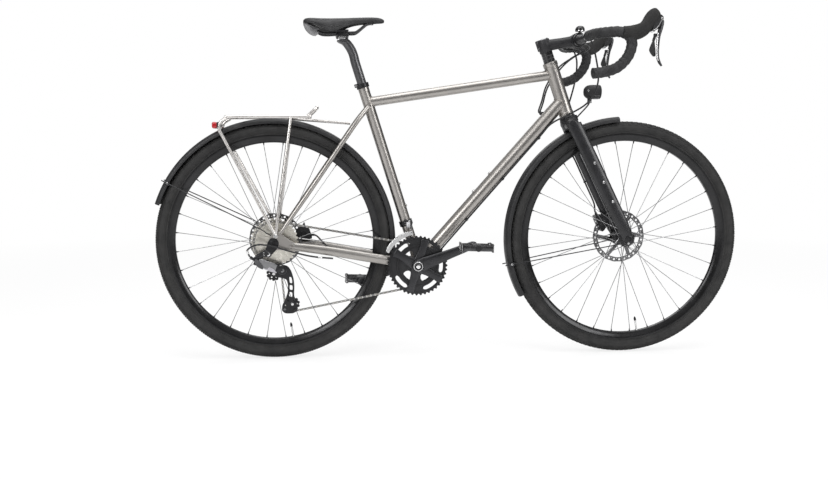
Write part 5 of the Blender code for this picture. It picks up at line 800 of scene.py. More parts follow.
def dropout(side):
    outline = [(0.06, 0.334), (0.06, 0.35), (0.04, 0.364), (0.026, 0.374), (0.02, 0.38), (0.014, 0.3828),
        (0.006, 0.3835), (-0.001, 0.381), (-0.007, 0.374), (-0.012, 0.364), (-0.0145, 0.356), (-0.015, 0.346),
        (-0.012, 0.3395), (-0.006, 0.335), (0.005, 0.3325), (0.02, 0.33), (0.04, 0.331)]
    if side < 0:
        outline[12:15] = [(-0.017, 0.3385), (-0.022, 0.332), (-0.0262, 0.324), (-0.0265, 0.316),
            (-0.0225, 0.3105), (-0.016, 0.3082), (-0.01, 0.3105), (-0.006, 0.316),
            (-0.003, 0.324), (0.005, 0.33)]
    low, high = sorted((side * REAR_WALL, side * (REAR_WALL + DROPOUT_T)))
    return side_plate([outline], low, high)


def make_frame():
    top_rear, top_front = on_seat_axis(0.756), on_steering_axis(0.8362)
    down_low, down_top = down_tube_ends()
    head = [(0.0, 0.0), (0.021, 0.0), (0.0215, 0.0006), (0.0215, 0.0112), (0.0212, 0.012), (0.0206, 0.0126),
        (HEAD_R, 0.0136), (HEAD_R, 0.1519), (0.0206, 0.1529), (0.0212, 0.1535), (0.0215, 0.1543),
        (0.0215, 0.1649), (0.021, 0.1655), (0.0, 0.1655)]
    seat_low = on_seat_axis(BB.z)
    tubes = [turned(head, HEAD_LOW, STEER_UP, 56), sweep([top_rear, top_front], TOP_TUBE_R, 48),
        sweep([down_low, down_top], [0.019, DOWN_TUBE_R], 56)]
    seat = [seat_low, SEAT_TOP - SEAT_UP * 0.012, SEAT_TOP - SEAT_UP * 0.011, SEAT_TOP]
    tubes.append(sweep(seat, [SEAT_TUBE_R, SEAT_TUBE_R, 0.016, 0.016], 48))
    tubes.append(cylinder(BB - Y * 0.034, BB + Y * 0.034, BB_SHELL_R, 56, 0.0008))
    stay = [(STAY_R, STAY_HALF_H)] * 3 + [(STAY_R, 0.0138), (0.0073, 0.0131), (0.006, 0.0114)]
    for side in (-1, 1):
        tubes.append(sweep(smooth_path(chainstay_path(side), 6), smooth_sizes(stay, 6), 32, up=Z))
        tubes.append(sweep(smooth_path(seatstay_path(side), 8), smooth_sizes([STAY_R] * 4 + [0.0053], 8), 32))
    tubes.append(cylinder((0.229, -0.034, 0.678), (0.229, 0.034, 0.678), 0.0055, 24))
    tubes.append(cylinder((BB.x - 0.048, -0.029, BB.z + 0.01),
        (BB.x - 0.048, 0.029, BB.z + 0.01), 0.0065, 24))
    piece("frame_tubes", "frame", "titanium", tubes, "frame", angle=34.0)
    piece("dropouts", "frame", "titanium", [dropout(-1), dropout(1)], bevel=0.0009)
    to_head = (HEAD_LOW, STEER_UP, HEAD_R)
    to_seat = (seat_low, SEAT_UP, SEAT_TUBE_R)
    to_shell = (BB, Y, BB_SHELL_R)
    beads = [weld(top_front, top_rear - top_front, TOP_TUBE_R, *to_head),
        weld(top_rear, top_front - top_rear, TOP_TUBE_R, *to_seat),
        weld(down_top, down_low - down_top, DOWN_TUBE_R, *to_head),
        weld(down_low, down_top - down_low, 0.0191, *to_shell),
        weld(seat_low, SEAT_UP, SEAT_TUBE_R, *to_shell)]
    for side in (-1, 1):
        stays = seatstay_path(side)
        beads.append(weld(stays[0], stays[1] - stays[0], STAY_R, *to_seat, size=0.0012))
        low = chainstay_path(side)
        at = low[0].lerp(low[1], 0.3)
        side_way, over = frame_of(low[1] - low[0], Z)
        ring = ellipse(at, side_way, over, 0.0077, 0.0144, 60)
        beads.append(sweep(ring, [0.0014 * (1.0 + 0.2 * cos(i * 2.1)) for i in range(60)], 8, closed=True))
        for spot, aim, wide, tall in ((low[-1].lerp(low[-2], 0.07), low[-1] - low[-2], 0.0063, 0.0119),
                (stays[-1].lerp(stays[-2], 0.05), stays[-1] - stays[-2], 0.0057, 0.0057)):
            side_way, over = frame_of(aim, Z)
            beads.append(sweep(ellipse(spot, side_way, over, wide, tall, 40), 0.0011, 8, closed=True))
    piece("weld_beads", "frame", "weld", beads)
    make_bosses(down_low, down_top)
    make_frame_fittings()


def make_bosses(down_low, down_top):
    """Bottle bosses with their screws, the rack's eyes, and the clips that hold the hose."""
    along = (down_top - down_low).normalized()
    above = facing(along.cross(Y).normalized(), Z)
    ahead = facing(SEAT_UP.cross(Y).normalized(), X)
    places = [(down_low + (down_top - down_low) * share + above * 0.0186, above) for share in (0.42, 0.53)]
    places += [(on_seat_axis(z) + ahead * 0.0144, ahead) for z in (0.448, 0.512)]
    bosses = [cylinder(at, at + out * 0.0026, 0.0052, 24) for at, out in places]
    screws = [socket_screw(at + out * 0.0025, out, 0.004, 0.0022) for at, out in places]
    for side in (-1, 1):
        eye = vec(0.006, side * (REAR_WALL + 0.0066), 0.372)
        bosses.append(cylinder(eye, eye + Y * side * 0.0016, 0.0055, 24))
    piece("bosses", "frame", "titanium", bosses)
    piece("boss_screws", "frame", "steel", screws, angle=30.0)
    clips = []
    for share in (0.8, 0.55, 0.3, 0.1):
        at = beside_down_tube(share, -0.012)
        clips.append(sweep([at + along * way for way in (-0.0042, -0.0035, 0.0035, 0.0042)],
            [0.003, 0.004, 0.004, 0.003], 20))
        inner = (down_low + (down_top - down_low) * share) - at
        clips.append(cylinder(at, at + inner.normalized() * 0.005, 0.0026, 12))
    for x, degrees in ((0.3, -90.0), (0.225, -62.0)):
        at = beside_stay(x, degrees)
        clips.append(sweep([at + X * way for way in (-0.005, -0.004, 0.004, 0.005)],
            [0.0032, 0.0041, 0.0041, 0.0032], 20))
    piece("hose_clips", "frame", "black_plastic", clips)


def beside_down_tube(share, side_y):
    """The middle of a hose that lies under the down tube."""
    low, top = down_tube_ends()
    under = facing((top - low).normalized().cross(Y), -Z)
    off = DOWN_TUBE_R + HOSE_R + GAP
    return low + (top - low) * share + under * sqrt(off**2 - side_y**2) + Y * side_y


def beside_stay(x, degrees):
    """The middle of a hose that lies round the left chainstay at an angle from its inner face."""
    path = chainstay_path(1)
    a, b = next((a, b) for a, b in zip(path, path[1:]) if b.x <= x <= a.x)
    angle = radians(degrees)
    clear = 0.0034
    off = vec(0.0, -(STAY_R + clear) * cos(angle), (STAY_HALF_H + clear) * sin(angle))
    return a.lerp(b, (x - a.x) / (b.x - a.x)) + off


def make_frame_fittings():
    cup = [(0.0124, -0.0428), (0.0206, -0.0428), (0.0222, -0.042), (0.0225, -0.0408),
        (0.0225, -0.0343), (0.0124, -0.0343)]
    cups = []
    for side in (-1, 1):
        profile = [(r, y * -side) for r, y in cup]
        cups.append(turned(profile, BB, Y, 48))
        for i in range(16):
            angle = 2.0 * pi * i / 16
            out = ray(angle)
            cups.append(block(BB + out * 0.0222 + Y * side * 0.0395,
                (0.001, 0.006, 0.0026), -angle, 0.0003, 1))
    piece("bottom_bracket_cups", "frame", "black_alloy", cups, "bottom_bracket", angle=32.0)
    low = SEAT_TOP + SEAT_UP * GAP
    band = [(0.014, 0.0), (0.0182, 0.0), (0.0188, 0.0007), (0.0188, 0.0123), (0.0182, 0.013), (0.014, 0.013)]
    ear = low + vec(-0.019, 0.0, 0.0) + SEAT_UP * 0.0065
    ears = [block(ear + Y * side * 0.0048, (0.01, 0.0066, 0.01), SEAT_ANGLE - pi / 2, 0.0014)
        for side in (-1, 1)]
    piece("seat_collar_band", "frame", "black_alloy", [turned(band, low, SEAT_UP, 48)] + ears,
        "seat_collar", angle=32.0)
    bolt = [cylinder(ear - Y * 0.0095 - X * 0.001, ear + Y * 0.0095 - X * 0.001, 0.0025, 16),
        socket_screw(ear - Y * 0.0081 - X * 0.001, -Y, 0.004, 0.0028)]
    piece("seat_collar_bolt", "frame", "steel", bolt, angle=30.0)


# Fork


def crown_centre():
    return HEAD_LOW - STEER_UP * (0.046 * 0.55 + GAP)


def blade_y(share):
    """How far out the middle of a fork blade stands, at a share of the way down it."""
    return BLADE_TOP_Y + (BLADE_END_Y - BLADE_TOP_Y) * min(1.0, share / 0.85)


def blade_path(side):
    top = crown_centre()
    low = vec(FRONT_AXLE.x + 0.003, side * BLADE_END_Y, FRONT_AXLE.z - 0.018)
    high = vec(top.x + 0.002, side * BLADE_TOP_Y, top.z - 0.004)
    path = []
    for share in (0.0, 0.3, 0.6, 0.85, 1.0):
        point = high.lerp(low, share)
        point.y = side * blade_y(share)
        path.append(point)
    return path


def blade_point(side, share):
    """A point on the outer face of a fork blade."""
    path = blade_path(side)
    at = path[0].lerp(path[-1], share)
    return vec(at.x, side * (blade_y(share) + 0.008), at.z)


def make_fork():
    """Crown and blades moulded in one, smooth where they run together."""
    race = HEAD_LOW - STEER_UP * GAP
    crown = crown_centre()
    profile = [(0.0, -0.002), (0.019, -0.002), (0.02, -0.014), (0.0236, -0.026), (0.0242, -0.034),
        (0.0225, -0.042), (0.0, -0.045)]
    wide = [(0.012, 0.01), (0.0195, 0.0165), (0.0212, 0.0205)]
    shapes = [turned(profile, race, STEER_UP, 48), sweep([crown + Y * y
        for y in (-0.042, -0.034, -0.02, 0.02, 0.034, 0.042)], wide + wide[::-1], 32)]
    depth = [(0.0082, 0.0218), (0.0082, 0.0214), (0.0077, 0.0202), (0.0068, 0.0186), (0.0055, 0.0136)]
    for side in (-1, 1):
        path = blade_path(side)
        along = (path[-1] - path[0]).normalized()
        ahead = vec(-along.z, 0.0, along.x).normalized()
        path = [spot + ahead * push for spot, push in zip(path, (0.0036, 0.005, 0.0056, 0.0064, 0.0026))]
        shapes.append(sweep(smooth_path(path, 8), smooth_sizes(depth, 8), 40,
            up=(path[0] - path[-1]).cross(Y), power=0.92))
    obj = bpy.data.objects.new("fork_block", joined(shapes))
    bpy.context.scene.collection.objects.link(obj)
    remesh = obj.modifiers.new("melt", "REMESH")
    remesh.mode = "VOXEL"
    remesh.voxel_size = 0.0016
    ease = obj.modifiers.new("ease", "SMOOTH")
    ease.factor = 0.5
    ease.iterations = 8
    spare = [obj]
    for reach, radius in ((0.05, 0.019), (0.0245, 0.364)):
        room = cylinder(FRONT_AXLE - Y * reach, FRONT_AXLE + Y * reach, radius, 128, 0.00001)
        cutter = bpy.data.objects.new("fork_cut", room)
        bpy.context.scene.collection.objects.link(cutter)
        spare.append(cutter)
        cut = obj.modifiers.new("cut", "BOOLEAN")
        cut.operation = "DIFFERENCE"
        cut.object = cutter
    bpy.context.view_layer.update()
    made = bpy.data.meshes.new_from_object(obj.evaluated_get(bpy.context.evaluated_depsgraph_get()))
    for used in spare:
        bpy.data.objects.remove(used)
    made.materials.clear()
    piece("fork_body", "steering", "paint_black", [made], "fork", angle=45.0)
    screws, rings = [], []
    for side in (-1, 1):
        for share in (0.322, 0.482, 0.642):
            at = blade_point(side, share) + vec(0.008, -side * 0.0004, 0.0026)
            rings.append(cylinder(at, at + Y * side * 0.0022, 0.0041, 24))
            screws.append(socket_screw(at + Y * side * 0.0019, Y * side, 0.0032, 0.0014, 0.001))
    piece("fork_bosses", "steering", "steel", rings)
    piece("fork_boss_screws", "steering", "polished", screws, angle=30.0)
    collar = [(0.015, 0.0), (0.0216, 0.0), (0.0224, -0.0006), (0.0236, -0.005), (0.025, -0.013),
        (0.0257, -0.022), (0.0254, -0.029), (0.0235, -0.031), (0.015, -0.031)]
    piece("fork_collar", "steering", "paint_black", [turned(collar, race, STEER_UP, 64)], angle=40.0)
    steerer = cylinder(HEAD_TOP - STEER_UP * 0.006, HEAD_TOP + STEER_UP * 0.03, 0.014, 32)
    piece("steerer_top", "steering", "dark_steel", [steerer])


# Mudguards and rack


def guard_shell(centre, radius, start, end, steps):
    """A rounded mudguard with a rolled lip, open towards the wheel."""
    outer = [(-0.0235, -0.016), (-0.0235, -0.012), (-0.0228, -0.0085), (-0.021, -0.0055), (-0.018, -0.003),
        (-0.013, -0.001), (-0.007, -0.0002), (0.0, 0.0)]
    outer = outer + [(-y, d) for y, d in outer[-2::-1]]
    inner = [(y * 0.935, d - 0.0014 if abs(y) < 0.02 else d) for y, d in outer]
    inner[0] = (inner[0][0], -0.016)
    inner[-1] = (inner[-1][0], -0.016)
    section = outer + inner[::-1]
    rings = []
    for step in range(steps + 1):
        angle = start + (end - start) * step / steps
        out = ray(angle)
        rings.append([centre + out * (radius + depth) + Y * y for y, depth in section])
    return mesh_of(rings)


def make_guard(word, body, centre, radius, start, end, steps):
    """A mudguard's shell and the round lips along its edges."""
    start, end = radians(start), radians(end)
    meshes = [guard_shell(centre, radius, start, end, steps)]
    for side in (-1, 1):
        path = []
        for step in range(steps + 1):
            angle = start + (end - start) * step / steps
            path.append(centre + ray(angle) * (radius - 0.015) + Y * side * 0.0226)
        meshes.append(sweep(path, 0.0011, 8))
    piece(word + "_guard_shell", body, "guard_plastic", meshes, word + "_mudguard", angle=50.0)


def guard_stays(centre, degrees, reach, foot):
    """The wires that hold a mudguard's edge, with their clips and screws. They end on the points of foot."""
    out = ray(radians(degrees))
    edge = centre + out * reach
    wires, clips, bolts = [], [], []
    for side in (-1, 1):
        path = [edge + Y * side * 0.0235, edge - out * 0.006 + Y * side * 0.027]
        path += [vec(x, side * y, z) for x, y, z in foot]
        wires.append(sweep(smooth_path(path, 5), 0.0016, 10))
        clips.append(block(edge - out * 0.002 + Y * side * 0.0248, (0.015, 0.004, 0.011),
            radians(180.0 - degrees), 0.0014))
        bolts.append(socket_screw(edge - out * 0.002 + Y * side * 0.0266, Y * side, 0.003, 0.0018))
    return wires, clips, bolts


def make_mudguards():
    wall = REAR_WALL + DROPOUT_T
    centre = REAR_AXLE - X * 0.004
    make_guard("rear", "frame", centre, 0.3613, -8.0, 161.5, 110)
    wires, clips, bolts = guard_stays(centre, 150.0, 0.3515,
        ((-0.06, wall - 0.008, 0.403), (-0.0185, wall + 0.0006, 0.379), (-0.0075, wall + 0.0022, 0.3735)))
    mounts = [block((0.0468, 0.0, 0.7056), (0.011, 0.012, 0.006), 0.0, 0.001),
        block((0.3578, 0.0, 0.299), (0.012, 0.018, 0.006), radians(8.0), 0.001)]
    piece("rear_guard_mounts", "frame", "black_alloy", mounts + clips)
    make_guard("front", "steering", FRONT_AXLE, 0.3633, 93.5, 209.0, 80)
    piece("rear_guard_wires", "frame", "black_alloy", wires)
    piece("rear_guard_bolts", "frame", "steel", bolts, angle=30.0)
    wall = FRONT_WALL + FORK_END_T
    x, z = FRONT_AXLE.x, FRONT_AXLE.z
    wires, clips, bolts = guard_stays(FRONT_AXLE, 192.5, 0.3535,
        ((x - 0.05, wall - 0.006, z - 0.02), (x - 0.018, wall + 0.002, z - 0.013),
        (x - 0.003, wall + 0.002, z - 0.013)))
    bolts += [socket_screw((x - 0.002, side * (wall + 0.0002), z - 0.013), Y * side, 0.0036, 0.0036)
        for side in (-1, 1)]
    piece("front_guard_clips", "steering", "black_alloy", clips)
    piece("front_guard_wires", "steering", "black_alloy", wires)
    piece("front_guard_bolts", "steering", "steel", bolts, angle=30.0)


RACK_HALF = 0.052


def rack_side(side):
    """One rail of the rack, from its back to its front."""
    y = side * RACK_HALF
    return [vec(-0.1525, y, 0.678), vec(-0.1485, y, 0.696), vec(-0.13, y, 0.709), vec(-0.114, y, 0.713),
        vec(0.09, y, 0.713), vec(0.104, y, 0.717), vec(0.125, y * 0.92, 0.736), vec(0.129, y * 0.72, 0.74)]


def make_rack():
    r = 0.0048
    rails = smooth_path(rack_side(-1), 6) + smooth_path(rack_side(1), 6)[::-1]
    tubes = [sweep(rails, r, 20)]
    for x, z, radius in ((-0.15, 0.69, r * 0.9), (-0.085, 0.713, r * 0.75), (0.0535, 0.713, r * 0.75)):
        tubes.append(cylinder((x, -RACK_HALF, z), (x, RACK_HALF, z), radius, 20))
    wall = REAR_WALL + DROPOUT_T + 0.0015
    feet, bolts = [], []
    for side in (-1, 1):
        foot = vec(0.006, side * (wall + r), 0.372)
        for top, bend in ((vec(-0.1525, side * RACK_HALF, 0.678), vec(-0.012, 0.0, 0.025)),
                (vec(0.0535, side * RACK_HALF, 0.713), vec(0.0035, 0.0, 0.03))):
            knee = foot + bend
            tubes.append(sweep([top, top.lerp(knee, 0.5), knee + (top - knee).normalized() * 0.012,
                knee + (foot - knee) * 0.35, foot], [r, r, r, r * 0.97, r * 0.86], 20))
        feet.append(cylinder(foot - Y * side * r, foot + Y * side * 0.0034, 0.007, 28))
        bolts.append(socket_screw(foot + Y * side * 0.0034, Y * side, 0.005, 0.0034))
    tubes.append(sweep([(0.0535, 0.0, 0.71), (0.08, 0.0, 0.706), (0.2255, 0.0, 0.6945)], r * 0.85, 20))
    piece("rack_tubes", "frame", "rack_titanium", tubes + feet, "rear_rack", angle=40.0)
    piece("rack_bolts", "frame", "steel", bolts, angle=30.0)
    x = -0.15 - r * 0.9 - GAP
    piece("rear_light_base", "frame", "black_plastic", [block((x - 0.003, 0.0, 0.69), (0.006, 0.054, 0.018),
        0.0, 0.0016)], "rear_light")
    piece("rear_light_lens", "frame", "red_lens", [block((x - 0.013, 0.0, 0.69),
        (0.015, 0.0555, 0.0188), 0.0, 0.005, 4)])


# Transmission


LINK_PITCH = 0.0127
TIP_SHARE = 0.3 * 0.36


def gear(centre, teeth, radius, tip, root=0.0037, start=0.0):
    """A sprocket's outline, with round roots for the chain's rollers."""
    tooth = ((-0.5, -root), (-0.36, -root * 0.8), (-0.24, -root * 0.1), (-TIP_SHARE, tip), (TIP_SHARE, tip),
        (0.24, -root * 0.1), (0.36, -root * 0.8))
    pitch = 2.0 * pi / teeth
    return [polar(centre, radius + reach, start + pitch * (i + share)) for i in range(teeth)
        for share, reach in tooth]


def pitch_radius(teeth):
    return teeth * LINK_PITCH / (2.0 * pi)


def ring_window(centre, inner, outer, start, end, steps=8, ease=0.18):
    """A rounded opening between two radii and two angles."""
    wide = end - start
    low, middle, high = inner + (outer - inner) * 0.16, (inner + outer) / 2.0, outer - (outer - inner) * 0.16
    first, last = start + wide * ease * 0.3, end - wide * ease * 0.3
    along = [wide * (ease + (1 - 2 * ease) * k / steps) for k in range(steps + 1)]
    loop = [(outer, start + turn) for turn in along] + [(high, last), (middle, end), (low, last)]
    loop += [(inner, end - turn) for turn in along] + [(low, first), (middle, start), (high, first)]
    return [polar(centre, radius, angle) for radius, angle in loop[::-1]]


SPROCKET_ARMS = 8
SPROCKETS = (34, 30, 27, 25, 23, 21, 19, 17, 15, 13, 11)
STEP_Y = 0.00374
FIRST_Y = -0.027
CHAIN_Y = FIRST_Y - STEP_Y
GUIDE = vec(-0.0035, CHAIN_Y, 0.2565)
TENSION = vec(0.05, CHAIN_Y, 0.1655)
RING_BIG_Y = -0.0495
RING_SMALL_Y = -0.0425
CRANK_ANGLE = radians(20.8)
CRANK_L = 0.1725
CRANK_END_Y = 0.0675
SPIDER = (-52.0, 52.0, -128.0, 128.0)


def crank_end(side):
    return BB - ray(CRANK_ANGLE) * CRANK_L * side


def chain_loop():
    """Points one link apart along the whole chain, shared out evenly."""
    wheels = [(vec(BB.x, RING_SMALL_Y, BB.z), pitch_radius(30), 1),
        (vec(0.0, CHAIN_Y, TYRE_R), pitch_radius(30), 1), (GUIDE, pitch_radius(11), -1),
        (TENSION, pitch_radius(11), 1)]
    angles = []
    for i, (p, r, turn) in enumerate(wheels):
        q, s, back = wheels[(i + 1) % 4]
        dx, dz = q.x - p.x, q.z - p.z
        angles.append(atan2(dz, dx) + asin((turn * r - back * s) / hypot(dx, dz)))
    dense = []
    for i, (centre, radius, turn) in enumerate(wheels):
        swept = (angles[i] - angles[i - 1]) * turn % (2.0 * pi)
        for k in range(81):
            heading = angles[i - 1] + turn * swept * k / 80
            dense.append(centre + vec(sin(heading), 0.0, -cos(heading)) * turn * radius)
        after, size, back = wheels[(i + 1) % 4]
        out = vec(sin(angles[i]), 0.0, -cos(angles[i]))
        start, end = centre + out * turn * radius, after + out * back * size
        dense += [start.lerp(end, k / 60) for k in range(1, 60)]
    lengths = [0.0]
    for a, b in zip(dense, dense[1:] + dense[:1]):
        lengths.append(lengths[-1] + (b - a).length)
    count = 2 * round(lengths[-1] / (2.0 * LINK_PITCH))
    points, j = [], 0
    for i in range(count):
        want = lengths[-1] * i / count
        while lengths[j + 1] < want:
            j += 1
        share = (want - lengths[j]) / max(lengths[j + 1] - lengths[j], 1e-9)
        points.append(dense[j].lerp(dense[(j + 1) % len(dense)], share))
    return points


def link_plate(a, b, y_low, y_high, radius, waist):
    """One figure-of-eight side plate between two pins."""
    along = vec(b.x - a.x, 0.0, b.z - a.z)
    half = along.length / 2.0
    along.normalize()
    over = vec(-along.z, 0.0, along.x)
    middle_x, middle_z = (a.x + b.x) / 2.0, (a.z + b.z) / 2.0
    rim = []
    for way in (1, -1):
        for k in range(7):
            angle = radians(-62.0 + 124.0 * k / 6)
            rim.append((way * (half + radius * cos(angle)), way * radius * sin(angle)))
        rim.append((0.0, way * waist))
    spots = [(middle_x + along.x * u + over.x * v, middle_z + along.z * u + over.z * v) for u, v in rim]
    shift = (a.y + b.y) / 2.0
    bm = bmesh.new()
    low = [bm.verts.new((x, shift + y_low, z)) for x, z in spots]
    high = [bm.verts.new((x, shift + y_high, z)) for x, z in spots]
    bm.faces.new(low)
    bm.faces.new(high[::-1])
    for i in range(len(low)):
        j = (i + 1) % len(low)
        bm.faces.new((low[i], high[i], high[j], low[j]))
    return finish_mesh(bm)


def make_chain():
    points = chain_loop()
    count = len(points)
    outer, inner, rollers, pins = [], [], [], []
    for i, a in enumerate(points):
        b = points[(i + 1) % count]
        plates, off, half, radius, waist = inner, 0.001, 0.00035, 0.0036, 0.0024
        if i % 2:
            plates, off, half, radius, waist = outer, 0.00185, 0.00045, 0.0037, 0.0026
        plates.extend(link_plate(a, b, side * off - half, side * off + half, radius, waist)
            for side in (-1, 1))
        rollers.append(cylinder(a - Y * 0.0006, a + Y * 0.0006, 0.0036, 10))
        pins.append(cylinder(a - Y * 0.0026, a + Y * 0.0026, 0.0017, 8))
    piece("chain_outer_plates", "frame", "chain_steel", outer, "chain", angle=35.0)
    piece("chain_inner_plates", "frame", "dark_steel", inner, angle=35.0)
    piece("chain_rollers", "frame", "chain_steel", rollers)
    piece("chain_pins", "frame", "steel", pins)


def make_cassette():
    centre = (REAR_AXLE.x, REAR_AXLE.z)
    sprockets, spacers = [], []
    for index, teeth in enumerate(SPROCKETS):
        y = FIRST_Y - STEP_Y * index
        radius = pitch_radius(teeth)
        loops = [gear(centre, teeth, radius, 0.0014, start=0.11 * index)]
        if index < 4:
            reach = min(radius - 0.011, pitch_radius(SPROCKETS[index + 1]) - 0.004)
            loops.append(hole(centre, 0.023, 36))
            for arm in range(SPROCKET_ARMS):
                start = 2.0 * pi * (arm + 0.15 * index) / SPROCKET_ARMS
                loops.append(ring_window(centre, 0.029, reach, start + 0.09, start + 0.69, 5))
        else:
            loops.append(hole(centre, 0.0168, 30))
        sprockets.append(side_plate(loops, y - 0.0008, y + 0.0008))
        if 0 < index < len(SPROCKETS) - 1:
            wide = 0.0215 if index < 8 else 0.019
            ring = [(0.0172, y - 0.0008), (wide, y - 0.0008), (wide, y - 0.0029), (0.0172, y - 0.0029)]
            spacers.append(turned(ring, REAR_AXLE, Y, 32))
    piece("cassette_sprockets", "cassette", "nickel", sprockets, "cassette", angle=30.0)
    core = [(0.0105, -0.0262), (0.0175, -0.0262), (0.0175, -0.064), (0.0105, -0.064)]
    piece("cassette_spacers", "cassette", "black_alloy",
        spacers + [turned(core, REAR_AXLE, Y, 36)], angle=30.0)
    lock = [(0.01, -0.0648), (0.0168, -0.0648), (0.0172, -0.0655), (0.0168, -0.0672), (0.0126, -0.068),
        (0.01, -0.0706), (0.0076, -0.0706), (0.0076, -0.0648)]
    piece("cassette_lock_ring", "cassette", "steel", [turned(lock, REAR_AXLE, Y, 40)], angle=28.0)


def make_chainrings():
    """Two black rings on a four-armed carrier, with shaped openings round the outer one."""
    centre = (BB.x, BB.z)
    big = pitch_radius(43)
    loops = [gear(centre, 43, big, 0.0018, 0.003), hole(centre, 0.02, 40)]
    for degrees, half, inside in ((0.0, 0.3, False), (-56.0, 0.36, True), (-136.0, 0.34, True),
            (128.0, 0.34, True), (62.0, 0.26, False)):
        middle = radians(degrees)
        loops.append(ring_window(centre, 0.064, 0.075, middle - half, middle + half, 8, 0.16))
        if inside:
            loops.append(ring_window(centre, 0.028, 0.05, middle - half, middle + half, 8, 0.24))
    low = RING_BIG_Y - 0.0012
    piece("outer_chainring", "crank", "ring_black", [side_plate(loops, low, RING_BIG_Y + 0.0012)],
        "chainrings", bevel=0.0003)
    rib = []
    for reach, width, height in ((0.08, 0.0022, 0.0016), (0.06, 0.003, 0.0018), (0.0535, 0.0012, 0.0012)):
        section = [(reach - width, low + 0.0002), (reach + width, low + 0.0002),
            (reach + width * 0.7, low - height), (reach - width * 0.7, low - height)]
        rib.append(turned(section, BB, Y, 96))
    piece("chainring_ribs", "crank", "ring_black", rib, angle=24.0)
    small = pitch_radius(30)
    loops = [gear(centre, 30, small, 0.0012, 0.0037), hole(centre, small - 0.0125, 48)]
    piece("inner_chainring", "crank", "ring_black", [side_plate(loops, RING_SMALL_Y - 0.001,
        RING_SMALL_Y + 0.001)])
    bolts, studs = [], []
    for arm in SPIDER:
        at = BB + ray(CRANK_ANGLE + radians(arm)) * 0.05
        studs.append(cylinder(at + Y * (RING_BIG_Y - 0.0005), at + Y * (RING_SMALL_Y + 0.0026), 0.0052, 20))
        bolts.append(socket_screw(at + Y * (RING_SMALL_Y + 0.0024), Y, 0.0042, 0.0018))
    piece("chainring_studs", "crank", "black_alloy", studs)
    piece("chainring_bolts", "crank", "dark_steel", bolts, angle=30.0)


def crank_arm(side):
    start = BB + Y * side * 0.0635
    end = crank_end(side) + Y * side * CRANK_END_Y
    reach = end - start
    line = reach.normalized()
    path = [start - line * 0.0165, start - line * 0.012, start]
    path += [start + reach * share for share in (0.13, 0.28, 0.6, 0.9)]
    path += [end, end + line * 0.008, end + line * 0.0118]
    sizes = [(0.003, 0.008), (0.0052, 0.0135), (0.0062, 0.019), (0.0062, 0.0196), (0.0062, 0.0172),
        (0.0061, 0.0138), (0.0059, 0.012), (0.0058, 0.0112), (0.0052, 0.0078), (0.003, 0.004)]
    return sweep(smooth_path(path, 4), smooth_sizes(sizes, 4), 40, up=reach.cross(Y), power=0.72)


def make_cranks():
    low = RING_BIG_Y - 0.0015
    arms = []
    for arm in SPIDER:
        out = ray(CRANK_ANGLE + radians(arm))
        path = [BB + Y * (low - 0.0034) + out * reach for reach in (0.0, 0.018, 0.034, 0.058, 0.076, 0.08)]
        sizes = [(0.0034, 0.017), (0.0034, 0.016), (0.0032, 0.0125), (0.003, 0.0105),
            (0.0026, 0.0128), (0.0014, 0.009)]
        arms.append(sweep(smooth_path(path, 4), smooth_sizes(sizes, 4), 32, up=out.cross(Y), power=0.75))
    hub = turned([(0.0, -0.05), (0.018, -0.05), (0.0186, -0.056), (0.0184, -0.065), (0.017, -0.0705),
        (0.0135, -0.0728), (0.0128, -0.0728), (0.012, -0.07), (0.0, -0.07)], BB, Y, 48)
    piece("crank_arm_right", "crank", "crank_black", [crank_arm(-1), hub] + arms, "crank_right", angle=46.0)
    rim = turned([(0.0116, -0.07), (0.0136, -0.07), (0.0138, -0.073), (0.0132, -0.0738), (0.012, -0.0738),
        (0.0116, -0.073)], BB, Y, 48)
    piece("crank_cap_rim", "crank", "polished", [rim, socket_screw(BB - Y * 0.0718, -Y, 0.0062,
        0.0016, 0.0012)], angle=28.0)
    cap = turned([(0.0, -0.0695), (0.0115, -0.0695), (0.0115, -0.0722), (0.01, -0.0716),
        (0.0, -0.0716)], BB, Y, 40)
    piece("crank_cap", "crank", "black_alloy", [cap], angle=28.0)
    spindle = cylinder(BB - Y * 0.06, BB + Y * 0.079, 0.0119, 40)
    piece("crank_spindle", "crank", "dark_steel", [spindle])
    piece("crank_arm_left", "crank", "crank_black", [crank_arm(1),
        cylinder(BB + Y * 0.0438, BB + Y * 0.071, 0.0168, 40)], "crank_left", angle=46.0)
    side = vec(-sin(CRANK_ANGLE), 0.0, cos(CRANK_ANGLE))
    clamp = [socket_screw(BB + Y * (0.06 + 0.006 * k) - side * 0.0165, -side, 0.003, 0.0022) for k in (0, 1)]
    cap_left = turned([(0.0, 0.07), (0.0112, 0.07), (0.0118, 0.0708), (0.0112, 0.074),
        (0.0, 0.0745)], BB, Y, 40)
    piece("crank_clamp_screws", "crank", "steel", clamp, angle=30.0)
    piece("crank_cap_left", "crank", "black_plastic", [cap_left], angle=28.0)


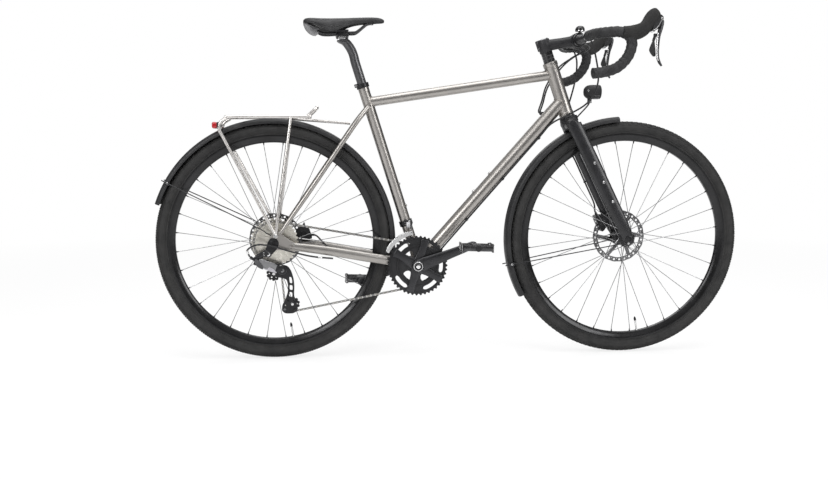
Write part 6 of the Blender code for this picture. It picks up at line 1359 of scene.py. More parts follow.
def make_pedals():
    """Flat cage pedals: an axle body, a toothed cage round it, and small grip pins."""
    for name, side in (("pedal_right", -1), ("pedal_left", 1)):
        centre = crank_end(side) + Y * side * 0.129
        turn = Matrix.Translation(centre) @ Matrix.Rotation(radians(2.0), 4, "Y")
        core = [turned([(0.0, -0.04), (0.0086, -0.04), (0.0092, -0.039), (0.0078, -0.02), (0.0076, 0.02),
            (0.0092, 0.039), (0.0086, 0.04), (0.0, 0.04)], (0, 0, 0), Y, 32)]
        for y in (-0.027, 0.0, 0.027):
            core.append(block((0.0, y, 0.0), (0.086, 0.0075, 0.012), 0.0, 0.0022, 3))
        core.append(block((0.0, 0.0, 0.0), (0.03, 0.06, 0.018), 0.0, 0.005, 3))
        cage = []
        for end in (-1, 1):
            for level in (-1, 1):
                rail = [(end * x, y, level * z) for x, y, z in ((0.04, -0.036, 0.0088),
                    (0.0452, -0.025, 0.0098), (0.0466, 0.0, 0.0092), (0.0452, 0.025, 0.0098),
                    (0.04, 0.036, 0.0088))]
                cage.append(sweep(smooth_path(rail, 5), 0.0018, 10))
            for y in (-0.034, -0.017, 0.0, 0.017, 0.034):
                x = 0.0452 if abs(y) < 0.03 else 0.0408
                cage.append(block((end * x, y, 0.0), (0.0036, 0.006, 0.019), 0.0, 0.001))
        for rim in (-1, 1):
            rail = [(x, rim * y, 0.0) for x, y in ((-0.04, 0.036), (-0.02, 0.0374),
                (0.02, 0.0374), (0.04, 0.036))]
            cage.append(sweep(smooth_path(rail, 4), [(0.0018, 0.0078)] * 13, 12, up=Z, power=0.7))
        pins = []
        for end in (-1, 1):
            for y in (-0.029, -0.01, 0.01, 0.029):
                spot = vec(end * (0.0446 if abs(y) > 0.02 else 0.0462), y, 0.0)
                pins.append(cylinder(spot - Z * 0.012, spot + Z * 0.012, 0.0013, 8))
        for meshes in (core, cage, pins):
            for mesh in meshes:
                mesh.transform(turn)
        inner = crank_end(side) + Y * side * (CRANK_END_Y + 0.006)
        axle = [cylinder(inner, centre, 0.0062, 28), cylinder(inner, inner + Y * side * 0.006, 0.0086, 6)]
        piece(name + "_body", name, "black_plastic", core, name, angle=34.0)
        piece(name + "_cage", name, "pedal_cage", cage, angle=34.0)
        piece(name + "_pins", name, "steel", pins)
        piece(name + "_axle", name, "dark_steel", axle, angle=28.0)


# Derailleurs


LINK_AXIS = vec(0.375, 0.0, 0.927).normalized()
RD_REAR = vec(-0.05, -0.087, 0.301)
RD_FRONT = vec(0.004, -0.064, 0.279)
RD_PIVOT = vec(0.023, -0.055, 0.27)
HANGER = vec(-0.0165, 0.0, 0.3197)


def make_rear_derailleur():
    along = LINK_AXIS
    bolt_at = HANGER - Y * REAR_WALL
    flange = turned([(0.0, -0.001), (0.005, -0.001), (0.005, 0.0004), (0.009, 0.0004), (0.01, 0.0016),
        (0.01, 0.0075), (0.0092, 0.01), (0.007, 0.011), (0.0, 0.011)], bolt_at, -Y, 40)
    path = [bolt_at - Y * 0.0055, bolt_at + vec(-0.006, -0.0085, 0.0035),
        bolt_at + vec(-0.018, -0.012, -0.002), RD_REAR + vec(-0.004, 0.0, 0.004)]
    arm = sweep(smooth_path(path, 5), smooth_sizes([(0.005, 0.01), (0.005, 0.0098), (0.0052, 0.0084),
        (0.0052, 0.0072)], 5), 28, power=0.75)
    pin = cylinder(RD_REAR - along * 0.012, RD_REAR + along * 0.012, 0.0052, 28)
    barrel = cylinder(RD_REAR + vec(-0.004, 0.0, 0.002), RD_REAR + vec(-0.012, 0.0, 0.0077), 0.0038, 20)
    way = vec(-0.014, 0.0, 0.01).normalized()
    foot = RD_REAR + vec(-0.011, 0.0, 0.007)
    knob = turned([(0.0, 0.0), (0.004, 0.0), (0.0042, 0.001), (0.0042, 0.0072), (0.0036, 0.0084),
        (0.0, 0.0084)], foot, way, 12)
    piece("rd_bracket_body", "frame", "black_alloy", [flange, arm, pin, barrel], "rd_bracket", angle=44.0)
    piece("rd_barrel", "frame", "black_plastic", [knob], angle=20.0)
    plate = [(REAR_AXLE.x + x, REAR_AXLE.z + z) for x, z in ((-0.0175, 0.004), (-0.01, 0.0165),
        (0.008, 0.0165), (0.0155, 0.003), (0.011, -0.0135))]
    plate += [(HANGER.x + x, HANGER.z + z) for x, z in ((0.011, -0.002), (0.0, -0.011), (-0.011, 0.0))]
    plate = side_plate([rounded_loop(plate)], -REAR_WALL - 0.0092, -REAR_WALL - 0.0072)
    piece("rd_hanger", "frame", "black_alloy", [plate], bevel=0.0005, angle=34.0)
    piece("rd_hanger_bolt", "frame", "polished", [socket_screw(bolt_at - Y * 0.01, -Y, 0.0062,
        0.0016, 0.0012)], angle=28.0)
    limit = [socket_screw(bolt_at + vec(-0.012, -0.0146, 0.0008 + 0.0034 * k), -Y, 0.0019, 0.0014, 0.0008)
        for k in (-1, 1)]
    ends = [socket_screw(RD_REAR + along * side * 0.0118, along * side, 0.0032, 0.0012, 0.0008)
        for side in (-1, 1)]
    piece("rd_bracket_screws", "frame", "steel", limit + ends, angle=28.0)
    reach = RD_FRONT - RD_REAR
    across = facing(along.cross(reach).normalized(), -Y)
    for name, offset, wide, finish in (("rd_outer_link", 0.0073, 0.011, "dark_steel"),
            ("rd_inner_link", -0.0073, 0.008, "black_alloy")):
        shift = across * offset
        spots = [RD_REAR + shift + reach * share for share in (0.05, 0.18, 0.5)]
        spots += [RD_FRONT + shift - reach * share for share in (0.18, 0.02)]
        sizes = [(wide * 0.86, 0.0014), (wide * 1.0, 0.002), (wide * 1.05, 0.0022),
            (wide * 0.98, 0.002), (wide * 0.8, 0.0014)]
        piece(name + "_plate", name, finish, [sweep(smooth_path(spots, 4), smooth_sizes(sizes, 4), 28,
            up=across, power=0.62)], name, angle=46.0)
        heads = []
        for share in (0.07, 0.93):
            for level in (-0.55, 0.55):
                out = across * copysign(1.0, offset)
                at = RD_REAR + reach * share + shift + along * wide * level + out * 0.0014
                heads.append(socket_screw(at, out, 0.002, 0.0012, 0.0006))
        piece(name + "_pins", name, "dark_steel", heads, angle=28.0)
    shoulder = [(-0.054, 0.306), (-0.05, 0.3085), (-0.04, 0.301), (-0.03, 0.288), (-0.03, 0.2765),
        (-0.045, 0.2835), (-0.0545, 0.295)]
    face = [(-0.033, 0.285), (-0.02, 0.2845), (-0.005, 0.279), (0.008, 0.266), (0.005, 0.264),
        (-0.014, 0.27), (-0.03, 0.2765)]
    plates = [("rd_link_shoulder", "post_grey", RD_REAR.y - 0.01, 0.0016, 0.0012, shoulder),
        ("rd_link_face", "lilac_face", RD_FRONT.y - 0.016, 0.0014, 0.001, face)]
    for name, finish, y, half, bevel, corners in plates:
        plate = side_plate([rounded_loop(corners)], y - half, y + half)
        piece(name, "rd_outer_link", finish, [plate], bevel=bevel, angle=40.0, segments=3)
    end = RD_PIVOT - Y * 0.008
    barrel = cylinder(RD_FRONT - along * 0.0115, RD_FRONT + along * 0.0115, 0.0052, 28)
    bridge = sweep(smooth_path([RD_FRONT, RD_FRONT.lerp(end, 0.5) - Y * 0.0012, end], 5),
        smooth_sizes([(0.0054, 0.0088), (0.0062, 0.0104), (0.006, 0.011)], 5), 28, power=0.8)
    drum = turned([(0.0, -0.007), (0.0118, -0.007), (0.0125, -0.006), (0.0125, 0.0045), (0.0116, 0.0058),
        (0.008, 0.0062), (0.0074, 0.005), (0.0, 0.005)], end, -Y, 44)
    piece("rd_knuckle_body", "rd_knuckle", "black_alloy", [barrel, bridge, drum], "rd_knuckle", angle=44.0)
    piece("rd_knuckle_bolt", "rd_knuckle", "dark_steel",
        [socket_screw(end - Y * 0.0048, -Y, 0.0056, 0.0014, 0.001)], angle=28.0)
    make_cage()


def rounded_loop(points, steps=5):
    """A closed outline through the given corners, with every corner eased."""
    count = len(points)
    ends = [vec(x, 0.0, z) for x, z in points]
    loop = []
    for i in range(count):
        a, b, c = ends[i - 1], ends[i], ends[(i + 1) % count]
        into, out = b.lerp(a, 0.35), b.lerp(c, 0.35)
        for k in range(steps + 1):
            t = k / steps
            spot = into * (1 - t) ** 2 + b * 2 * t * (1 - t) + out * t**2
            loop.append((spot.x, spot.z))
    return loop


def cage_outline():
    """The cage's curved arm, and the loop round its lower wheel."""
    return rounded_loop([(0.0221, 0.2825), (0.038, 0.2779), (0.048, 0.2631), (0.0545, 0.2397),
        (0.0565, 0.2176), (0.0551, 0.1956), (0.056, 0.1808), (0.0644, 0.164), (0.0641, 0.145),
        (0.0514, 0.1375), (0.028, 0.1375), (0.0185, 0.146), (0.0195, 0.1618), (0.029, 0.1788),
        (0.0366, 0.2008), (0.0376, 0.2228), (0.0335, 0.24), (0.011, 0.2453), (-0.0097, 0.249),
        (-0.0135, 0.264), (0.0003, 0.27)])


def make_cage():
    near, far = CHAIN_Y - 0.0032, CHAIN_Y + 0.0032
    slots = [rounded_loop([(0.0412, 0.247), (0.0486, 0.245), (0.0505, 0.2265), (0.0428, 0.227)]),
        rounded_loop([(0.0425, 0.2225), (0.0508, 0.2215), (0.0508, 0.206), (0.042, 0.2075)]),
        rounded_loop([(0.0415, 0.202), (0.05, 0.2005), (0.0495, 0.185), (0.04, 0.1875)])]
    eyes = [hole((x, z), size, 18) for x, z, size in ((0.0268, 0.148, 0.0046), (0.0556, 0.15, 0.0038),
        (0.0305, 0.1625, 0.003), (0.0375, 0.176, 0.0034), (0.056, 0.1765, 0.0036))]
    outer = side_plate([cage_outline()] + slots + eyes, near - 0.0016, near)
    inner = side_plate([cage_outline()] + slots, far, far + 0.0016)
    piece("cage_outer_plate", "rd_cage", "black_alloy", [outer], "rd_cage", bevel=0.0004)
    piece("cage_inner_plate", "rd_cage", "dark_steel", [inner], bevel=0.0004)
    pivot = cylinder((RD_PIVOT.x, RD_PIVOT.y - 0.0007, RD_PIVOT.z),
        (RD_PIVOT.x, near - 0.0008, RD_PIVOT.z), 0.0105, 40)
    shafts = [pivot]
    for at in (GUIDE, TENSION):
        shafts.append(cylinder((at.x, near - 0.0016, at.z), (at.x, far + 0.0026, at.z), 0.003, 24))
    piece("cage_pins", "rd_cage", "dark_steel", shafts)
    bolts = [socket_screw((at.x, near - 0.0014, at.z), -Y, 0.0042, 0.0012, 0.0008) for at in (GUIDE, TENSION)]
    piece("cage_bolts", "rd_cage", "steel", bolts, angle=28.0)
    for name, at, phase in (("guide_pulley", GUIDE, 0.1), ("tension_pulley", TENSION, 0.25)):
        centre = (at.x, at.z)
        loops = [gear(centre, 11, pitch_radius(11), -0.0004, 0.0038, phase), hole(centre, 0.0086, 28)]
        loops += [hole(polar(centre, 0.0128, 2.0 * pi * k / 6), 0.0022, 12) for k in range(6)]
        wheel = side_plate(loops, at.y - 0.0012, at.y + 0.0012)
        collar = turned(mirrored([(0.0034, -0.0016), (0.0088, -0.0016)]), at, Y, 32)
        piece(name + "_wheel", name, "black_plastic", [wheel], name, bevel=0.0002)
        piece(name + "_bearing", name, "dark_steel", [collar], angle=28.0)


FD_TOP = vec(0.393, -0.0335, 0.401)
FD_LOW = vec(0.393, -0.0415, 0.389)


def make_front_derailleur():
    clamp_at = on_seat_axis(0.4)
    band = turned(mirrored([(0.016, -0.008), (0.0192, -0.008), (0.0198, -0.007)]), clamp_at, SEAT_UP, 56)
    arm = block((clamp_at.x + 0.004, -0.0215, 0.401), (0.026, 0.011, 0.018), 0.0, 0.0035, 3)
    lug = block(FD_TOP + vec(-0.011, 0.0035, 0.0), (0.005, 0.011, 0.008), 0.0, 0.0015, 3)
    pin = cylinder(FD_TOP - X * 0.0135, FD_TOP - X * 0.0065, 0.0035, 24)
    piece("fd_base_body", "frame", "black_alloy", [band, arm, lug, pin], "fd_base", angle=40.0)
    screws = [socket_screw((clamp_at.x + 0.0075, -0.0268, 0.4045), -Y, 0.0034, 0.0018, 0.001),
        socket_screw((clamp_at.x - 0.004, -0.0268, 0.3975), -Y, 0.0022, 0.0014, 0.0008)]
    piece("fd_base_screws", "frame", "steel", screws, angle=28.0)
    reach = FD_LOW - FD_TOP
    spots = [FD_TOP - reach * 0.18, FD_TOP + reach * 0.2, FD_LOW - reach * 0.2, FD_LOW + reach * 0.12]
    link = sweep(spots, [(0.0024, 0.0071), (0.0028, 0.0071), (0.0028, 0.0071),
        (0.0024, 0.0071)], 24, up=X, power=0.7)
    piece("fd_link_body", "fd_link", "dark_steel", [link], "fd_link", angle=44.0)
    at = FD_TOP.lerp(FD_LOW, 0.3) + vec(0.001, -0.002, -0.0012)
    screw = socket_screw(at, (0, -0.83, -0.55), 0.0024, 0.0014, 0.0008)
    piece("fd_link_screw", "fd_link", "polished", [screw], angle=28.0)
    big = pitch_radius(43) + 0.0021
    plates, rims, spacers = [], [], []
    for y, low, high in ((-0.035, big + 0.003, big + 0.014), (-0.0478, big + 0.0022, big + 0.0145)):
        outer, inner = [[polar((BB.x, BB.z), reach + rise * (k - 12) ** 2 / 144, radians(98 + 58 * k / 24))
            for k in range(25)] for reach, rise in ((high, -0.0016), (low, 0.001))]
        plates.append(side_plate([outer + inner[::-1]], y - 0.0006, y + 0.0006))
        rims.append(sweep([(x, y, z) for x, z in outer], 0.001, 8))
    piece("fd_cage_plates", "fd_cage", "steel", plates + rims, "fd_cage", bevel=0.0003)
    for degrees, radius in ((100.0, big + 0.0115), (155.0, big + 0.012)):
        x, z = polar((0.0, 0.0), radius, radians(degrees))
        at = BB + vec(x, 0.0, z)
        spacers.append(cylinder(at - Y * 0.0484, at - Y * 0.0344, 0.002, 16))
    spacers.append(block(FD_LOW + vec(0.0083, 0.0012, -0.0045), (0.0036, 0.014, 0.019), 0.0, 0.001, 3))
    piece("fd_cage_spacers", "fd_cage", "dark_steel", spacers, angle=34.0)


# Seat


def table(rows, share):
    """A value read off a table of (share, value) rows."""
    for (a, low), (b, high) in zip(rows, rows[1:]):
        if share <= b:
            t = (share - a) / (b - a)
            t = t * t * (3.0 - 2.0 * t) * 0.5 + t * 0.5
            return low + (high - low) * t
    return rows[-1][1]


TILT = vec(0.2045, 0.0, 0.9375)
RAIL_Z = 0.9545
SADDLE_REAR = 0.0913
SADDLE_L = 0.2355
CROWN = ((0.0, 0.988), (0.03, 0.993), (0.08, 0.9947), (0.18, 0.9936), (0.28, 0.9938), (0.4, 0.9952),
    (0.52, 0.9966), (0.66, 0.9985), (0.8, 0.9996), (0.9, 0.9994), (0.96, 0.9975), (1.0, 0.992))
WING = ((0.0, 0.979), (0.05, 0.9765), (0.137, 0.9725), (0.21, 0.964), (0.28, 0.956), (0.33, 0.953),
    (0.38, 0.9545), (0.43, 0.959), (0.48, 0.965), (0.53, 0.9705), (0.6, 0.9765), (0.68, 0.98), (0.8, 0.9825),
    (0.92, 0.984), (1.0, 0.985))
WIDE = ((0.0, 0.05), (0.03, 0.06), (0.1, 0.069), (0.22, 0.0715), (0.32, 0.065), (0.42, 0.05), (0.52, 0.0345),
    (0.62, 0.0255), (0.75, 0.0215), (0.9, 0.0195), (0.96, 0.017), (1.0, 0.011))


def saddle_ring(share):
    """A cross-section of the saddle: a shallow centre channel, round shoulders and turned-down wings."""
    x = SADDLE_REAR + SADDLE_L * share
    top, low, half = table(CROWN, share), table(WING, share), table(WIDE, share)
    drop = top - low
    channel = 0.0028 * max(0.0, sin(pi * min(1.0, max(0.0, (share - 0.06) / 0.86))))
    under = top - min(0.013, drop * 0.62)
    right = [(0.0, top - channel), (0.1, top - channel * 0.9), (0.22, top - channel * 0.25), (0.4, top),
        (0.62, top - drop * 0.035), (0.8, top - drop * 0.13), (0.92, top - drop * 0.32),
        (0.985, top - drop * 0.58), (1.0, low + drop * 0.14), (0.985, low + drop * 0.02), (0.955, low),
        (0.92, low + drop * 0.06), (0.86, max(low + drop * 0.3, under - drop * 0.2)),
        (0.62, under), (0.0, under + 0.0015)]
    ring = [vec(x, half * u, z) for u, z in right]
    return ring + [vec(p.x, -p.y, p.z) for p in ring[-2:0:-1]]


def make_saddle():
    shares = [0.0, 0.012, 0.03, 0.06, 0.1, 0.145, 0.19, 0.235, 0.28, 0.32, 0.36, 0.4, 0.44, 0.48, 0.53, 0.58,
        0.64, 0.7, 0.77, 0.84, 0.9, 0.945, 0.975, 0.992, 1.0]
    rings = []
    for share in shares:
        ring = saddle_ring(share)
        if share in (0.0, 1.0):
            middle = sum(ring, Vector()) / len(ring)
            ring = [middle.lerp(p, 0.8) for p in ring]
        rings.append(ring)
    cover = mesh_of(rings)
    saddle = piece("saddle_cover", "saddle", "saddle_cover", [cover], "saddle", subdivide=1, angle=80.0)
    seams = []
    for side in (-1, 1):
        line = []
        for k in range(41):
            ring = saddle_ring(0.03 + 0.945 * k / 40)
            spot = ring[7].lerp(ring[8], 0.45)
            line.append((spot.x, side * spot.y, spot.z))
        seams.append(sweep(line, 0.0006, 6))
    piece("saddle_edging", "saddle", "black_plastic", seams, angle=60.0)
    rear = []
    for share, low, wide in ((0.012, 0.9735, 0.042), (0.03, 0.966, 0.05), (0.06, 0.958, 0.052),
            (0.09, 0.9525, 0.048), (0.12, 0.949, 0.04), (0.15, 0.948, 0.033),
            (0.18, 0.953, 0.027), (0.2, 0.96, 0.024)):
        at_x = SADDLE_REAR + SADDLE_L * share
        high = table(WING, share) + 0.004
        ring = []
        for k in range(20):
            turn = 2.0 * pi * k / 20
            c, s = cos(turn), sin(turn)
            across = wide * copysign(abs(c) ** 0.55, c)
            ring.append(vec(at_x, across,
                (low + high) / 2.0 + (high - low) / 2.0 * copysign(abs(s) ** 0.6, s)))
        rear.append(ring)
    piece("saddle_base", "saddle", "base_grey", [mesh_of(rear)], angle=50.0)
    sides = []
    for side in (-1, 1):
        y = side * 0.022
        points = [vec(x, y * share, RAIL_Z + z) for x, share, z in ((SADDLE_REAR + 0.02, 1.2, 0.019),
            (SADDLE_REAR + 0.034, 1.16, 0.0095), (SADDLE_REAR + 0.052, 1.08, -0.001),
            (SADDLE_REAR + 0.07, 1.0, -0.003), (SADDLE_REAR + 0.088, 1.0, -0.0022), (TILT.x, 1.0, -0.0004),
            (0.2365, 1.0, 0.0), (0.248, 0.9, 0.004), (0.268, 0.68, 0.02),
            (0.278, 0.5, 0.0265), (0.292, 0.4, 0.029))]
        sides.append(sweep(smooth_path(points, 6), 0.0035, 18))
        sides.append(cylinder(points[0] - vec(0.006, 0.0, -0.0035),
            points[0] + vec(0.01, 0.0, -0.0058), 0.0058, 20))
    tail = cylinder((0.292, -0.011, RAIL_Z + 0.029), (0.292, 0.011, RAIL_Z + 0.029), 0.0048, 18)
    piece("saddle_rail_pair", "saddle", "rail_black", sides + [tail], "saddle_rails")


def make_seatpost():
    low = SEAT_TOP - SEAT_UP * 0.09
    points = [low, on_seat_axis(0.82), on_seat_axis(0.848), on_seat_axis(0.87), vec(0.2367, 0.0, 0.892),
        vec(0.23, 0.0, 0.908), vec(0.2205, 0.0, 0.9225), vec(0.211, 0.0, 0.9318), vec(0.2045, 0.0, 0.9365)]
    sizes = [(0.0136, 0.0136)] * 4 + [(0.0134, 0.0136), (0.0134, 0.0138), (0.0132, 0.0146),
        (0.0122, 0.016), (0.009, 0.017)]
    post = sweep(smooth_path(points, 5), smooth_sizes(sizes, 5), 40, up=Y)
    yoke = cylinder(TILT - Y * 0.017, TILT + Y * 0.017, 0.0058, 32)
    heel = sweep(smooth_path([(0.189, 0.0, 0.9335), (0.196, 0.0, 0.931), (0.206, 0.0, 0.93),
        (0.215, 0.0, 0.929)], 4), smooth_sizes([(0.002, 0.013), (0.0046, 0.0165), (0.0085, 0.017),
        (0.01, 0.016)], 4), 28, up=Y, power=0.8)
    piece("seatpost_tube", "seatpost", "post_grey", [post, yoke, heel], "seatpost", angle=50.0)
    x = TILT.x
    clamp = [block((x, y, z), size, 0.0, bevel, 3) for y, z, size, bevel in ((0.0, 0.9476,
        (0.038, 0.056, 0.0062), 0.0022), (0.0, 0.9606, (0.034, 0.055, 0.0044), 0.002),
        (0.0, 0.9555, (0.02, 0.03, 0.012), 0.003), (-0.022, 0.959, (0.03, 0.0105, 0.0064), 0.0022),
        (-0.022, 0.95, (0.034, 0.0105, 0.005), 0.0018), (0.022, 0.959, (0.03, 0.0105, 0.0064), 0.0022),
        (0.022, 0.95, (0.034, 0.0105, 0.005), 0.0018))]
    piece("clamp_body", "saddle_cradle", "black_alloy", clamp, "saddle_clamp", angle=40.0)
    plates = [block((x, 0.0, 0.9425), (0.024, 0.044, 0.002), 0.0, 0.0006),
        block((x, 0.0, 0.939), (0.018, 0.037, 0.003), 0.0, 0.0008)]
    bolts = []
    for x in (0.1895, 0.2195):
        bolts.append(cylinder((x, 0.0, 0.938), (x, 0.0, 0.9632), 0.0026, 18))
        bolts.append(socket_screw((x, 0.0, 0.9626), Z, 0.0042, 0.0028, 0.0016))
    piece("clamp_plates", "saddle_cradle", "steel", plates, angle=34.0)
    piece("clamp_bolts", "saddle_cradle", "dark_steel", bolts, angle=28.0)


# Cockpit


BAR = vec(0.898, 0.0, 0.935)
BAR_HALF = 0.217
TAPE_START = 0.12
LEVER_Y = 0.22


def make_stem():
    base = on_steering_axis(0.92)
    head = HEAD_TOP + STEER_UP * GAP
    along = (BAR - base).normalized()
    clamp = turned([(0.0146, -0.02), (0.0184, -0.02), (0.019, -0.0192), (0.019, 0.0162), (0.0182, 0.0175),
        (0.0146, 0.0175)], base, STEER_UP, 48)
    body = sweep(smooth_path([base + (BAR - base) * 0.02, base.lerp(BAR, 0.25), base.lerp(BAR, 0.55),
        base.lerp(BAR, 0.8), BAR - along * 0.008], 4), smooth_sizes([(0.0168, 0.0168), (0.016, 0.0163),
        (0.0152, 0.0156), (0.0165, 0.016), (0.0205, 0.0175)], 4), 40, up=Y.cross(BAR - base), power=0.86)
    grip = turned(mirrored([(0.016, -0.0225), (0.0206, -0.0225), (0.0214, -0.0215)]), BAR, Y, 48)
    back = base - vec(0.0185, 0.0, 0.0) - STEER_UP * 0.0015
    lug = block(back, (0.008, 0.02, 0.032), radians(-19.0), 0.0025, 3)
    piece("stem_body", "steering", "satin_black", [clamp, body, grip, lug], "stem", angle=44.0)
    over = facing(Y.cross(along), Z)
    screws = []
    for level in (-1, 1):
        for side in (-1, 1):
            at = BAR + along * 0.0178 + over * (0.012 * level) + Y * (0.0155 * side)
            screws.append(socket_screw(at, along, 0.0034, 0.0022, 0.0014))
        screws.append(socket_screw(base + STEER_UP * (0.0095 * level - 0.002) + vec(-0.0205, -0.0096, 0.0),
            -Y, 0.0032, 0.0016, 0.0012))
    piece("stem_screws", "steering", "dark_steel", screws, angle=28.0)
    split = [block(BAR + along * 0.003 + over * (0.019 * level), (0.0012, 0.044, 0.006), radians(-9.0), 0.0)
        for level in (-1, 1)]
    piece("stem_split", "steering", "black_plastic", split)
    span = (base - STEER_UP * 0.02 - head).dot(STEER_UP)
    spacers = []
    for k in range(3):
        low, high = span * k / 3.0 + 0.0002, span * (k + 1) / 3.0 - 0.0002
        spacers.append(turned([(0.0146, low), (0.0166, low), (0.0169, low + 0.0005), (0.0169, high - 0.0005),
            (0.0166, high), (0.0146, high)], head, STEER_UP, 48))
    piece("steerer_spacers", "steering", "gloss_black", spacers, angle=30.0)
    washer = [(0.015, span - 0.0006), (0.0171, span - 0.0006), (0.0171, span + 0.0004),
        (0.015, span + 0.0004)]
    cover = [(0.015, 0.0), (0.0185, 0.0), (0.0182, 0.0022), (0.0172, 0.003), (0.015, 0.003)]
    rings = [turned(profile, head, STEER_UP, 48) for profile in (washer, cover)]
    piece("headset_top", "steering", "black_alloy", rings, angle=30.0)
    cap_at = base + STEER_UP * 0.0172
    cap = turned([(0.0, 0.0), (0.0164, 0.0), (0.0166, 0.0012), (0.015, 0.0032), (0.0075, 0.0036),
        (0.007, 0.0026), (0.0, 0.0026)], cap_at, STEER_UP, 48)
    piece("stem_cap", "steering", "dark_steel", [cap], angle=30.0)
    piece("stem_cap_screw", "steering", "steel", [socket_screw(cap_at + STEER_UP * 0.002, STEER_UP, 0.004,
        0.0022, 0.0015)], angle=28.0)


def bar_points(side):
    """The handlebar's middle line on one side: the straight top, then its bends."""
    y = side * BAR_HALF
    x, z = BAR.x, BAR.z
    bends = ((0.003, 0.8, 0.0), (0.024, 0.95, 0.0), (0.06, 0.995, 0.001), (0.086, 1.0, -0.01),
        (0.094, 1.005, -0.032), (0.083, 1.01, -0.066), (0.056, 1.02, -0.094), (0.022, 1.03, -0.107),
        (-0.014, 1.04, -0.112))
    return ([vec(x, side * reach, z) for reach in (0.0, 0.042, 0.06, TAPE_START)] + [vec(x + ahead, y * share,
        z + up) for ahead, share, up in bends])


def bar_path(side):
    points = bar_points(side)
    return points[:4] + smooth_path(points[4:], 8)


def resampled(path, step):
    """The same path with points a fixed distance apart."""
    lengths = [0.0]
    for a, b in zip(path, path[1:]):
        lengths.append(lengths[-1] + (b - a).length)
    count = max(2, round(lengths[-1] / step))
    spots, j = [], 0
    for i in range(count + 1):
        want = lengths[-1] * i / count
        while j < len(path) - 2 and lengths[j + 1] < want:
            j += 1
        spots.append(path[j].lerp(path[j + 1], (want - lengths[j]) / max(lengths[j + 1] - lengths[j], 1e-9)))
    return spots


def wrapped_tape(path, side):
    """Tape wound round the bar: each turn laps over the last with a soft edge."""
    low, high, pitch, step = 0.0141, 0.0152, 0.0155, 0.0016
    spots = resampled(path, step)
    count = 30
    rings, across = [], None
    for i, spot in enumerate(spots):
        along = (spots[min(i + 1, len(spots) - 1)] - spots[max(i - 1, 0)]).normalized()
        if across is None:
            across, _ = frame_of(along)
        across = (across - along * across.dot(along)).normalized()
        over = across.cross(along).normalized()
        ring = []
        for k in range(count):
            turn = 2.0 * pi * k / count
            phase = (i * step / pitch + side * k / count) % 1.0
            lap = phase / 0.84 if phase < 0.84 else (1.0 - phase) / 0.16
            radius = low + (high - low) * (lap * lap * (3.0 - 2.0 * lap))
            ring.append(spot + across * (radius * cos(turn)) + over * (radius * sin(turn)))
        rings.append(ring)
    return mesh_of(rings)


def bar_radius(reach):
    """The bar is thick in its clamp and narrows to its grips."""
    if reach < 0.045:
        return 0.0159
    return 0.0119 if reach > 0.075 else 0.0159 - 0.004 * (reach - 0.045) / 0.03


def make_bars():
    right, left = bar_path(-1), bar_path(1)
    path = right[::-1] + left[1:]
    dense = [path[0]]
    for a, b in zip(path, path[1:]):
        steps = max(1, round((b - a).length / 0.008))
        dense += [a.lerp(b, k / steps) for k in range(1, steps + 1)]
    tube = sweep(dense, [bar_radius(abs(spot.y)) for spot in dense], 28)
    piece("handlebar_tube", "steering", "satin_black", [tube], "handlebar", angle=50.0)
    for word, side in (("right", -1), ("left", 1)):
        run = [p for p in bar_path(side) if abs(p.y) > TAPE_START - GAP]
        piece("wrapped_tape_" + word, "steering", "tape", [wrapped_tape(run, side)],
            "bar_tape_" + word, angle=75.0)
        finish = cylinder(run[0] - Y * side * 0.0008, run[0] + Y * side * 0.012, 0.0154, 36)
        piece("tape_finish_" + word, "steering", "gloss_black", [finish])
        tip = run[-1]
        way = (tip - run[-2]).normalized()
        plug = turned([(0.0, -0.004), (0.0138, -0.004), (0.015, -0.0002), (0.0148, 0.0022), (0.012, 0.0036),
            (0.0, 0.004)], tip, way, 36)
        piece("bar_plug_" + word, "steering", "black_plastic", [plug], angle=34.0)


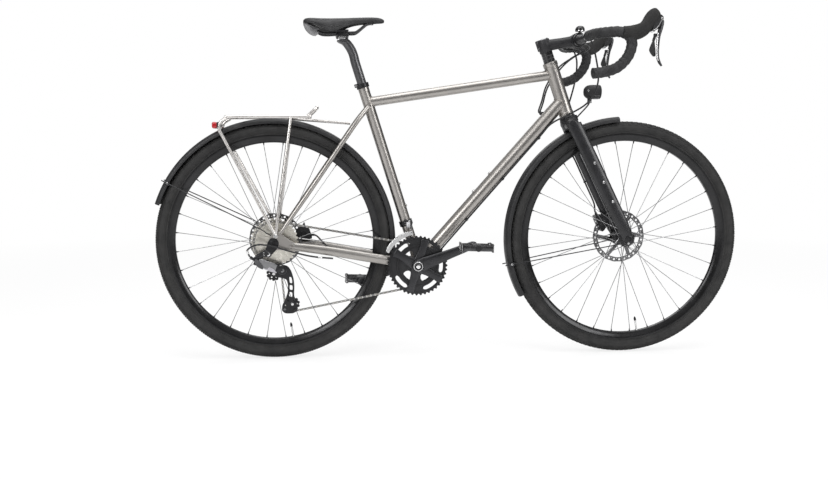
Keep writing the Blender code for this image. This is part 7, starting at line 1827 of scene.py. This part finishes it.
def make_levers():
    """Rubber hoods over the lever bodies, blades with bright strips, and shift paddles behind them."""
    for word, side in (("right", -1), ("left", 1)):
        y = side * LEVER_Y
        stations = [((0.966, 0.9365), 0.0146, 0.0152), ((0.978, 0.9345), 0.0172, 0.016),
            ((0.992, 0.9335), 0.02, 0.0164), ((1.006, 0.9352), 0.0206, 0.0164),
            ((1.019, 0.941), 0.0194, 0.016), ((1.028, 0.9488), 0.018, 0.0154),
            ((1.035, 0.958), 0.0178, 0.0152), ((1.041, 0.968), 0.0184, 0.0156),
            ((1.0475, 0.9762), 0.019, 0.016), ((1.054, 0.9828), 0.0182, 0.0154),
            ((1.059, 0.9875), 0.0156, 0.0132), ((1.0622, 0.9898), 0.011, 0.0096),
            ((1.064, 0.9912), 0.005, 0.0046)]
        path = smooth_path([vec(x, y, z) for (x, z), _, _ in stations], 4)
        sizes = smooth_sizes([(h, w) for _, h, w in stations], 4)
        hood = sweep(path, sizes, 36, up=Y, power=0.84)
        piece("hood_" + word, "steering", "rubber", [hood], "lever_body_" + word, angle=60.0)
        ribs = []
        for k in range(5):
            spot = path[9 + 2 * k]
            way = (path[10 + 2 * k] - path[8 + 2 * k]).normalized()
            wide = sizes[9 + 2 * k]
            over = facing(way.cross(Y).normalized(), Z)
            line = []
            for t in [radians(-50 + 10 * j) for j in range(11)]:
                aside = Y * (wide[1] * copysign(abs(sin(t)) ** 0.84, t))
                line.append(spot + over * (wide[0] * cos(t) ** 0.84 + 0.0001) + aside)
            ribs.append(sweep(line, 0.0006, 6))
        piece("hood_ribs_" + word, "steering", "rubber", ribs, angle=60.0)
        neck = rounded_loop([(1.044, 0.939), (1.052, 0.97), (1.066, 0.983), (1.076, 0.974),
            (1.07, 0.956), (1.056, 0.939)])
        neck = side_plate([neck], y - 0.011, y + 0.011)
        piece("lever_bracket_" + word, "steering", "black_plastic", [neck], bevel=0.0015,
            angle=40.0, segments=3)
        bright = [cylinder((1.071, y - 0.0122, 0.97), (1.071, y + 0.0122, 0.97), 0.0036, 24),
            cylinder((1.048, y - 0.0118, 0.9385), (1.048, y + 0.0118, 0.9385), 0.0042, 24)]
        arc = [(x, y + side * out, z) for x, out, z in ((1.071, 0.0116, 0.97), (1.0655, 0.0119, 0.96),
            (1.059, 0.0119, 0.949), (1.048, 0.0117, 0.9385))]
        bright.append(sweep(smooth_path(arc, 5), 0.0011, 8))
        piece("lever_pivot_" + word, "steering", "polished", bright, angle=34.0)
        blade = [(x, y + side * out, z) for x, out, z in ((1.069, 0.0, 0.974), (1.073, 0.0, 0.962),
            (1.07, 0.0, 0.944), (1.0655, 0.001, 0.925), (1.063, 0.0025, 0.904), (1.0615, 0.0045, 0.882),
            (1.0625, 0.0065, 0.864), (1.0665, 0.008, 0.852), (1.0725, 0.0088, 0.8425))]
        sizes = [(0.0045, 0.0052), (0.0068, 0.006), (0.0062, 0.0064), (0.0046, 0.0062), (0.004, 0.0058),
            (0.0037, 0.0054), (0.0036, 0.005), (0.0036, 0.0044), (0.0024, 0.003)]
        smooth = smooth_path(blade, 5)
        grown = smooth_sizes(sizes, 5)
        meshes = [sweep(smooth, grown, 28, up=Y, power=0.8),
            cylinder((1.064, y - 0.007, 0.971), (1.064, y + 0.007, 0.971), 0.004, 20)]
        lever = "brake_lever_" + word
        piece("lever_blade_" + word, lever, "crank_black", meshes, lever, angle=46.0)
        strip = [p + vec(-grown[i][0] * 0.8, -0.0036, 0.0) for i, p in enumerate(smooth)][13:34]
        piece("lever_strip_" + word, lever, "polished", [sweep(strip, 0.0013, 10)])
        wing = rounded_loop([(1.0525, 0.918), (1.0555, 0.893), (1.0575, 0.869), (1.0505, 0.8685),
            (1.0385, 0.8855), (1.046, 0.905)])
        wing = side_plate([wing], y + side * 0.001 - 0.0026, y + side * 0.001 + 0.0026)
        stem = smooth_path([(1.057, y, 0.93), (1.0545, y, 0.922), (1.051, y, 0.911)], 4)
        stalk = sweep(stem, [(0.0038, 0.004)] * len(stem), 16, up=Y)
        barrel = cylinder((1.052, y, 0.927), (1.0628, y, 0.927), 0.0042, 20)
        paddle = "shift_paddle_" + word
        piece("paddle_wing_" + word, paddle, "black_plastic", [wing, stalk, barrel], paddle, bevel=0.0009,
            angle=40.0, segments=3)


def make_bell():
    at = vec(BAR.x, -0.035, BAR.z)
    band = turned(mirrored([(0.0161, -0.005), (0.0186, -0.005), (0.019, -0.0044)]), at, Y, 48)
    foot = at + Z * 0.0176
    piece("bell_band", "steering", "black_alloy", [band,
        cylinder(foot, foot + Z * 0.0075, 0.0045, 28)], "bell", angle=30.0)
    dome_at = foot + Z * 0.006
    dome = turned([(0.0, 0.0006), (0.0128, 0.0006), (0.0136, 0.001), (0.0138, 0.0045), (0.0132, 0.008),
        (0.0116, 0.0115), (0.009, 0.014), (0.0055, 0.0156), (0.002, 0.0162), (0.0, 0.0162)], dome_at, Z, 48)
    piece("bell_dome", "steering", "gloss_black", [dome], angle=50.0)
    rim = turned([(0.0126, -0.0001), (0.0139, -0.0001), (0.014, 0.0006), (0.0138, 0.0014),
        (0.0126, 0.0014)], dome_at, Z, 48)
    knob = foot + vec(0.0, -0.015, 0.003)
    striker = [cylinder(foot + vec(0.0, -0.004, 0.003), knob, 0.001, 12),
        block(knob, (0.0046, 0.004, 0.005), 0.0, 0.0012, 3)]
    piece("bell_rim", "steering", "polished", [rim] + striker, angle=30.0)


def make_headlamp():
    ahead = vec(sin(HEAD_ANGLE), 0.0, cos(HEAD_ANGLE))
    pivot = vec(0.94, 0.0, 0.756)
    face = HEAD_LOW - STEER_UP * 0.015 + ahead * 0.0248
    foot = face + ahead * 0.002
    bends = [foot, foot + vec(0.008, 0.0, 0.009), pivot + vec(-0.006, 0.0, -0.012), pivot]
    strap = sweep(smooth_path(bends, 6), [(0.0019, 0.0055)] * 19, 20, up=Y, power=0.7)
    plate = block(face + ahead * 0.0015, (0.003, 0.014, 0.018), HEAD_ANGLE - pi / 2.0, 0.001)
    pin = cylinder(pivot - Y * 0.0067, pivot + Y * 0.0067, 0.003, 20)
    piece("lamp_bracket", "steering", "black_alloy", [strap, plate, pin], "headlamp_bracket", angle=40.0)
    piece("lamp_bracket_screw", "steering", "steel", [socket_screw(face + ahead * 0.0026, ahead, 0.004,
        0.0022, 0.0014)], angle=28.0)
    at = vec(0.948, 0.0, 0.785)
    body = turned([(0.0, -0.026), (0.006, -0.0255), (0.0115, -0.0238), (0.016, -0.0202), (0.0192, -0.015),
        (0.0207, -0.0085), (0.0212, 0.0), (0.0212, 0.0165), (0.0204, 0.0173), (0.0204, 0.0178),
        (0.0211, 0.0186), (0.0206, 0.0222), (0.019, 0.0236), (0.0176, 0.0236), (0.0168, 0.0205),
        (0.0, 0.0205)], at, X, 64)
    ears = [block(pivot + vec(0.0, side * 0.0085, 0.006), (0.008, 0.003, 0.02), 0.0, 0.001, 3)
        for side in (-1, 1)]
    fins = []
    for k in range(6):
        turns = [radians(-62 + 12.4 * j) for j in range(11)]
        line = [at + vec(0.004 + 0.0026 * k, 0.0211 * sin(t), -0.0211 * cos(t)) for t in turns]
        fins.append(sweep(line, 0.0007, 6))
    piece("lamp_body", "headlamp", "black_plastic", [body] + ears, "headlamp", angle=34.0)
    piece("lamp_fins", "headlamp", "dark_steel", fins, angle=60.0)
    lens = turned([(0.0, 0.0206), (0.0166, 0.0206), (0.017, 0.0218), (0.014, 0.023), (0.007, 0.0236),
        (0.0, 0.0238)], at, X, 48)
    piece("lamp_lens", "headlamp", "clear_lens", [lens], angle=40.0)
    bolt = [cylinder(pivot - Y * 0.0102, pivot + Y * 0.0102, 0.0019, 14),
        socket_screw(pivot - Y * 0.0098, -Y, 0.0032, 0.0018, 0.0012),
        socket_screw(at + vec(-0.0165, -0.0178, 0.003), (-0.35, -0.94, 0.0), 0.0024, 0.0012, 0.0008)]
    piece("lamp_bolts", "headlamp", "steel", bolt, angle=28.0)


# Brakes and hoses


def blade_line():
    """The ends of the left fork blade's middle line, the way down it, and the way out of its back."""
    path = blade_path(1)
    along = (path[-1] - path[0]).normalized()
    return path[0], path[-1], along, facing(vec(along.z, 0.0, -along.x).normalized(), -X)


def beside_blade(share, degrees):
    """The middle of a hose that lies round the left blade, at an angle from its outer face."""
    top, end, _, behind = blade_line()
    at = top.lerp(end, share)
    at.y = blade_y(share)
    angle = radians(degrees)
    depth = 0.018 * (1.0 - 0.3 * share) + 0.0041
    return at + Y * (0.0121 * cos(angle)) + behind * depth * sin(angle)


def front_caliper_place():
    """The front caliper's middle, and the way down the fork blade beside it."""
    top, end, along, behind = blade_line()
    at = top.lerp(end, 0.795) + behind * (0.018 * 0.74 + 0.0138)
    return vec(at.x, 0.042, at.z), vec(along.x, 0.0, along.z).normalized()


def make_caliper(word, body, at, turn, width, rotor_y, axle):
    """A caliper in two halves round the disc, with its pistons' caps, bolts, pad pin and hose joint."""
    lean = Matrix.Rotation(turn, 3, Y)

    def spot(along, y, over):
        return vec(at.x, y, at.z) + lean @ vec(along * 1.1, 0.0, over * 1.28 if over > 0.0 else over)

    outline = [(-0.0238, -0.013), (-0.0238, -0.001), (-0.019, 0.008), (-0.014, 0.016), (-0.006, 0.0185),
        (0.006, 0.018), (0.014, 0.013), (0.019, 0.003), (0.0238, -0.004), (0.0238, -0.013)]
    slot = 0.003
    inner, outer = at.y - width / 2.0, at.y + width / 2.0
    halves = []
    for low, high in ((inner, rotor_y - slot), (rotor_y + slot, outer)):
        corners = [spot(along, 0.0, over) for along, over in outline]
        halves.append(side_plate([rounded_loop([(p.x, p.z) for p in corners])], low, high))
    bridge = block(spot(-0.0195, at.y, -0.008), (0.0078, width - 0.002, 0.009), turn, 0.0016)
    piece("caliper_halves_" + word, body, "black_alloy", halves + [bridge], word + "_caliper", bevel=0.0014,
        angle=34.0, segments=3)
    caps, bolts = [], []
    for y, face, rim, foot in ((outer, 0.0022, 0.0016, -0.002), (inner, -0.0018, -0.0012, 0.002)):
        profile = [(0.0, face), (0.008, face), (0.0096, rim), (0.01, foot), (0.0, foot)]
        caps.append(turned(profile, spot(0.001, y, 0.001), Y, 36))
    for along in (-0.019, 0.019):
        bolts.append(cylinder(spot(along, outer - 0.007, -0.008),
            spot(along, outer - 0.007, -0.0138), 0.0042, 20))
        bolts.append(socket_screw(spot(along, outer - 0.007, -0.0034 if along > 0 else -0.0026), lean @ Z,
            0.0044, 0.0036, 0.0022))
    bolts.append(socket_screw(spot(0.013, outer, 0.0072), Y, 0.0028, 0.0018, 0.0012))
    bolts.append(cylinder(spot(-0.0085, inner + 0.0006, 0.0092),
        spot(-0.0085, outer + 0.0016, 0.0092), 0.0015, 14))
    for low, high, radius, count in ((0.017, 0.0225, 0.004, 20), (0.0225, 0.0262, 0.0024, 16)):
        caps.append(cylinder(spot(-0.002, at.y, low), spot(-0.002, at.y, high), radius, count))
    piece("caliper_caps_" + word, body, "black_alloy", caps, angle=34.0)
    piece("caliper_bolts_" + word, body, "polished", bolts, angle=28.0)
    out = vec(at.x - axle.x, 0.0, at.z - axle.z).normalized()
    angle = atan2(out.z, out.x)
    middle = axle + out * (0.08 - 0.007 + 0.0018)
    pads, backs = [], []
    for side in (-1, 1):
        y = rotor_y + side * 0.0014
        pads.append(block((middle.x, y + side * 0.0006, middle.z), (0.015, 0.0012, 0.0165), -angle, 0.0003))
        back = vec(middle.x, y + side * 0.0016, middle.z)
        backs.append(block(back + out * 0.002, (0.021, 0.0009, 0.0172), -angle, 0.0003))
        backs.append(block(back + out * 0.0165, (0.011, 0.0009, 0.006), -angle, 0.0003))
    top = axle + out * 0.0822
    spring = block((top.x, rotor_y, top.z), (0.0016, 0.0052, 0.009), -angle, 0.0004)
    piece("pad_faces_" + word, body, "dark_steel", pads, word + "_brake_pads")
    piece("pad_backs_" + word, body, "steel", backs + [spring])


def tube_along(route, radius=HOSE_R):
    """A hose through the points of a route, and its own points."""
    path = smooth_path(route, 8)
    return sweep(path, radius, 14), path


def sleeve(path, index, length, radius):
    """A short collar round a hose at one of its points."""
    low, high = path[max(index - 1, 0)], path[min(index + 1, len(path) - 1)]
    way = (high - low).normalized()
    half = length / 2.0
    profile = mirrored([(0.002, -half), (radius * 0.9, -half), (radius, -half + 0.0006)])
    return turned(profile, path[index], way, 24)


def make_hoses():
    start = TAPE_START - 0.0016
    x, z = BAR.x, BAR.z
    low = BB.z - DOWN_TUBE_R - HOSE_R - GAP - 0.0006
    stay_end = REAR_CALIPER + vec(0.0242, 0.0, -0.003)
    rear_route = [(x + 0.013, -start, z - 0.0078), (x + 0.015, -0.1, z - 0.011),
        (x + 0.035, -0.076, z - 0.048), (x + 0.05, -0.06, z - 0.113), (x + 0.043, -0.04, z - 0.16),
        (x + 0.018, -0.036, z - 0.19), (x - 0.026, -0.032, z - 0.216),
        beside_down_tube(0.885, -0.0165) + vec(0.002, -0.001, -0.001), beside_down_tube(0.8, -0.014),
        beside_down_tube(0.55, -0.0125), beside_down_tube(0.3, -0.011), beside_down_tube(0.09, -0.004),
        beside_down_tube(0.045, -0.001) + vec(0.0006, 0.0, -0.0006), (BB.x + 0.02, 0.002, BB.z - 0.02),
        (BB.x - 0.002, 0.01, low - 0.0002), (BB.x - 0.028, 0.022, low + 0.008),
        beside_stay(BB.x - 0.074, -90.0), beside_stay(BB.x - 0.149, -90.0), beside_stay(0.225, -62.0),
        beside_stay(0.19, -25.0), beside_stay(0.152, 15.0),
        stay_end + vec(0.016, -0.001, -0.005), stay_end + X * 0.0003]
    body, path = tube_along(rear_route)
    piece("rear_hose", "frame", "hose_rubber", [body], "rear_brake_hose", angle=60.0)
    piece("rear_hose_nut", "frame", "black_alloy", [sleeve(path, len(path) - 3, 0.009, 0.0036)], angle=30.0)
    way = (path[-1] - path[-4]).normalized()
    joint = turned([(0.0018, -0.0045), (0.003, -0.0045), (0.0034, -0.0038), (0.0034, 0.0008),
        (0.0018, 0.0012)], path[-1], way, 24)
    piece("rear_hose_joint", "frame", "steel", [joint], angle=30.0)
    caliper_at, down = front_caliper_place()
    top = vec(caliper_at.x, 0.0465, caliper_at.z) - down * 0.024
    front_route = [(x + 0.013, start, z - 0.0078), (x + 0.015, 0.1, z - 0.011), (x + 0.021, 0.07, z - 0.052),
        (x + 0.013, 0.054, z - 0.11), (x - 0.003, 0.05, z - 0.17), (x - 0.018, 0.05, z - 0.215),
        beside_blade(0.12, 62.0), beside_blade(0.3, 62.0), beside_blade(0.5, 65.0), beside_blade(0.64, 85.0),
        top - down * 0.014, top - down * 0.0003]
    body, path = tube_along(front_route)
    piece("front_hose", "steering", "hose_rubber", [body], "front_brake_hose", angle=60.0)
    piece("front_hose_nut", "steering", "black_alloy", [sleeve(path, len(path) - 3,
        0.009, 0.0036)], angle=30.0)
    clip = mirrored([(0.0024, -0.0025), (0.0036, -0.0025), (0.0039, -0.0018)])
    clips = [turned(clip, beside_blade(share, degrees), down, 24)
        for share, degrees in ((0.22, 62.0), (0.46, 64.0))]
    piece("fork_hose_clips", "steering", "black_plastic", clips, angle=30.0)
    down_low, down_top = down_tube_ends()
    outward = facing(Y.cross((down_top - down_low).normalized()), Z) * 0.7071 + Y * 0.7071
    port = down_low + (down_top - down_low) * 0.9 + outward * 0.022
    housings, caps = [], []
    behind = vec(-0.002, 0.0, 0.0026)
    for side, shift in ((-1, -behind), (1, behind)):
        route = [vec(x - 0.0052, side * start, z - 0.0141), vec(x - 0.002, side * 0.1, z - 0.016),
            vec(x + 0.026, side * 0.044, z - 0.027), vec(x - 0.006, 0.026 + side * 0.01, z - 0.048),
            vec(x - 0.042, 0.031, z - 0.078) + shift, vec(x - 0.078, 0.033, z - 0.13) + shift,
            vec(x - 0.093, 0.033, z - 0.18) + shift, port + outward * 0.015 + shift,
            port + outward * 0.0039 + shift * 0.9]
        body, path = tube_along(route, 0.00235)
        housings.append(body)
        caps.append(sleeve(path, len(path) - 4, 0.01, 0.0031))
    foot = port + outward * GAP
    housings.append(turned([(0.0, 0.0), (0.0072, 0.0), (0.007, 0.0016), (0.0058, 0.0036), (0.005, 0.005),
        (0.0, 0.0052)], foot, outward, 28))
    piece("shift_housing_pair", "frame", "hose_rubber", housings, "shift_housings", angle=60.0)
    piece("shift_housing_caps", "frame", "black_alloy", caps, angle=30.0)
    route = [REAR_AXLE + Vector(p) for p in ((0.17, -0.0655, -0.046), (0.11, -0.077, -0.038),
        (0.05, -0.0885, -0.022), (0.0, -0.096, -0.006), (-0.045, -0.098, 0.0), (-0.074, -0.093, -0.015))]
    body, path = tube_along(route + [RD_REAR + vec(-0.019, 0.0, 0.0128)])
    piece("rear_housing", "frame", "hose_rubber", [body], "rear_shift_housing", angle=60.0)
    ends = [sleeve(path, 5, 0.011, 0.0033), sleeve(path, len(path) - 6, 0.011, 0.0033)]
    piece("rear_housing_ends", "frame", "steel", ends, angle=30.0)


def make_brakes():
    make_caliper("rear", "frame", REAR_CALIPER, radians(7.0), 0.03, REAR_ROTOR_Y, REAR_AXLE)
    at, down = front_caliper_place()
    make_caliper("front", "steering", at, atan2(-down.z, down.x), 0.033, FRONT_ROTOR_Y, FRONT_AXLE)


def main():
    make_materials()
    make_camera()
    make_stage()
    make_wheels()
    make_frame()
    make_fork()
    make_mudguards()
    make_rack()
    make_chain()
    make_cassette()
    make_chainrings()
    make_cranks()
    make_pedals()
    make_rear_derailleur()
    make_front_derailleur()
    make_saddle()
    make_seatpost()
    make_stem()
    make_bars()
    make_levers()
    make_bell()
    make_headlamp()
    make_brakes()
    make_hoses()


main()
bpy.context.scene.view_settings.view_transform = "Standard"
